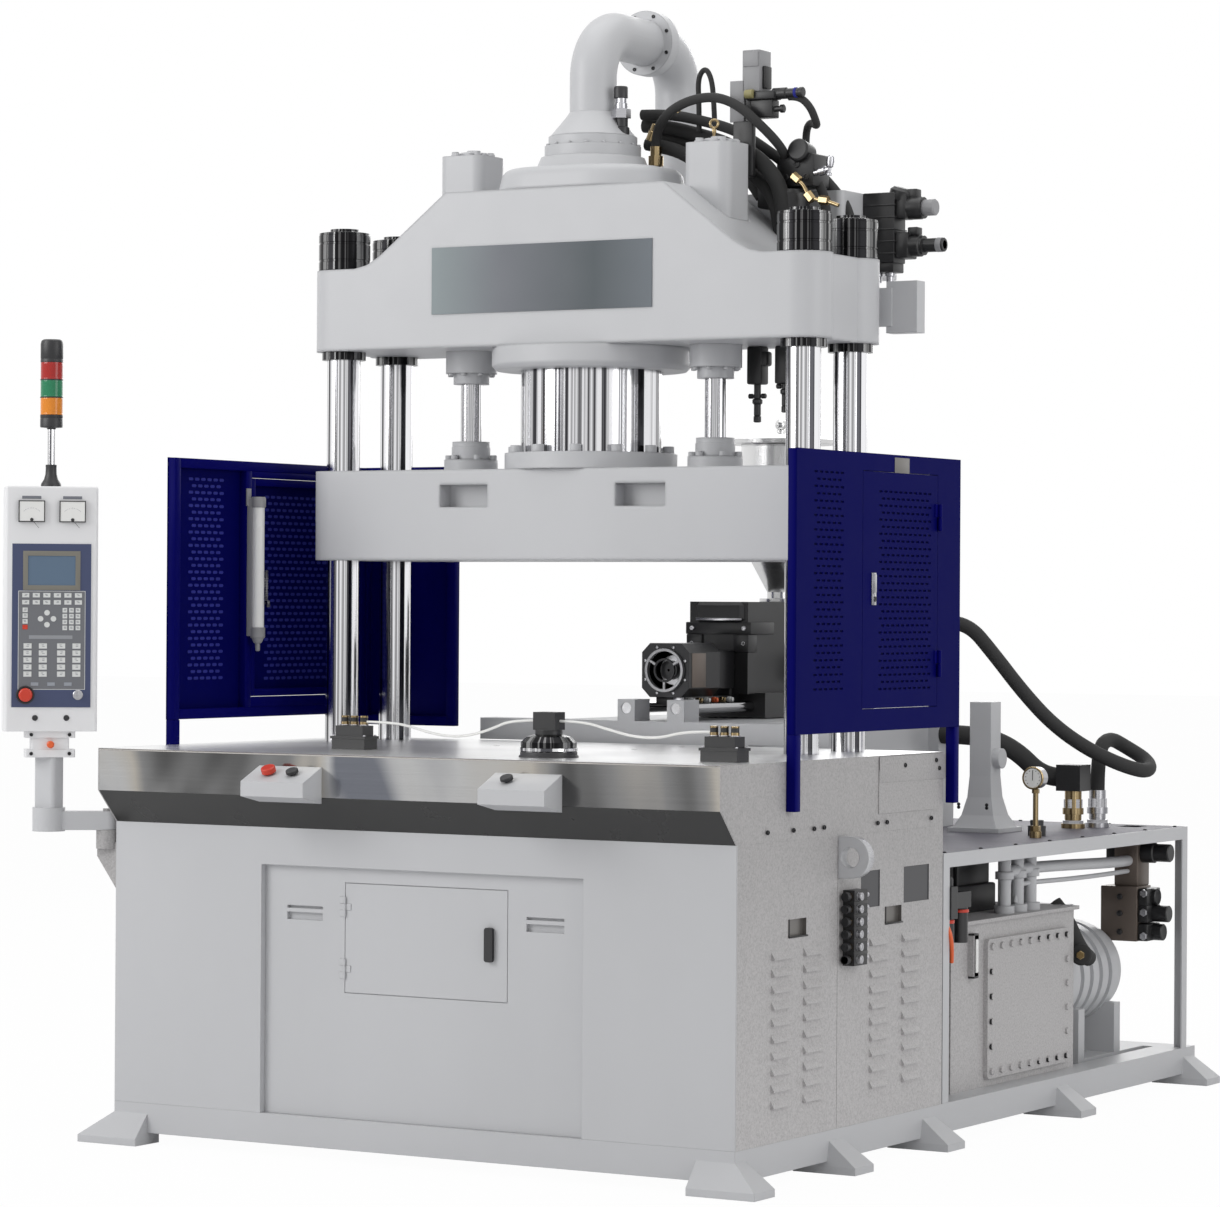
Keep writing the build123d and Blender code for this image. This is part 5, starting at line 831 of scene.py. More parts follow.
def make_guards():
    """Both side guards with their doors."""
    right = {
        "guard_sheet": (guard_sheet(), "frame", "guard_sheet_enamel"),
        "guard_bars": (guard_bars(), "frame", "guard_bar_enamel"),
        "door_sheet": (guard_door_sheet(), "right_door", "guard_sheet_enamel"),
        "door_leaf": (guard_leaf(), "right_door", "guard_bar_enamel"),
    }
    latch, lock = door_latch("latch")
    right["latch"] = (latch, "right_door", "bright_screw")
    right["latch_lock"] = (lock, "right_door", "black_moulding")
    right["latch_lever"] = (inner_handle(), "right_door", "bright_screw")
    pieces = {}
    for name, (piece, body, finish) in right.items():
        twin = mirrored(piece, "left_" + name)
        piece.name = "right_" + name
        for side, rides_on in ((piece, body), (twin, body.replace("right", "left"))):
            if finish == "guard_sheet_enamel":
                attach(side, rides_on)
            else:
                dress(side, finish, rides_on)
        pieces[piece.name] = piece
        pieces[twin.name] = twin
    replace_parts(pieces["right_guard_sheet"], "right_guard")
    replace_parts(pieces["left_guard_sheet"], "left_guard")
    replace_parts(pieces["right_door_sheet"], "right_guard_door")
    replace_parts(pieces["left_door_sheet"], "left_guard_door")
    bare = block("right_guard_plate", 1114.8, 1116.4, 914, 1012, 2056, 2102, edge=0.5)
    dress(bare, "dull_plate", "frame")


def make_return_panel():
    """The left guard's return at the back."""
    cluster("left_guard_return", "guard_bar_enamel", boxes=[
        (-1085, -735, 1397, 1400, 1250, 2110, 2), (-1115, -1083, 1370, 1400, 1250, 2110, 2),
        (-767, -735, 1370, 1398, 1250, 2110, 2), (-1083, -767, 1370, 1398, 2078, 2110, 2),
        (-1083, -767, 1370, 1398, 1250, 1282, 2),
    ])


def make_guard_lamp():
    """Machine lamp: a dark channel with a white tube, end caps, a bracket and its cable gland."""
    x, y = -1051, 697
    axis = stand(x - 3, y, 0)
    tube = [(17, 1575), (20, 1576), (20, 1961), (17, 1962)]
    cluster("guard_lamp_tube", "lamp_white", turned=[(tube, 36, axis)])
    cluster(
        "guard_lamp_body", "grey_box",
        boxes=[(-1085, x - 10, y - 21, y + 21, 1548, 1990, 3), (-1085, -1079, y - 26, y - 4, 1966, 2022, 1)],
        turned=[
            ([(22, 1542), (24, 1545), (24, 1574), (22, 1576)], 36, axis),
            ([(22, 1961), (24, 1963), (24, 1990), (21, 1995)], 36, axis),
            ([(5, 1500), (8, 1503), (8, 1524), (14, 1528), (20, 1542)], 24, axis),
        ],
    )


def key_top(width, height, round_key=False):
    """One key of the membrane panel at the origin: a low cushion with a dished top."""
    if round_key:
        return lathe("key", [(width / 2, 0), (width / 2, 0.9), (width / 2 - 0.8, 1.6),
                             (width / 2 - 2.2, 1.3)], sides=20)
    deselect()
    bpy.ops.mesh.primitive_cube_add(size=1)
    piece = bpy.context.object
    piece.scale = (width / 1000, height / 1000, 0.0018)
    piece.location = (0, 0, 0.0007)
    bpy.ops.object.transform_apply(location=True, rotation=True, scale=True)
    bpy.ops.object.mode_set(mode="EDIT")
    select_faces(piece, lambda face: face.normal.z > 0.5)
    bpy.ops.mesh.inset(thickness=0.0014, depth=0.0002)
    bpy.ops.mesh.inset(thickness=0.0010, depth=-0.0003)
    bpy.ops.object.mode_set(mode="OBJECT")
    return smooth(piece, 50)


def on_face(x, z, out=60.5):
    """Where a piece with its foot at the origin stands on the panel's front."""
    return panel_stand(x, -out, z, FRONT) @ Matrix.Rotation(math.pi, 4, "Z")


KEY_FIELDS = (
    ("key_wide", 21.5, 13.5, "key_white", [(x, z) for z in (1674.5, 1653) for x in
                                           (-78.5, -46.5, -14.5, 17.5, 49.5, 81.5)]),
    ("key_side", 15.5, 14, "key_white", [(-80, z) for z in (1629.5, 1612, 1594.5)]),
    ("key_number", 14, 14, "key_white", [(x, z) for z in (1629, 1611, 1593, 1575) for x in
                                         (40.5, 60.5, 80.5)]),
    ("key_lower", 24.5, 16, "key_white", [(x, z) for z in (1519.5, 1498, 1476.5, 1455, 1433.5)
                                          for x in (-72, -25.5, 30, 76.5)]),
    ("key_small", 23, 10.5, "key_grey", [(x, 1403) for x in (-50, 0, 51)]),
)


def make_panel_keys():
    """The film's keys with their marks: white and grey rows, four round ones and a red one."""
    for name, width, height, finish, spots in KEY_FIELDS:
        piece = copies(key_top(width, height), name, [on_face(x, z) for x, z in spots])
        dress(piece, finish, "panel")
    arrows = [(-13.5, 1621), (-33, 1602.5), (6, 1602.5), (-13.5, 1584.5)]
    arrow_keys = copies(key_top(17, 17, True), "key_arrow", [on_face(x, z) for x, z in arrows])
    dress(arrow_keys, "key_white", "panel")
    dress(copies(key_top(15.5, 14), "key_red", [on_face(-80, 1577)]), "red_moulding", "panel")
    marks = []
    mark = block("key_mark", -3.6, 3.6, -0.75, 0.75, 0, 0.25, edge=0)
    put(mark, Matrix.Translation(-MIDDLE))
    for name, width, height, finish, spots in KEY_FIELDS[:4]:
        tall = height / 2 - 4.6
        for count, (x, z) in enumerate(spots):
            marks.append(on_face(x - 0.08 * width * (count % 3 - 1), z + tall, 62.0))
            marks.append(on_face(x + 0.06 * width * (count % 2), z - tall * 0.4, 62.0))
    dress(copies(mark, "key_marks", marks), "key_print", "panel")


def flat_plate(name, x0, x1, z0, z1):
    """A flat rectangle at the origin, in edit mode with its face selected."""
    deselect()
    bpy.ops.mesh.primitive_plane_add(size=1)
    piece = bpy.context.object
    piece.name = name
    piece.scale = ((x1 - x0) / 1000, (z1 - z0) / 1000, 1)
    bpy.ops.object.transform_apply(location=True, rotation=True, scale=True)
    bpy.ops.object.mode_set(mode="EDIT")
    bpy.ops.mesh.select_mode(type="FACE")
    bpy.ops.mesh.select_all(action="SELECT")
    return piece


def frame_strip(name, x0, x1, z0, z1, width, out, thick):
    """A thin rectangular frame on the panel's front."""
    piece = flat_plate(name, x0, x1, z0, z1)
    bpy.ops.mesh.inset(thickness=width / 1000, depth=0)
    bpy.ops.mesh.delete(type="FACE")
    bpy.ops.mesh.select_all(action="SELECT")
    bpy.ops.mesh.normals_make_consistent(inside=False)
    bpy.ops.object.mode_set(mode="OBJECT")
    apply(piece, "SOLIDIFY", thickness=thick / 1000, offset=0)
    apply(piece, "BEVEL", width=min(thick, width) * 0.0002, segments=2, limit_method="ANGLE")
    return smooth(put(piece, on_face((x0 + x1) / 2, (z0 + z1) / 2, out)), 30)


def sunk_screen(name, x0, x1, z0, z1, out, deep, edge):
    """A flat display behind a raised lip."""
    piece = flat_plate(name, x0, x1, z0, z1)
    bpy.ops.mesh.inset(thickness=edge / 1000, depth=0)
    bpy.ops.mesh.inset(thickness=edge / 4000, depth=-deep / 1000)
    bpy.ops.object.mode_set(mode="OBJECT")
    return smooth(put(piece, on_face((x0 + x1) / 2, (z0 + z1) / 2, out)), 30)


def make_panel_screen():
    """The screen in its bezel, the key field with its border, and what stands below it."""
    tint("control_panel", "overlay_film", lambda s: s.y < -59 and 1330 < s.z < 1834, on_panel)
    tint("control_panel", "black_moulding", lambda s: s.y < -57.8 and s.z > 1896, on_panel)
    tint("control_panel", "orange_plastic", lambda s: abs(s.x) < 12 and s.y < -42.5 and 1205 < s.z < 1232,
         on_panel)
    dress(frame_strip("screen_bezel", -87, 87, 1690, 1810, 15, 61.4, 2.2), "bezel_khaki", "panel")
    screen = sunk_screen("screen", -73, 73, 1703.5, 1796.5, 62.0, 1.4, 2)
    dress(screen, "screen_glass", "panel")
    dress(frame_strip("key_border", -101, 103, 1386, 1688, 1.6, 60.75, 0.7), "key_white", "panel")
    field = block("key_field", -99.4, 101.4, -60.9, -60.2, 1387.6, 1686.4, edge=0.2, rounds=1)
    put(field, panel_shift())
    dress(field, "key_field_grey", "panel")
    title = block("key_title", -68, 64, -61.2, -60.6, 1541, 1552, edge=0.2, rounds=1)
    put(title, panel_shift())
    dress(title, "key_field_pale", "panel")
    dots = lathe("panel_caps", [(9, 0), (9, 1.5), (7.5, 3.5), (2, 4.2)], sides=28)
    caps = copies(dots, "panel_caps", [on_face(x, 1299.5, 57.5) for x in (-48, 47.5)])
    dress(caps, "black_moulding", "panel")
    ring = lathe("stop_ring", [(28, 0), (28, 2.2), (27, 3.2), (23, 3.2), (22.2, 0.4)], sides=40)
    dress(copies(ring, "stop_ring", [on_face(-78, 1370)]), "black_moulding", "panel")
    collar = lathe("key_collar", [(15.5, 0), (15.5, 2.6), (14.2, 3.8), (11.3, 3.8), (11.3, 1)], sides=32)
    dress(copies(collar, "key_collar", [on_face(82, 1370)]), "bright_screw", "panel")


def panel_shift():
    """Carries a piece drawn at the origin's axes onto the turned panel."""
    turned = Matrix.Rotation(PANEL_TURN, 4, "Z")
    return Matrix.Translation(place(PANEL_AXIS[0], PANEL_AXIS[1], 0)) @ turned @ Matrix.Translation(-MIDDLE)


def make_meters():
    """Two square meters: a thin dark rim, a white dial with its scale, a needle and its pivot."""
    rims, dials, marks, needles = [], [], [], []
    for x in (-62, 62):
        rims.append(frame_strip("meter_rim", x - 40, x + 40, 1898, 1964, 3, 67.4, 1.8))
        dials.append(sunk_screen("meter_dial", x - 37, x + 37, 1901, 1961, 67.5, 0.5, 1.5))
        pivot = lathe("meter_pivot", [(5.2, 0), (5.2, 1.2), (3.6, 2.2)], sides=20)
        rims.append(put(pivot, on_face(x, 1905.5, 66.9)))
        for count in range(11):
            angle = math.radians(-42 + 8.4 * count)
            reach = 34
            spot = on_face(x + reach * math.sin(angle), 1907 + reach * math.cos(angle), 67.0)
            long = 2.6 if count % 5 == 0 else 1.6
            tick = block("meter_tick", -0.35, 0.35, -long, long, 0, 0.25, edge=0)
            put(tick, Matrix.Translation(-MIDDLE))
            marks.append(put(tick, spot @ Matrix.Rotation(angle, 4, "Z")))
        needle = block("meter_needle", -0.5, 0.5, 0, 33, 0, 0.4, edge=0)
        put(needle, Matrix.Translation(-MIDDLE))
        needles.append(put(needle, on_face(x, 1905.5, 67.4) @ Matrix.Rotation(math.radians(40), 4, "Z")))
        strip = block("meter_strip", x - 29, x + 29, -58.3, -57.3, 1969, 1978, edge=0.3, rounds=1)
        marks.append(put(strip, panel_shift()))
    dress(joined(rims, "meter_rims"), "black_moulding", "panel")
    dress(joined(dials, "meter_dials"), "meter_face", "panel")
    dress(joined(marks, "meter_marks"), "key_print", "panel")
    dress(joined(needles, "meter_needles"), "black_moulding", "panel")


def make_tower():
    """Signal tower: flared foot, bright pole, black base and cap, and three ribbed lenses."""
    where = Matrix.Translation(place(*PANEL_AXIS, 0)) @ Matrix.Rotation(PANEL_TURN, 4, "Z")
    foot = [(31, 2008), (31, 2014), (29, 2019), (22, 2030), (17.5, 2046), (16.5, 2066), (17, 2069),
            (17, 2075), (11.5, 2076)]
    base = [(12.5, 2184), (14, 2188), (33, 2190), (34.5, 2192), (34.5, 2216), (33.6, 2218), (34.5, 2220),
            (34.5, 2228)]
    cap = [(34.5, 2390), (34.5, 2398), (33.6, 2400), (34.5, 2402), (34.5, 2446), (32, 2456), (26, 2460)]
    parts = [lathe("tower_black", run, sides=56) for run in (foot, base, cap)]
    for z in (2282, 2336):
        rib = [(33.8, z - 2), (35, z - 1.4), (35, z + 1.4), (33.8, z + 2)]
        parts.append(lathe("tower_black", rib, sides=56))
    black = put(joined(parts, "tower_body"), where)
    dress(black, "black_moulding", "panel")
    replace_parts(black, "signal_tower")
    pole = lathe("tower_pole", [(11, 2070), (11, 2186)], sides=32, where=where)
    dress(pole, "chrome_pole", "panel")
    for name, low in (("amber", 2228), ("green", 2282), ("red", 2336)):
        shell = [(33.4, low + 0.5)]
        steps = 9
        for step in range(steps):
            z = low + 1.5 + 51 * step / steps
            shell += [(34.2, z + 1), (33.5, z + 4.6)]
        shell.append((33.4, low + 53.5))
        lens = lathe("tower_" + name, shell, sides=56)
        smooth(lens, 60)
        dress(put(lens, where), name + "_lens", "panel")


def make_arm_trim():
    """Lock knob and clamp screws of the arm's coupling."""
    knob = lathe("lock_knob", [(4, 0), (4, 5), (10.5, 6), (11.5, 9), (11, 15), (8, 17.5)], sides=28)
    dress(copies(knob, "lock_knob", [on_face(0, 1218, 45)]), "orange_plastic", "panel")
    screws = [panel_stand(x, y, z, FRONT) for x, y, z in
              ((-58, -48.5, 1248), (58, -48.5, 1248), (-58, -46.5, 1190), (58, -46.5, 1190))]
    dress(copies(bolt(radius=5.5, height=4), "coupling_screws", screws), "black_oxide", "panel")


TOP_PIPES = (
    (34, [(70, 1200, 3214), (166, 1200, 3212), (283, 1200, 3186), (399, 1200, 3152), (490, 1215, 3100),
          (560, 1290, 3030)]),
    (46, [(60, 1232, 3184), (140, 1232, 3176), (247, 1232, 3148), (364, 1232, 3112), (455, 1240, 3056),
          (520, 1300, 2990)]),
    (44, [(96, 1190, 3120), (150, 1185, 3108), (210, 1185, 3092), (270, 1190, 3060), (330, 1200, 3006)]),
    (40, [(110, 1240, 3140), (230, 1250, 3120), (340, 1250, 3078), (420, 1250, 3020), (470, 1260, 2940)]),
    (52, [(440, 1160, 3090), (500, 1150, 3062), (560, 1152, 3008), (596, 1165, 2940), (600, 1180, 2820)]),
    (44, [(450, 1190, 3022), (500, 1182, 2990), (540, 1182, 2950), (572, 1185, 2880), (576, 1190, 2800)]),
    (36, [(600, 1330, 3040), (640, 1332, 3010), (694, 1336, 2952), (740, 1340, 2890), (752, 1345, 2800)]),
    (30, [(650, 1250, 3010), (690, 1250, 2960), (706, 1250, 2890), (706, 1250, 2800)]),
)
LOOP_PIPE = [(278, 1200, 3150), (277, 1200, 3235), (272, 1200, 3320), (298, 1200, 3352), (321, 1200, 3318),
             (330, 1200, 3250), (334, 1200, 3165)]
BRASS_LINE = [(641, 1150, 2990), (655, 1150, 2976), (678, 1150, 2958), (690, 1150, 2930), (712, 1150, 2914),
              (760, 1150, 2906), (800, 1150, 2890)]


def curve_through(name, points, diameter, steps, sides):
    """A round pipe on one smooth curve whose control points are the route's."""
    deselect()
    curve = bpy.data.curves.new(name, "CURVE")
    curve.dimensions = "3D"
    line = curve.splines.new("NURBS")
    line.points.add(len(points) - 1)
    for point, spot in zip(line.points, points):
        point.co = (*place(*spot), 1)
    line.order_u = 3
    line.use_endpoint_u = True
    line.resolution_u = steps
    curve.bevel_depth = diameter / 2
    curve.bevel_resolution = sides
    curve.use_fill_caps = True
    piece = bpy.data.objects.new(name, curve)
    bpy.context.collection.objects.link(piece)
    return piece


def pipe_run(name, points, diameter):
    """A bent pipe through points, as a mesh."""
    pick(curve_through(name, points, diameter / 1000, steps=8, sides=5))
    bpy.ops.object.convert(target="MESH")
    return smooth(bpy.context.object, 40)


def ring_of(count, radius, x, y, z, direction=UP, start=0.0):
    """Places evenly round an upright axis."""
    turns = [start + TAU * step / count for step in range(count)]
    return [
        stand(x + radius * math.cos(turn), y + radius * math.sin(turn), z, direction) for turn in turns
    ]


def make_name_plate():
    """The bare brushed plate on the top platen's front, with a painted reflection across it."""
    tint("top_platen", "plate_sheet", inside(-444, 360, 700, 768.6, 2562, 2780))


def make_clamp_bolts():
    """Bolts and nuts of the ram's ring, the rod feet, the glands, the heads and the prefill pipe."""
    tint("rams", "soft_casting", lambda s: s.z < 2131 and math.hypot(s.x, s.y - CLAMP_Y) > 226)
    rise = math.radians(-59.6 + 19)
    ring = bolt(radius=18, height=23, socket=0.5)
    dress(copies(ring, "ram_bolts", ring_of(12, 248, 0, CLAMP_Y, 2130, start=rise)), "soft_casting", "platen")
    feet, glands, heads = [], [], []
    rods = (-BOOSTER_X, BOOSTER_X)
    for x in rods:
        feet += ring_of(6, 74, x, CLAMP_Y, ROD_FOOT, start=0.3)
        glands += ring_of(8, 71, x, CLAMP_Y, 2392, DOWN, start=0.2)
        heads += ring_of(8, 62, x, CLAMP_Y, BOOSTER_TOP, start=0.39)
    dress(copies(bolt(radius=11, height=15), "rod_foot_bolts", feet), "soft_casting", "platen")
    dress(copies(bolt(radius=9, height=9), "gland_bolts", glands), "soft_casting", "frame")
    dress(copies(bolt(radius=9.5, height=10), "head_bolts", heads), "soft_casting", "frame")
    nut = [(60, 0), (62, 3), (62, 40), (56, 46), (56, 52), (48, 58), (34.5, 58)]
    cluster("rod_nuts", "soft_casting", turned=[(nut, 40, stand(x, CLAMP_Y, ROD_FOOT)) for x in rods],
            body="platen")
    cap = [(44, 0), (44, 10), (41, 14), (20, 14), (20, 20), (17, 22)]
    cluster("head_caps", "soft_casting", turned=[(cap, 40, stand(x, CLAMP_Y, BOOSTER_TOP)) for x in rods])
    small = bolt(radius=5.5, height=7)
    dress(copies(small, "pipe_foot_bolts", ring_of(16, 146, 0, CLAMP_Y, 3096)), "soft_casting", "frame")
    screws = []
    for step in range(8):
        turn = TAU * (step + 0.5) / 8
        screws.append(stand(90 * math.cos(turn), 1330, 3463 + 90 * math.sin(turn), FRONT))
    dress(copies(bolt(radius=6, height=4), "pipe_joint_screws", screws), "black_oxide", "frame")
    flare = [(139, 3126), (133, 3131), (104, 3166), (86, 3188), (75, 3204)]
    cluster("pipe_flare", "soft_casting", turned=[(flare, 64, stand(0, CLAMP_Y, 0))])


def make_nut_rims():
    """Turned rims and end caps that give the black nuts their grooves."""
    places = [stand(x, y, 2722) for x in (-835, 835) for y in (857, 1167)]
    rims = (("nut_low_rims", 0.5, 30), ("nut_middle_rims", 34, 86), ("nut_high_rims", 90, 116))
    for name, low, high in rims:
        rim = lathe(name, [(80, low), (82.6, low + 2), (82.6, high - 2), (80, high)], sides=56)
        dress(copies(rim, name, places), "black_turned", "frame")
    top = lathe("nut_tops", [(79, 121.6), (70, 124), (50, 124), (47, 128)], sides=56)
    dress(copies(top, "nut_tops", places), "black_turned", "frame")


def make_top_pipes():
    """The black pipes behind the right booster, the loop, the brass line and the breather."""
    runs = [pipe_run("pipe", points, thick) for thick, points in TOP_PIPES]
    runs.append(pipe_run("pipe", LOOP_PIPE, 17))
    dress(joined(runs, "top_pipes"), "hose_rubber", "frame")
    brass = [pipe_run("brass_line", BRASS_LINE, 13)]
    for x, y, z, way in ((641, 1150, 2990, (0.6, 0, -0.5)), (690, 1150, 2932, (0.5, 0, -0.6)),
                         (735, 1150, 2911, (1, 0, -0.15))):
        nut = hexagon("brass_nut", 26, 30)
        brass.append(put(nut, stand(x, y, z, way)))
    brass.append(lathe("sleeve", [(13, 0), (15, 2), (15, 30), (13, 32), (13, 54), (11, 56)], sides=24,
                       where=stand(128, 1150, 3124, (0.45, 0, 1))))
    brass.append(lathe("sleeve", [(11, 0), (12, 2), (12, 66), (10.5, 68)], sides=24,
                       where=stand(142, 1198, 3212, (1, 0, -0.02))))
    dress(joined(brass, "brass_fittings"), "yellow_brass", "frame")
    bright = [
        put(hexagon("hex", 52, 30), stand(110, 1000, 3180)),
        lathe("neck", [(20, 0), (20, 20), (17, 22), (17, 46)], sides=28, where=stand(110, 1000, 3206)),
        lathe("band", [(30, 738), (31.5, 740), (31.5, 752), (30, 754)], sides=32,
              where=stand(756, 1345, 2120)),
    ]
    dress(joined(bright, "top_bright_nuts"), "bright_screw", "frame")
    cap = lathe("breather_cap", [(17, 3242), (22, 3244), (22, 3276), (20, 3280)], sides=28,
                where=stand(108, 1000, 0))
    post = lathe("cap_post", [(24, 3124), (24, 3150), (19, 3154), (19, 3182)], sides=28,
                 where=stand(112, 1000, 0))
    dress(joined([cap, post], "breather"), "black_moulding", "frame")


def lifting_eye(name, x, y, z):
    """Brass eye hook with its shank and foot nut."""
    deselect()
    bpy.ops.mesh.primitive_torus_add(
        major_radius=0.0125, minor_radius=0.0045, major_segments=28, minor_segments=10
    )
    eye = bpy.context.object
    eye.name = name
    put(smooth(eye, 60), stand(x, y, z + 62, (0.4, -1, 0)))
    shank = lathe(name, [(11, 0), (11, 8), (6, 10), (5, 30), (7, 34), (7, 46), (4.5, 50)], sides=20,
                  where=stand(x, y, z))
    return joined([eye, shank], name)


def make_switch_box():
    """Pressure switch box with its plate, its connectors and the small valve under it."""
    cluster("switch_box", "grey_box", boxes=[
        (486, 547, 1100, 1176, 3252, 3382, 3), (490, 543, 1096, 1101, 3330, 3376, 1.5),
        (443, 492, 1100, 1106, 3160, 3288, 1),
    ])
    cluster(
        "switch_fittings", "black_iron",
        boxes=[
            (546, 560, 1118, 1158, 3262, 3332, 3), (500, 600, 1096, 1150, 3226, 3252, 4),
            (512, 590, 1104, 1152, 3170, 3226, 4), (478, 512, 1107, 1141, 2990, 3250, 2),
            (460, 530, 1088, 1112, 2990, 3160, 4),
        ],
        turned=[
            ([(17, 0), (18, 2), (18, 46), (14, 48), (14, 92), (16, 94), (16, 104), (13, 106)], 28,
             stand(586, 1120, 3243, RIGHT)),
            ([(9, 0), (9, 22), (13, 24), (13, 34), (10, 36)], 24, stand(588, 1122, 3196, RIGHT)),
        ],
    )
    seal = [(13, 0), (14, 1), (14, 26), (12, 27)]
    cluster("switch_seal", "khaki_rubber", turned=[(seal, 28, stand(502, 1094, 3244, RIGHT))])
    ring = [(14, 0), (16, 1.5), (16, 8.5), (14, 10)]
    cluster("switch_ring", "slot_inside", turned=[(ring, 28, stand(660, 1120, 3243, RIGHT))])


def make_manifold():
    """Oil manifold on the top tank with its plugs, ports and lever valve."""
    plug = [(11, 0), (11, 6), (6, 6), (6, 3)]
    cluster(
        "top_manifold", "black_iron",
        boxes=[
            (500, 604, 1301, 1405, 2955, 3083, 6), (566, 690, 1194, 1300, 2960, 3062, 6),
            (480, 600, 1210, 1300, 2900, 2990, 8),
        ],
        turned=[
            ([(20, 0), (20, 22), (16, 24)], 28, stand(586, 1337, 3083)),
            ([(56, 2736), (58, 2740), (58, 2940), (50, 2952), (20, 2955)], 40, stand(600, 1215, 0)),
            ([(34, 0), (36, 3), (36, 60), (30, 64)], 32, stand(640, 1240, 3062, (0, -1, 0.2))),
            *((plug, 24, stand(x, 1195, z, FRONT)) for x, z in ((590, 2990), (630, 3030), (664, 2990))),
        ],
    )
    cluster("lever_valve", "bright_screw", turned=[
        ([(9, 0), (9, 16), (14, 18), (14, 38), (9, 40), (9, 52)], 24, stand(690, 1200, 3000, (1, 0, 0.2))),
        ([(8, 0), (8, 8), (5, 10), (5, 24), (11, 28), (13, 44), (11, 58), (6, 62)], 24,
         stand(740, 1200, 2990, (0.1, 0, 1))),
    ])
    dress(lifting_eye("eye_hook", 436, CLAMP_Y, BOOSTER_TOP), "yellow_brass", "frame")


def make_valve_stack():
    """Valve stack on the tank's end: body with chamfers, end caps, coils and their pins."""
    y = 1482
    cluster(
        "valve_stack", "black_iron",
        boxes=[
            (735, 846, 1440, 1522, 2735, 2956, 4), (846, 890, 1446, 1516, 2748, 2830, 5),
            (846, 884, 1446, 1516, 2872, 2950, 8), (872, 912, 1464, 1500, 2936, 2966, 4),
            (880, 916, 1464, 1500, 2820, 2846, 4), (740, 842, 1444, 1520, 2706, 2736, 4),
            *((738, 850, 1437, 1525, z, z + 4, 1) for z in (2762, 2800, 2838, 2876, 2914)),
        ],
        turned=[
            ([(38, 0), (40, 4), (40, 30), (30, 40), (14, 42)], 32, stand(846, y, 2932, (0.3, 0, 1))),
            ([(36, 0), (36, 40), (34, 44), (34, 50)], 32, stand(880, y, 2906, RIGHT)),
            ([(35, 0), (35, 34), (31, 38), (31, 46)], 32, stand(886, y, 2788, RIGHT)),
            ([(22, 0), (22, 70), (20, 72)], 28, stand(930, y, 2788, RIGHT)),
        ],
    )
    ends = [
        lathe("coil_pins", [(25, 0), (26, 2), (26, 42), (22, 46)], 28, stand(926, y, 2906, RIGHT)),
        lathe("coil_pins", [(22, 0), (23, 2), (23, 18), (14, 26)], 28, stand(976, y, 2788, RIGHT)),
    ]
    for bolt_y in (1452, 1510):
        ends.append(put(bolt(radius=6, height=5), stand(862, bolt_y, 2950)))
    dress(joined(ends, "coil_pins"), "grey_box", "frame")
    union = [(12, 0), (12, 18), (16, 20), (16, 30), (12, 32)]
    cluster("stack_unions", "bright_screw", turned=[(union, 24, stand(x, y, 2676)) for x in (770, 812)])


def make_limit_switches():
    """Two limit switches under the top platen: body, plunger, cross pin, spring and tip."""
    y, foot = 1142, 2344
    boxes, turned = [], []
    for x, reach in ((524, 96), (622, 67)):
        low = foot - reach
        boxes += [(x - 26, x + 26, 1116, 1168, foot, 2462, 6), (x - 28, x + 44, 1120, 1160, 2400, 2446, 8)]
        turned += [
            ([(11, low), (11, foot)], 24, stand(x, y, 0)),
            ([(12, 0), (16, 4), (16, 14), (12, 18)], 24, stand(x, y, low + 34)),
            ([(6, -30), (8, -28), (8, -16), (5, -14), (5, 14), (8, 16), (8, 28), (6, 30)], 20,
             stand(x, y, low + 60, RIGHT)),
            ([(8, low - 22), (12, low - 20), (12, low - 4), (9, low)], 24, stand(x, y, 0)),
        ]
    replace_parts(cluster("limit_switches", "black_iron", boxes, turned), "top_valves")


COVER_BOLTS = (
    (173, 1012), (330, 1012), (458, 1011), (520, 1012), (866, 1010), (928, 1010), (1230, 1010),
    (1048, 1177), (1261, 1186), (1283, 1161),
)
MANIFOLD_ROWS = tuple(600 + 37 * (row + 0.5) for row in range(6))


def make_side_trim():
    """Finishes of the water manifold, the windows and the pulls of the right side."""
    tint("side_fittings", "black_iron", inside(1085, 1123.5, 645, 736.5, 599, 823))
    tint("side_fittings", "black_moulding", inside(1085, 1124, 600, 645.5, 599, 823))
    tint("side_fittings", "yellow_brass", inside(1085, 1124, 645.2, 651.9, 599, 823))
    tint("side_fittings", "bright_screw",
         lambda s: s.x > 1123.5 and 640 < s.y < 740 or s.y > 736.5 and s.z < 823)
    for y0, y1 in ((767, 891), (1052, 1224)):
        tint("side_panels_right", "dark_glass", inside(1075, 1084.6, y0 - 1, y1 + 1, 760, 871))
    for y in PULL_SPOTS:
        tint("side_panels_right", "dull_plate", inside(1060, 1084.6, y - 58, y + 58, 703, 757))


def flow_knob():
    """Cap of a flow valve."""
    return lathe("flow_knob", [(5, -3), (12, -2), (13.6, 0), (13.6, 15), (11, 19)], sides=12)


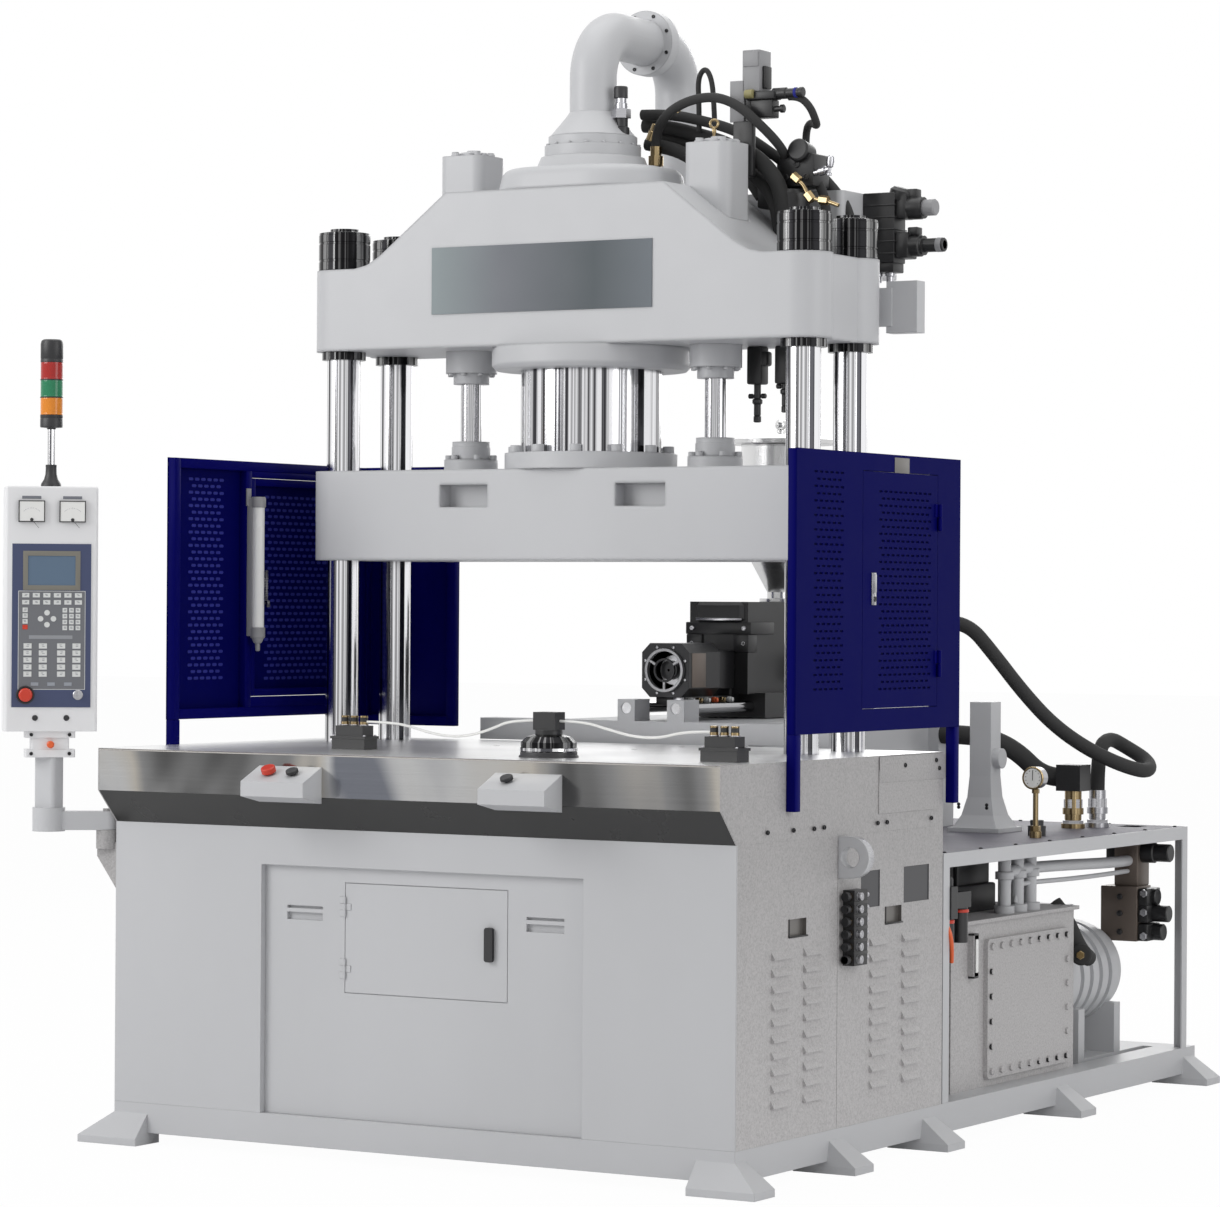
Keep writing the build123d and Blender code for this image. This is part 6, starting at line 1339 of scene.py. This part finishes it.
def make_manifold_parts():
    """Knobs, brass nuts and hose nipples of the cooling water manifold."""
    knobs, nuts, ends, plugs = [], [], [], []
    for row, z in enumerate(MANIFOLD_ROWS):
        knobs.append(stand(1104, 645, z, FRONT, roll=0.4 * row))
        nuts.append(stand(1104, 652, z, FRONT, roll=0.3 * row))
        ends.append(stand(1104, 736, z, BACK))
        plugs.append(stand(1123, 678, z, RIGHT))
    dress(copies(flow_knob(), "flow_knobs", knobs), "black_moulding", "frame")
    nut = hexagon("flow_nut", 23, 7)
    dress(copies(nut, "flow_nuts", nuts), "yellow_brass", "frame")
    nipple = lathe("hose_nipple", [(12, 0), (12, 9), (8.4, 10), (9.6, 14), (8.2, 18), (9.6, 19), (8.2, 24),
                                   (9.6, 25), (8, 31), (8, 34)], sides=24)
    dress(copies(nipple, "hose_nipples", ends), "bright_screw", "frame")
    plug = bolt("manifold_plug", radius=9, height=12.6, washer=12.5)
    dress(copies(plug, "manifold_plugs", plugs), "bright_screw", "frame")
    ribs = [
        block("manifold_ribs", 1122, 1125.5, 646, 735, z + 14, z + 23, edge=1.2)
        for z in MANIFOLD_ROWS[:-1]
    ]
    dress(joined(ribs, "manifold_ribs"), "black_iron", "frame")


def make_cover_bolts():
    """Dark bolts of the upper side covers, with the doubler plate that some of them hold."""
    spots = [stand(1088.6, y, z, RIGHT) for y, z in COVER_BOLTS]
    dress(copies(bolt(radius=7, height=5.5), "cover_bolts", spots), "black_oxide", "frame")
    doubler = block("cover_doubler", 1087, 1089.4, 880, 1330, 1128, 1206, edge=0.8)
    dress(doubler, "hammered_enamel", "frame")


def make_pull_painted_shade():
    """Dark strips at the front and the foot of each flush pull in the right side panels: painted shade in
    their recesses.
    """
    boxes = []
    for y in PULL_SPOTS:
        # Painted shade along the recess's front and foot.
        boxes.append((1084.4, 1087, y - 59, y - 54, 703, 757, 0.8))
        boxes.append((1084.4, 1087, y - 59, y + 59, 702, 707, 0.8))
    cluster("pull_rims", "black_oxide", boxes)


def make_deck_finishes():
    """Finishes of what stands on the deck: post, gauge, cap, fittings and the air unit."""
    tint("deck_fittings", "soft_casting", inside(550, 750, 2445, 2645, 890, 1340))
    tint("deck_fittings", "black_moulding", near(900, 2420, 33))
    tint("deck_fittings", "bright_screw", inside(912, 990, 2260, 2340, 1062, 1140))
    tint("deck_fittings", "black_iron", inside(1020, 1092, 1360, 1530, 580, 830))
    tint("deck_fittings", "black_iron", inside(700, 920, 2840, 3010, 1016, 1200))
    tint("deck_fittings", "bright_screw", near(850, 3032, 60, 890, 1030))
    tint("tread_plate", "deck_sheet", lambda s: True)
    tint("oil_tank", "soft_casting", lambda s: s.z > 663)


def make_gauge():
    """Dial of the deck's pressure gauge with its scale and hand, and the nut under it."""
    ring = lathe("gauge_ring", [(37, 0), (38, 2), (38, 7), (36, 9), (32.5, 9), (32, 6)], sides=40,
                 where=stand(950, 2282, 1093, FRONT))
    dress(ring, "yellow_brass", "frame")
    dial = lathe("gauge_dial", [(32, 0), (32, 7.4)], sides=40, where=stand(950, 2282, 1093, FRONT))
    dress(dial, "meter_face", "frame")
    marks = []
    for step in range(11):
        turn = math.radians(-45 + 27 * step)
        x, z = 950 + 25 * math.cos(turn), 1093 + 25 * math.sin(turn)
        marks.append(stand(x, 2275, z, FRONT))
    tick = lathe("gauge_ticks", [(1.6, 0), (1.4, 0.8)], sides=8)
    ticks = copies(tick, "gauge_ticks", marks)
    hand = block("gauge_hand", 949, 951, 2273.6, 2274.6, 1085, 1116, edge=0.2)
    dress(joined([ticks, hand], "gauge_marks"), "soot", "frame")
    nut = put(hexagon("gauge_nut", 30, 18), stand(950, 2300, 917))
    neck = put(hexagon("gauge_nut", 22, 14), stand(950, 2300, 1042))
    dress(joined([nut, neck], "gauge_nuts"), "yellow_brass", "frame")


def make_air_unit():
    """Filter regulator on the front post: red rings, knob, bowl and pale nozzle."""
    x, y = 1061, 1396
    cluster("air_rings", "red_moulding", turned=[
        ([(26, 0), (27, 2), (27, 10), (25, 12)], 32, stand(x, y, 676)),
        ([(26, 0), (27, 2), (27, 8), (25, 10)], 32, stand(x, 1498, 704)),
    ])
    cluster("air_knob", "black_moulding", turned=[
        ([(20, 0), (22, 2), (22, 24), (20, 27), (12, 28)], 18, stand(x, y, 789)),
        ([(26, 0), (26, 60), (20, 78), (8, 84), (6, 92)], 32, stand(x, y, 678, DOWN)),
    ])
    nozzle = [(11, 0), (11, 14), (8, 16), (8, 30), (10, 32), (10, 40), (7, 42)]
    cluster("air_nozzle", "pale_plastic", turned=[(nozzle, 24, stand(x, 1376, 742, FRONT))])


def make_tank_details():
    """Bolts of the tank's cover, frame of the level gauge and its sight glass."""
    spots = []
    for step in range(9):
        y = 1830 + step * 571 / 8
        spots += [stand(1016, y, 172, RIGHT), stand(1016, y, 574, RIGHT)]
    for z in (253, 333, 413, 493):
        spots += [stand(1016, 1820, z, RIGHT), stand(1016, 2411, z, RIGHT)]
    dress(copies(bolt(radius=9, height=7), "tank_bolts", spots), "black_oxide", "frame")
    casing = block("level_frame", 1000, 1022, 1684, 1718, 480, 622, edge=2)
    glass = block("level_glass", 1019, 1025, 1692, 1711, 498, 604, edge=2)
    dress(casing, "black_iron", "frame")
    dress(glass, "lamp_white", "frame")


def make_deck_screws():
    """Screws along the deck's edge and on its post, and the nuts of the hose fittings."""
    spots = [stand(1062, 1380 + step * 262, DECK) for step in range(8)]
    spots += [stand(x, 3245, DECK) for x in (-900, -560, -220, 120, 460, 800)]
    dress(copies(bolt(radius=7, height=4), "deck_screws", spots), "black_oxide", "frame")
    unions = []
    for x, y in ((850, 3032), (806, 2925)):
        unions.append(put(hexagon("union", 62, 26), stand(x, y, DECK + 2)))
        unions.append(put(hexagon("union", 56, 34), stand(x, y, DECK + 67)))
    dress(joined(unions, "deck_unions"), "bright_screw", "frame")
    belt = [stand(x, 2450, z, FRONT) for z in (980, 990) for x in (598, 702)]
    dress(copies(bolt(radius=6, height=4), "post_bolts", belt), "black_oxide", "frame")


def make_pack_valves():
    """Valve column of the power pack: brown block, black valves and coils, and the return cylinder."""
    column = cluster("valve_column", "warm_iron", boxes=[
        (838, 975, 3090, 3215, 500, 690, 4), (880, 968, 3110, 3214, 690, 895, 4),
        (850, 880, 3190, 3219, 700, 893, 2),
    ])
    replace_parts(column, "rear_valves")
    boxes = [(846, 896, 3112, 3206, 762, 852, 8)]
    turned = [([(34, 0), (36, 4), (36, 120), (31, 124), (31, 176), (28, 180)], 36,
               stand(892, 3160, 806, RIGHT))]
    for z, reach in ((532, 37), (596, 57), (654, 15)):
        boxes.append((975, 1012, 3096, 3210, z - 30, z + 30, 5))
        turned.append(([(27, 0), (29, 3), (29, reach), (26, reach + 3)], 32, stand(1010, 3153, z, RIGHT)))
        turned.append(([(9, 0), (10, 1), (10, 8), (6, 10)], 20, stand(912, 3090, z, FRONT)))
    cluster("pack_valves", "black_iron", boxes, turned)
    nuts = [stand(1000, 3096, z, FRONT) for z in (520, 602, 668)]
    dress(copies(hexagon("pack_nut", 24, 12), "pack_nuts", nuts), "bright_screw", "frame")


def make_pack_pipes():
    """White crossover pipes, the black suction elbow, the air unit's tube, and black blocks that are partly
    the manifold and partly painted shade inside the pack.
    """
    white = [
        pipe_run("pack_pipes", [(950, 2060, 700), (950, 2060, 786), (952, 2130, 800), (955, 2400, 798),
                                (950, 2950, 780), (930, 3120, 778)], 38),
        pipe_run("pack_pipes", [(952, 2140, 690), (952, 2150, 745), (952, 2230, 752), (950, 2700, 742),
                                (930, 3120, 742)], 16),
    ]
    dress(joined(white, "pack_pipes"), "soft_casting", "frame")
    elbow = pipe_run("suction_elbow", [(900, 2560, 662), (930, 2560, 630), (955, 2560, 590), (985, 2560, 530),
                                       (1010, 2560, 496), (1010, 2600, 480)], 56)
    flange = lathe("suction_elbow", [(30, 0), (36, 3), (36, 16), (30, 20)], sides=36,
                   where=stand(1008, 2548, 496, (0.3, -1, 0)))
    dress(joined([elbow, flange], "suction_elbow"), "hose_rubber", "frame")
    plug = put(hexagon("suction_plug", 26, 14), stand(1013, 2530, 496, (0.3, -1, 0)))
    dress(plug, "yellow_brass", "frame")
    tube = pipe_run("air_hose", [(1066, 1372, 690), (1082, 1372, 662), (1090, 1374, 630), (1088, 1384, 590),
                                 (1080, 1398, 556)], 14)
    dress(tube, "orange_plastic", "frame")
    # Black blocks: partly the dark manifold, partly painted shade in the bay between the tank and the deck.
    masses = [
        block("tank_manifold", 480, 860, 1640, 2190, 661, 752, edge=8),
        block("tank_manifold", 520, 846, 1660, 1900, 748, 866, edge=8),
        block("tank_manifold", 520, 846, 1925, 2170, 748, 858, edge=8),
        block("tank_manifold", 560, 800, 1880, 1940, 760, 840, edge=4),
    ]
    dress(joined(masses, "tank_manifold"), "black_iron", "frame")


DEVICES = ((-430, 330), (950, 170))
CORE_SPOT = (375, 150)


def make_table_finishes():
    """Dull table top and the worked faces of what stands on the table."""
    # The table top's sheet carries painted reflections in patches.
    tint("table_cover", "table_sheet", lambda s: s.z > 1209.4)
    tint("table_cover", "dull_plate", lambda s: 1190 < s.z < 1209.4)
    x, y = CORE_SPOT
    tint("table_devices", "black_turned",
         lambda s: math.hypot(s.x - x, s.y - y) > 66 and abs(s.x - x) < 90)


def make_device_caps():
    """Brass connectors, rims and screws on the two valve stacks, and the core device's collar."""
    nipples, rims, screws = [], [], []
    for x, y in DEVICES:
        for step in (-0.57, 0, 0.57):
            nipples.append(stand(x + step * 60, y, 1282))
            rims.append(stand(x + step * 60, y, 1281.5))
        screws += [stand(x + dx, y + dy, 1250) for dx in (-56, 56) for dy in (-30, 30)]
    cap = lathe("device_nipple", [(11.5, 0), (13, 1), (13, 12), (9, 13), (9, 24), (12.6, 25), (12.6, 30),
                                  (6, 31)], sides=20)
    dress(copies(cap, "device_nipples", nipples), "yellow_brass", "frame")
    rim = lathe("device_rim", [(17, 0), (17.5, 1), (17.5, 3), (16.5, 4)], sides=24)
    dress(copies(rim, "device_rims", rims), "bright_screw", "frame")
    dress(copies(bolt(radius=4.5, height=4), "device_screws", screws), "bright_screw", "frame")
    turned = (
        ("core_collar", "black_turned", [(83, 1210), (83, 1216), (82.6, 1218), (82.6, 1226), (70, 1258),
                                         (66, 1270), (41, 1277)]),
        ("core_band", "chrome_pole", [(83, 1228), (84.4, 1229), (84.4, 1237), (83, 1238)]),
        ("core_foot", "black_moulding", [(88, 1210), (88, 1214), (84, 1217), (83.4, 1226)]),
    )
    for name, finish, stations in turned:
        cluster(name, finish, turned=[(stations, 64, stand(*CORE_SPOT, 0))])


def make_injection_trim():
    """Finishes and fittings of the injection unit: ring, plugs, a painted sheen on the cover, blocks on the
    housing with a painted highlight, and clamps.
    """
    tint("barrel_cover", "machined_iron",
         lambda s: s.y < 1493.9 and 41 < math.hypot(s.x, s.z - INJECTION_Z) < 73)
    tint("barrel", "black_oxide", lambda s: s.y < 1545)
    # Painted sheen: a brownish reflection on the cover's right side.
    cluster("cover_wrap", "warm_iron", [(86, 89.5, 1512, 1604, 1388, 1500, 1)], body="carriage")
    cluster("plug_rail", "black_iron",
            [(-50, 60, 1520, 1840, 1330, 1358, 3), (-40, 50, 1840, 1902, 1334, 1400, 3)], body="carriage")
    cluster("rail_bracket", "bright_screw", [(20, 56, 1512, 1520, 1318, 1360, 1)], body="carriage")
    plugs = ("key_white", "yellow_brass", "key_white", "orange_plastic", "yellow_brass", "key_white")
    for step, finish in enumerate(plugs):
        plug = lathe("heater_plug", [(8, 0), (9, 1), (9, 12), (7, 14), (7, 20), (4, 21)], sides=20,
                     where=stand(60, 1545 + 52 * step, 1346, RIGHT))
        dress(plug, finish, "carriage")
    steps = [
        block("housing_blocks", -124, 124, 1846, 2010, 1560, 1600, edge=3),
        block("housing_blocks", -84, 96, 1838, 1960, 1600, 1668, edge=12, rounds=1),
        block("housing_blocks", -118, -60, 1840, 1900, 1500, 1560, edge=3),
        block("housing_blocks", 60, 118, 1840, 1900, 1500, 1560, edge=3),
    ]
    dress(joined(steps, "housing_blocks"), "black_iron", "carriage")
    # Painted highlight: a bright strip along the foot of the housing's upper block.
    cluster("housing_strip", "bright_screw", [(-80, 92, 1836, 1841, 1606, 1614, 1)], body="carriage")
    spots = [stand(x, 1846, z, FRONT) for x in (-98, 98) for z in (1580, 1530)]
    dress(copies(bolt(radius=8, height=6), "housing_bolts", spots), "bright_screw", "carriage")
    cover = []
    for turn in range(8):
        angle = math.radians(22.5 + 45 * turn)
        x, z = 80 * math.cos(angle), INJECTION_Z + 80 * math.sin(angle)
        cover.append(stand(x, 1494, z, FRONT))
    dress(copies(bolt(radius=5, height=4), "cover_face_bolts", cover), "bright_screw", "carriage")


def make_hopper_rim():
    """Rolled rim of the hopper's mouth."""
    rim = [(131, 2196), (136.5, 2198), (136.5, 2203), (133, 2205)]
    cluster("hopper_rim", "hopper_sheet", turned=[(rim, 72, stand(0, 2281, 0))], body="carriage")


ROUTES = {
    "rear_hose_1": (
        0.050, "medium", 1.428,
        [(400, 2790, 1600), (466, 2790, 1600), (546, 2832, 1492), (640, 2868, 1362), (740, 2900, 1250),
         (860, 2930, 1166), (975, 2985, 1108), (1020, 3090, 1088), (975, 3188, 1122), (880, 3198, 1172),
         (850, 3130, 1204), (850, 3032, 1164), (850, 3032, 1024)],
    ),
    "rear_hose_2": (
        0.066, "medium", 0.475,
        [(400, 2730, 1215), (476, 2730, 1215), (560, 2780, 1204), (628, 2852, 1158), (691, 2925, 1069),
         (761, 2925, 1069)],
    ),
    "top_hose_1": (
        0.030, "medium", 0.792,
        [(150, 1150, 3104), (150, 1150, 3152), (216, 1100, 3200), (310, 1066, 3232), (410, 1058, 3240),
         (490, 1060, 3210), (556, 1080, 3150), (594, 1132, 3094), (586, 1205, 3058), (550, 1255, 3039),
         (550, 1305, 3039)],
    ),
    "top_hose_2": (
        0.024, "medium", 0.366,
        [(634, 1132, 3233), (670, 1132, 3233), (698, 1152, 3201), (700, 1186, 3161), (680, 1234, 3149),
         (630, 1285, 3171), (586, 1337, 3153), (586, 1337, 3105)],
    ),
}


def smooth_tube(name, points, diameter, finish):
    """A hose on its route, still a curve, on the frame."""
    piece = curve_through(name, points, diameter, steps=12, sides=6)
    piece.data.materials.append(bpy.data.materials[finish])
    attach(piece, "frame")
    return piece


AIR_TUBES = {
    "air_tube_left": (
        0.757,
        [(-383.8, 330, 1294), (-294, 330, 1294), (-204, 300, 1284), (-114, 270, 1267), (-24, 240, 1259),
         (65, 210, 1265), (155, 180, 1286), (245, 150, 1316), (337.3, 150, 1316)],
    ),
    "air_tube_right": (
        0.498,
        [(412.7, 150, 1316), (493, 150, 1316), (575, 155, 1294), (657, 160, 1275), (740, 165, 1273),
         (822, 170, 1294), (903.8, 170, 1294)],
    ),
}


def make_cords():
    """The four hydraulic hoses and the two clear air tubes."""
    for name, (diameter, stiffness, length, points) in ROUTES.items():
        hose = smooth_tube(name + "_line", points, diameter, "hose_rubber")
        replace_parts(hose, name)
    for name, (length, points) in AIR_TUBES.items():
        tube = smooth_tube(name + "_line", points, 0.008, "clear_tube")
        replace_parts(tube, name)


FLOOR_SHARE = 0.975
FLOOR_GLOSSY_SHARE = 0.45
SURROUND_LIGHT = 0.42
CAMERA_AT = (6633.459, -10151.906, 1662.366)
CAMERA_YAW = 0.5309606
CAMERA_PITCH = 0.0042374
CAMERA_ROLL = 0.0061834
LENS = 121.70998
SHIFT = (-0.0012606, -0.0149738)


def make_camera():
    """The camera, where the fit to the photograph's edges puts it."""
    yaw, pitch, roll = CAMERA_YAW, CAMERA_PITCH, CAMERA_ROLL
    ahead = Vector((-math.sin(yaw) * math.cos(pitch), math.cos(yaw) * math.cos(pitch), math.sin(pitch)))
    level = Vector((math.cos(yaw), math.sin(yaw), 0))
    above = level.cross(ahead)
    right = level * math.cos(roll) + above * math.sin(roll)
    up = above * math.cos(roll) - level * math.sin(roll)
    turned = Matrix((right, up, -ahead)).transposed().to_4x4()
    data = bpy.data.cameras.new("camera")
    data.lens = LENS
    data.sensor_width = 36
    data.shift_x, data.shift_y = SHIFT
    data.clip_end = 200
    camera = bpy.data.objects.new("camera", data)
    camera.matrix_world = Matrix.Translation(place(*CAMERA_AT)) @ turned
    bpy.context.collection.objects.link(camera)
    bpy.context.scene.camera = camera


def add_lamp(name, spot, target, size, power):
    """A soft rectangular lamp that faces a point."""
    data = bpy.data.lights.new(name, "AREA")
    data.shape = "RECTANGLE"
    data.size, data.size_y = size
    data.energy = power
    lamp = bpy.data.objects.new(name, data)
    at = Vector(spot)
    facing = (Vector(target) - at).to_track_quat("-Z", "Y").to_matrix().to_4x4()
    lamp.matrix_world = Matrix.Translation(at) @ facing
    bpy.context.collection.objects.link(lamp)


def make_lamps():
    """Four soft lamps: front left, above, right and behind."""
    add_lamp("front_lamp", (-4.5, -7.5, 5.0), (0, 0, 1.6), (5, 5), 330)
    add_lamp("top_lamp", (0.5, -0.5, 8.0), (0, 0, 0), (6, 6), 150)
    add_lamp("right_lamp", (7.5, -1.5, 3.5), (0, 0, 1.5), (4, 5), 130)
    add_lamp("back_lamp", (-2.0, 8.5, 5.0), (0, 0, 1.6), (5, 5), 210)


def make_floor():
    """Plain pale floor that keeps the machine's shadow."""
    deselect()
    bpy.ops.mesh.primitive_plane_add(size=120, location=(0, 0, -0.0015))
    floor = bpy.context.object
    floor.name = "floor"
    bpy.ops.object.transform_apply(location=True, rotation=True, scale=True)
    material = bpy.data.materials.new("pale_floor")
    material.use_nodes = True
    tree = material.node_tree
    shader = tree.nodes["Principled BSDF"]
    shader.inputs["Base Color"].default_value = (0.86, 0.86, 0.87, 1)
    shader.inputs["Roughness"].default_value = 0.9
    glow = node(tree, "ShaderNodeEmission", {0: (1, 1, 1, 1), 1: 1.0})
    ray = node(tree, "ShaderNodeLightPath").outputs
    glossy = sum_of(tree, "MULTIPLY", ray["Is Glossy Ray"], FLOOR_GLOSSY_SHARE)
    seen = sum_of(tree, "ADD", ray["Is Camera Ray"], glossy, use_clamp=True)
    share = sum_of(tree, "MULTIPLY", seen, FLOOR_SHARE)
    blend = node(tree, "ShaderNodeMixShader", {0: share, 1: shader.outputs[0], 2: glow.outputs[0]})
    tree.links.new(blend.outputs[0], tree.nodes["Material Output"].inputs["Surface"])
    floor.data.materials.append(material)


def make_surround():
    """White surround that lights the machine less than it shows."""
    world = bpy.data.worlds.new("surround")
    bpy.context.scene.world = world
    world.use_nodes = True
    tree = world.node_tree
    ray = node(tree, "ShaderNodeLightPath").outputs
    seen = sum_of(tree, "ADD", ray["Is Camera Ray"], ray["Is Glossy Ray"], use_clamp=True)
    seen = sum_of(tree, "ADD", seen, ray["Is Transmission Ray"], use_clamp=True)
    strength = node(tree, "ShaderNodeMapRange", {0: seen, 3: SURROUND_LIGHT, 4: 1.0})
    back = tree.nodes["Background"]
    back.inputs[0].default_value = (1, 1, 1, 1)
    tree.links.new(strength.outputs[0], back.inputs[1])
    bpy.context.scene.view_settings.view_transform = "Standard"


class MachineColours(bpy.types.PropertyGroup):
    """Colours that a user would change."""

    body: FloatVectorProperty(name="Body", description="Light enamel of the castings and covers",
                              subtype="COLOR", size=3, default=(0.56, 0.565, 0.58), min=0, max=1)
    side: FloatVectorProperty(name="Side panels", description="Hammered enamel of the side panels",
                              subtype="COLOR", size=3, default=(0.42, 0.41, 0.41), min=0, max=1)
    guard: FloatVectorProperty(name="Guards", description="Enamel of the side guards",
                               subtype="COLOR", size=3, default=(0.0015, 0.002, 0.085), min=0, max=1)
    guard_bar: FloatVectorProperty(name="Guard frames", description="Enamel of the guards' frames",
                                   subtype="COLOR", size=3, default=(0.002, 0.002, 0.11), min=0, max=1)
    skirt: FloatVectorProperty(name="Skirt", description="Dark paint under the table's fold",
                               subtype="COLOR", size=3, default=(0.035, 0.035, 0.035), min=0, max=1)
    overlay: FloatVectorProperty(name="Key field", description="Film round the panel's keys",
                                 subtype="COLOR", size=3, default=(0.05, 0.065, 0.14), min=0, max=1)


class MachineSizes(bpy.types.PropertyGroup):
    """Sizes that a user would change."""

    slot_pitch: FloatProperty(name="Slot pitch", description="Distance between the guards' slots along a row",
                              subtype="DISTANCE", unit="LENGTH", default=0.033, min=0.015, max=0.06)
    bolt_sides: IntProperty(name="Bolt sides", description="Sides of each bolt's round head",
                            default=20, min=8, max=32)


class MakeMaterials(bpy.types.Operator):
    """Makes every finish and gives the solids theirs"""

    bl_idname = "moulding.materials"
    bl_label = "Materials"

    def execute(self, context):
        make_materials()
        finish_nodes()
        return {"FINISHED"}


class MakeCords(bpy.types.Operator):
    """Makes the hydraulic hoses and the clear air tubes"""

    bl_idname = "moulding.cords"
    bl_label = "Hoses and tubes"

    def execute(self, context):
        make_cords()
        return {"FINISHED"}


class MakeGuards(bpy.types.Operator):
    """Makes the slotted guards, their doors, latches and lamp"""

    bl_idname = "moulding.guards"
    bl_label = "Side guards"

    def execute(self, context):
        make_guards()
        make_return_panel()
        make_guard_lamp()
        return {"FINISHED"}


class MakeControlPanel(bpy.types.Operator):
    """Makes the keys, the screen, the meters and the arm's trim"""

    bl_idname = "moulding.control_panel"
    bl_label = "Control panel"

    def execute(self, context):
        make_panel_screen()
        make_panel_keys()
        make_meters()
        make_arm_trim()
        return {"FINISHED"}


class MakeTower(bpy.types.Operator):
    """Makes the signal tower and its lenses"""

    bl_idname = "moulding.tower"
    bl_label = "Signal tower"

    def execute(self, context):
        make_tower()
        return {"FINISHED"}


class MakeTop(bpy.types.Operator):
    """Makes the nuts, bolts, pipes and valves on the top platen"""

    bl_idname = "moulding.top"
    bl_label = "Top platen"

    def execute(self, context):
        make_name_plate()
        make_nut_rims()
        make_clamp_bolts()
        make_top_pipes()
        make_switch_box()
        make_manifold()
        make_valve_stack()
        make_limit_switches()
        return {"FINISHED"}


class MakeSides(bpy.types.Operator):
    """Makes the water manifold, bolts and pulls of the right side"""

    bl_idname = "moulding.sides"
    bl_label = "Sides"

    def execute(self, context):
        make_side_trim()
        make_manifold_parts()
        make_cover_bolts()
        make_pull_painted_shade()
        return {"FINISHED"}


class MakeRear(bpy.types.Operator):
    """Makes the fittings of the power pack and its deck"""

    bl_idname = "moulding.rear"
    bl_label = "Power pack"

    def execute(self, context):
        make_deck_finishes()
        make_gauge()
        make_air_unit()
        make_tank_details()
        make_deck_screws()
        make_pack_valves()
        make_pack_pipes()
        return {"FINISHED"}


class MakeTable(bpy.types.Operator):
    """Makes the devices on the table and the injection unit's fittings"""

    bl_idname = "moulding.table"
    bl_label = "Table"

    def execute(self, context):
        make_table_finishes()
        make_device_caps()
        make_injection_trim()
        make_hopper_rim()
        return {"FINISHED"}


class MakeStage(bpy.types.Operator):
    """Makes the camera, the lamps and the floor"""

    bl_idname = "moulding.stage"
    bl_label = "Stage"

    def execute(self, context):
        make_camera()
        make_lamps()
        make_floor()
        make_surround()
        return {"FINISHED"}


OPERATORS = (
    MakeMaterials, MakeCords, MakeGuards,
    MakeControlPanel, MakeTower, MakeTop,
    MakeSides, MakeRear, MakeTable,
    MakeStage,
)


class MachinePanel(bpy.types.Panel):
    """Lists the steps that build the machine's looks."""

    bl_idname = "VIEW3D_PT_moulding_machine"
    bl_label = "Moulding machine"
    bl_space_type = "VIEW_3D"
    bl_region_type = "UI"
    bl_category = "Moulding Machine"

    def draw(self, context):
        for group in (context.scene.machine_colours, context.scene.machine_sizes):
            for key in group.bl_rna.properties.keys():
                if key not in ("rna_type", "name"):
                    self.layout.prop(group, key)
        for step in OPERATORS:
            self.layout.operator(step.bl_idname)


CLASSES = (MachineColours, MachineSizes, *OPERATORS, MachinePanel)


def register():
    """Adds the add-on's classes and settings to Blender."""
    for item in CLASSES:
        bpy.utils.register_class(item)
    bpy.types.Scene.machine_colours = bpy.props.PointerProperty(type=MachineColours)
    bpy.types.Scene.machine_sizes = bpy.props.PointerProperty(type=MachineSizes)


def unregister():
    """Takes them out again."""
    del bpy.types.Scene.machine_sizes
    del bpy.types.Scene.machine_colours
    for item in reversed(CLASSES):
        bpy.utils.unregister_class(item)


def main():
    """Builds the looks step by step."""
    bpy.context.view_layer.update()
    register()
    for step in OPERATORS:
        group, name = step.bl_idname.split(".")
        getattr(getattr(bpy.ops, group), name)()


if __name__ == "__main__":
    main()
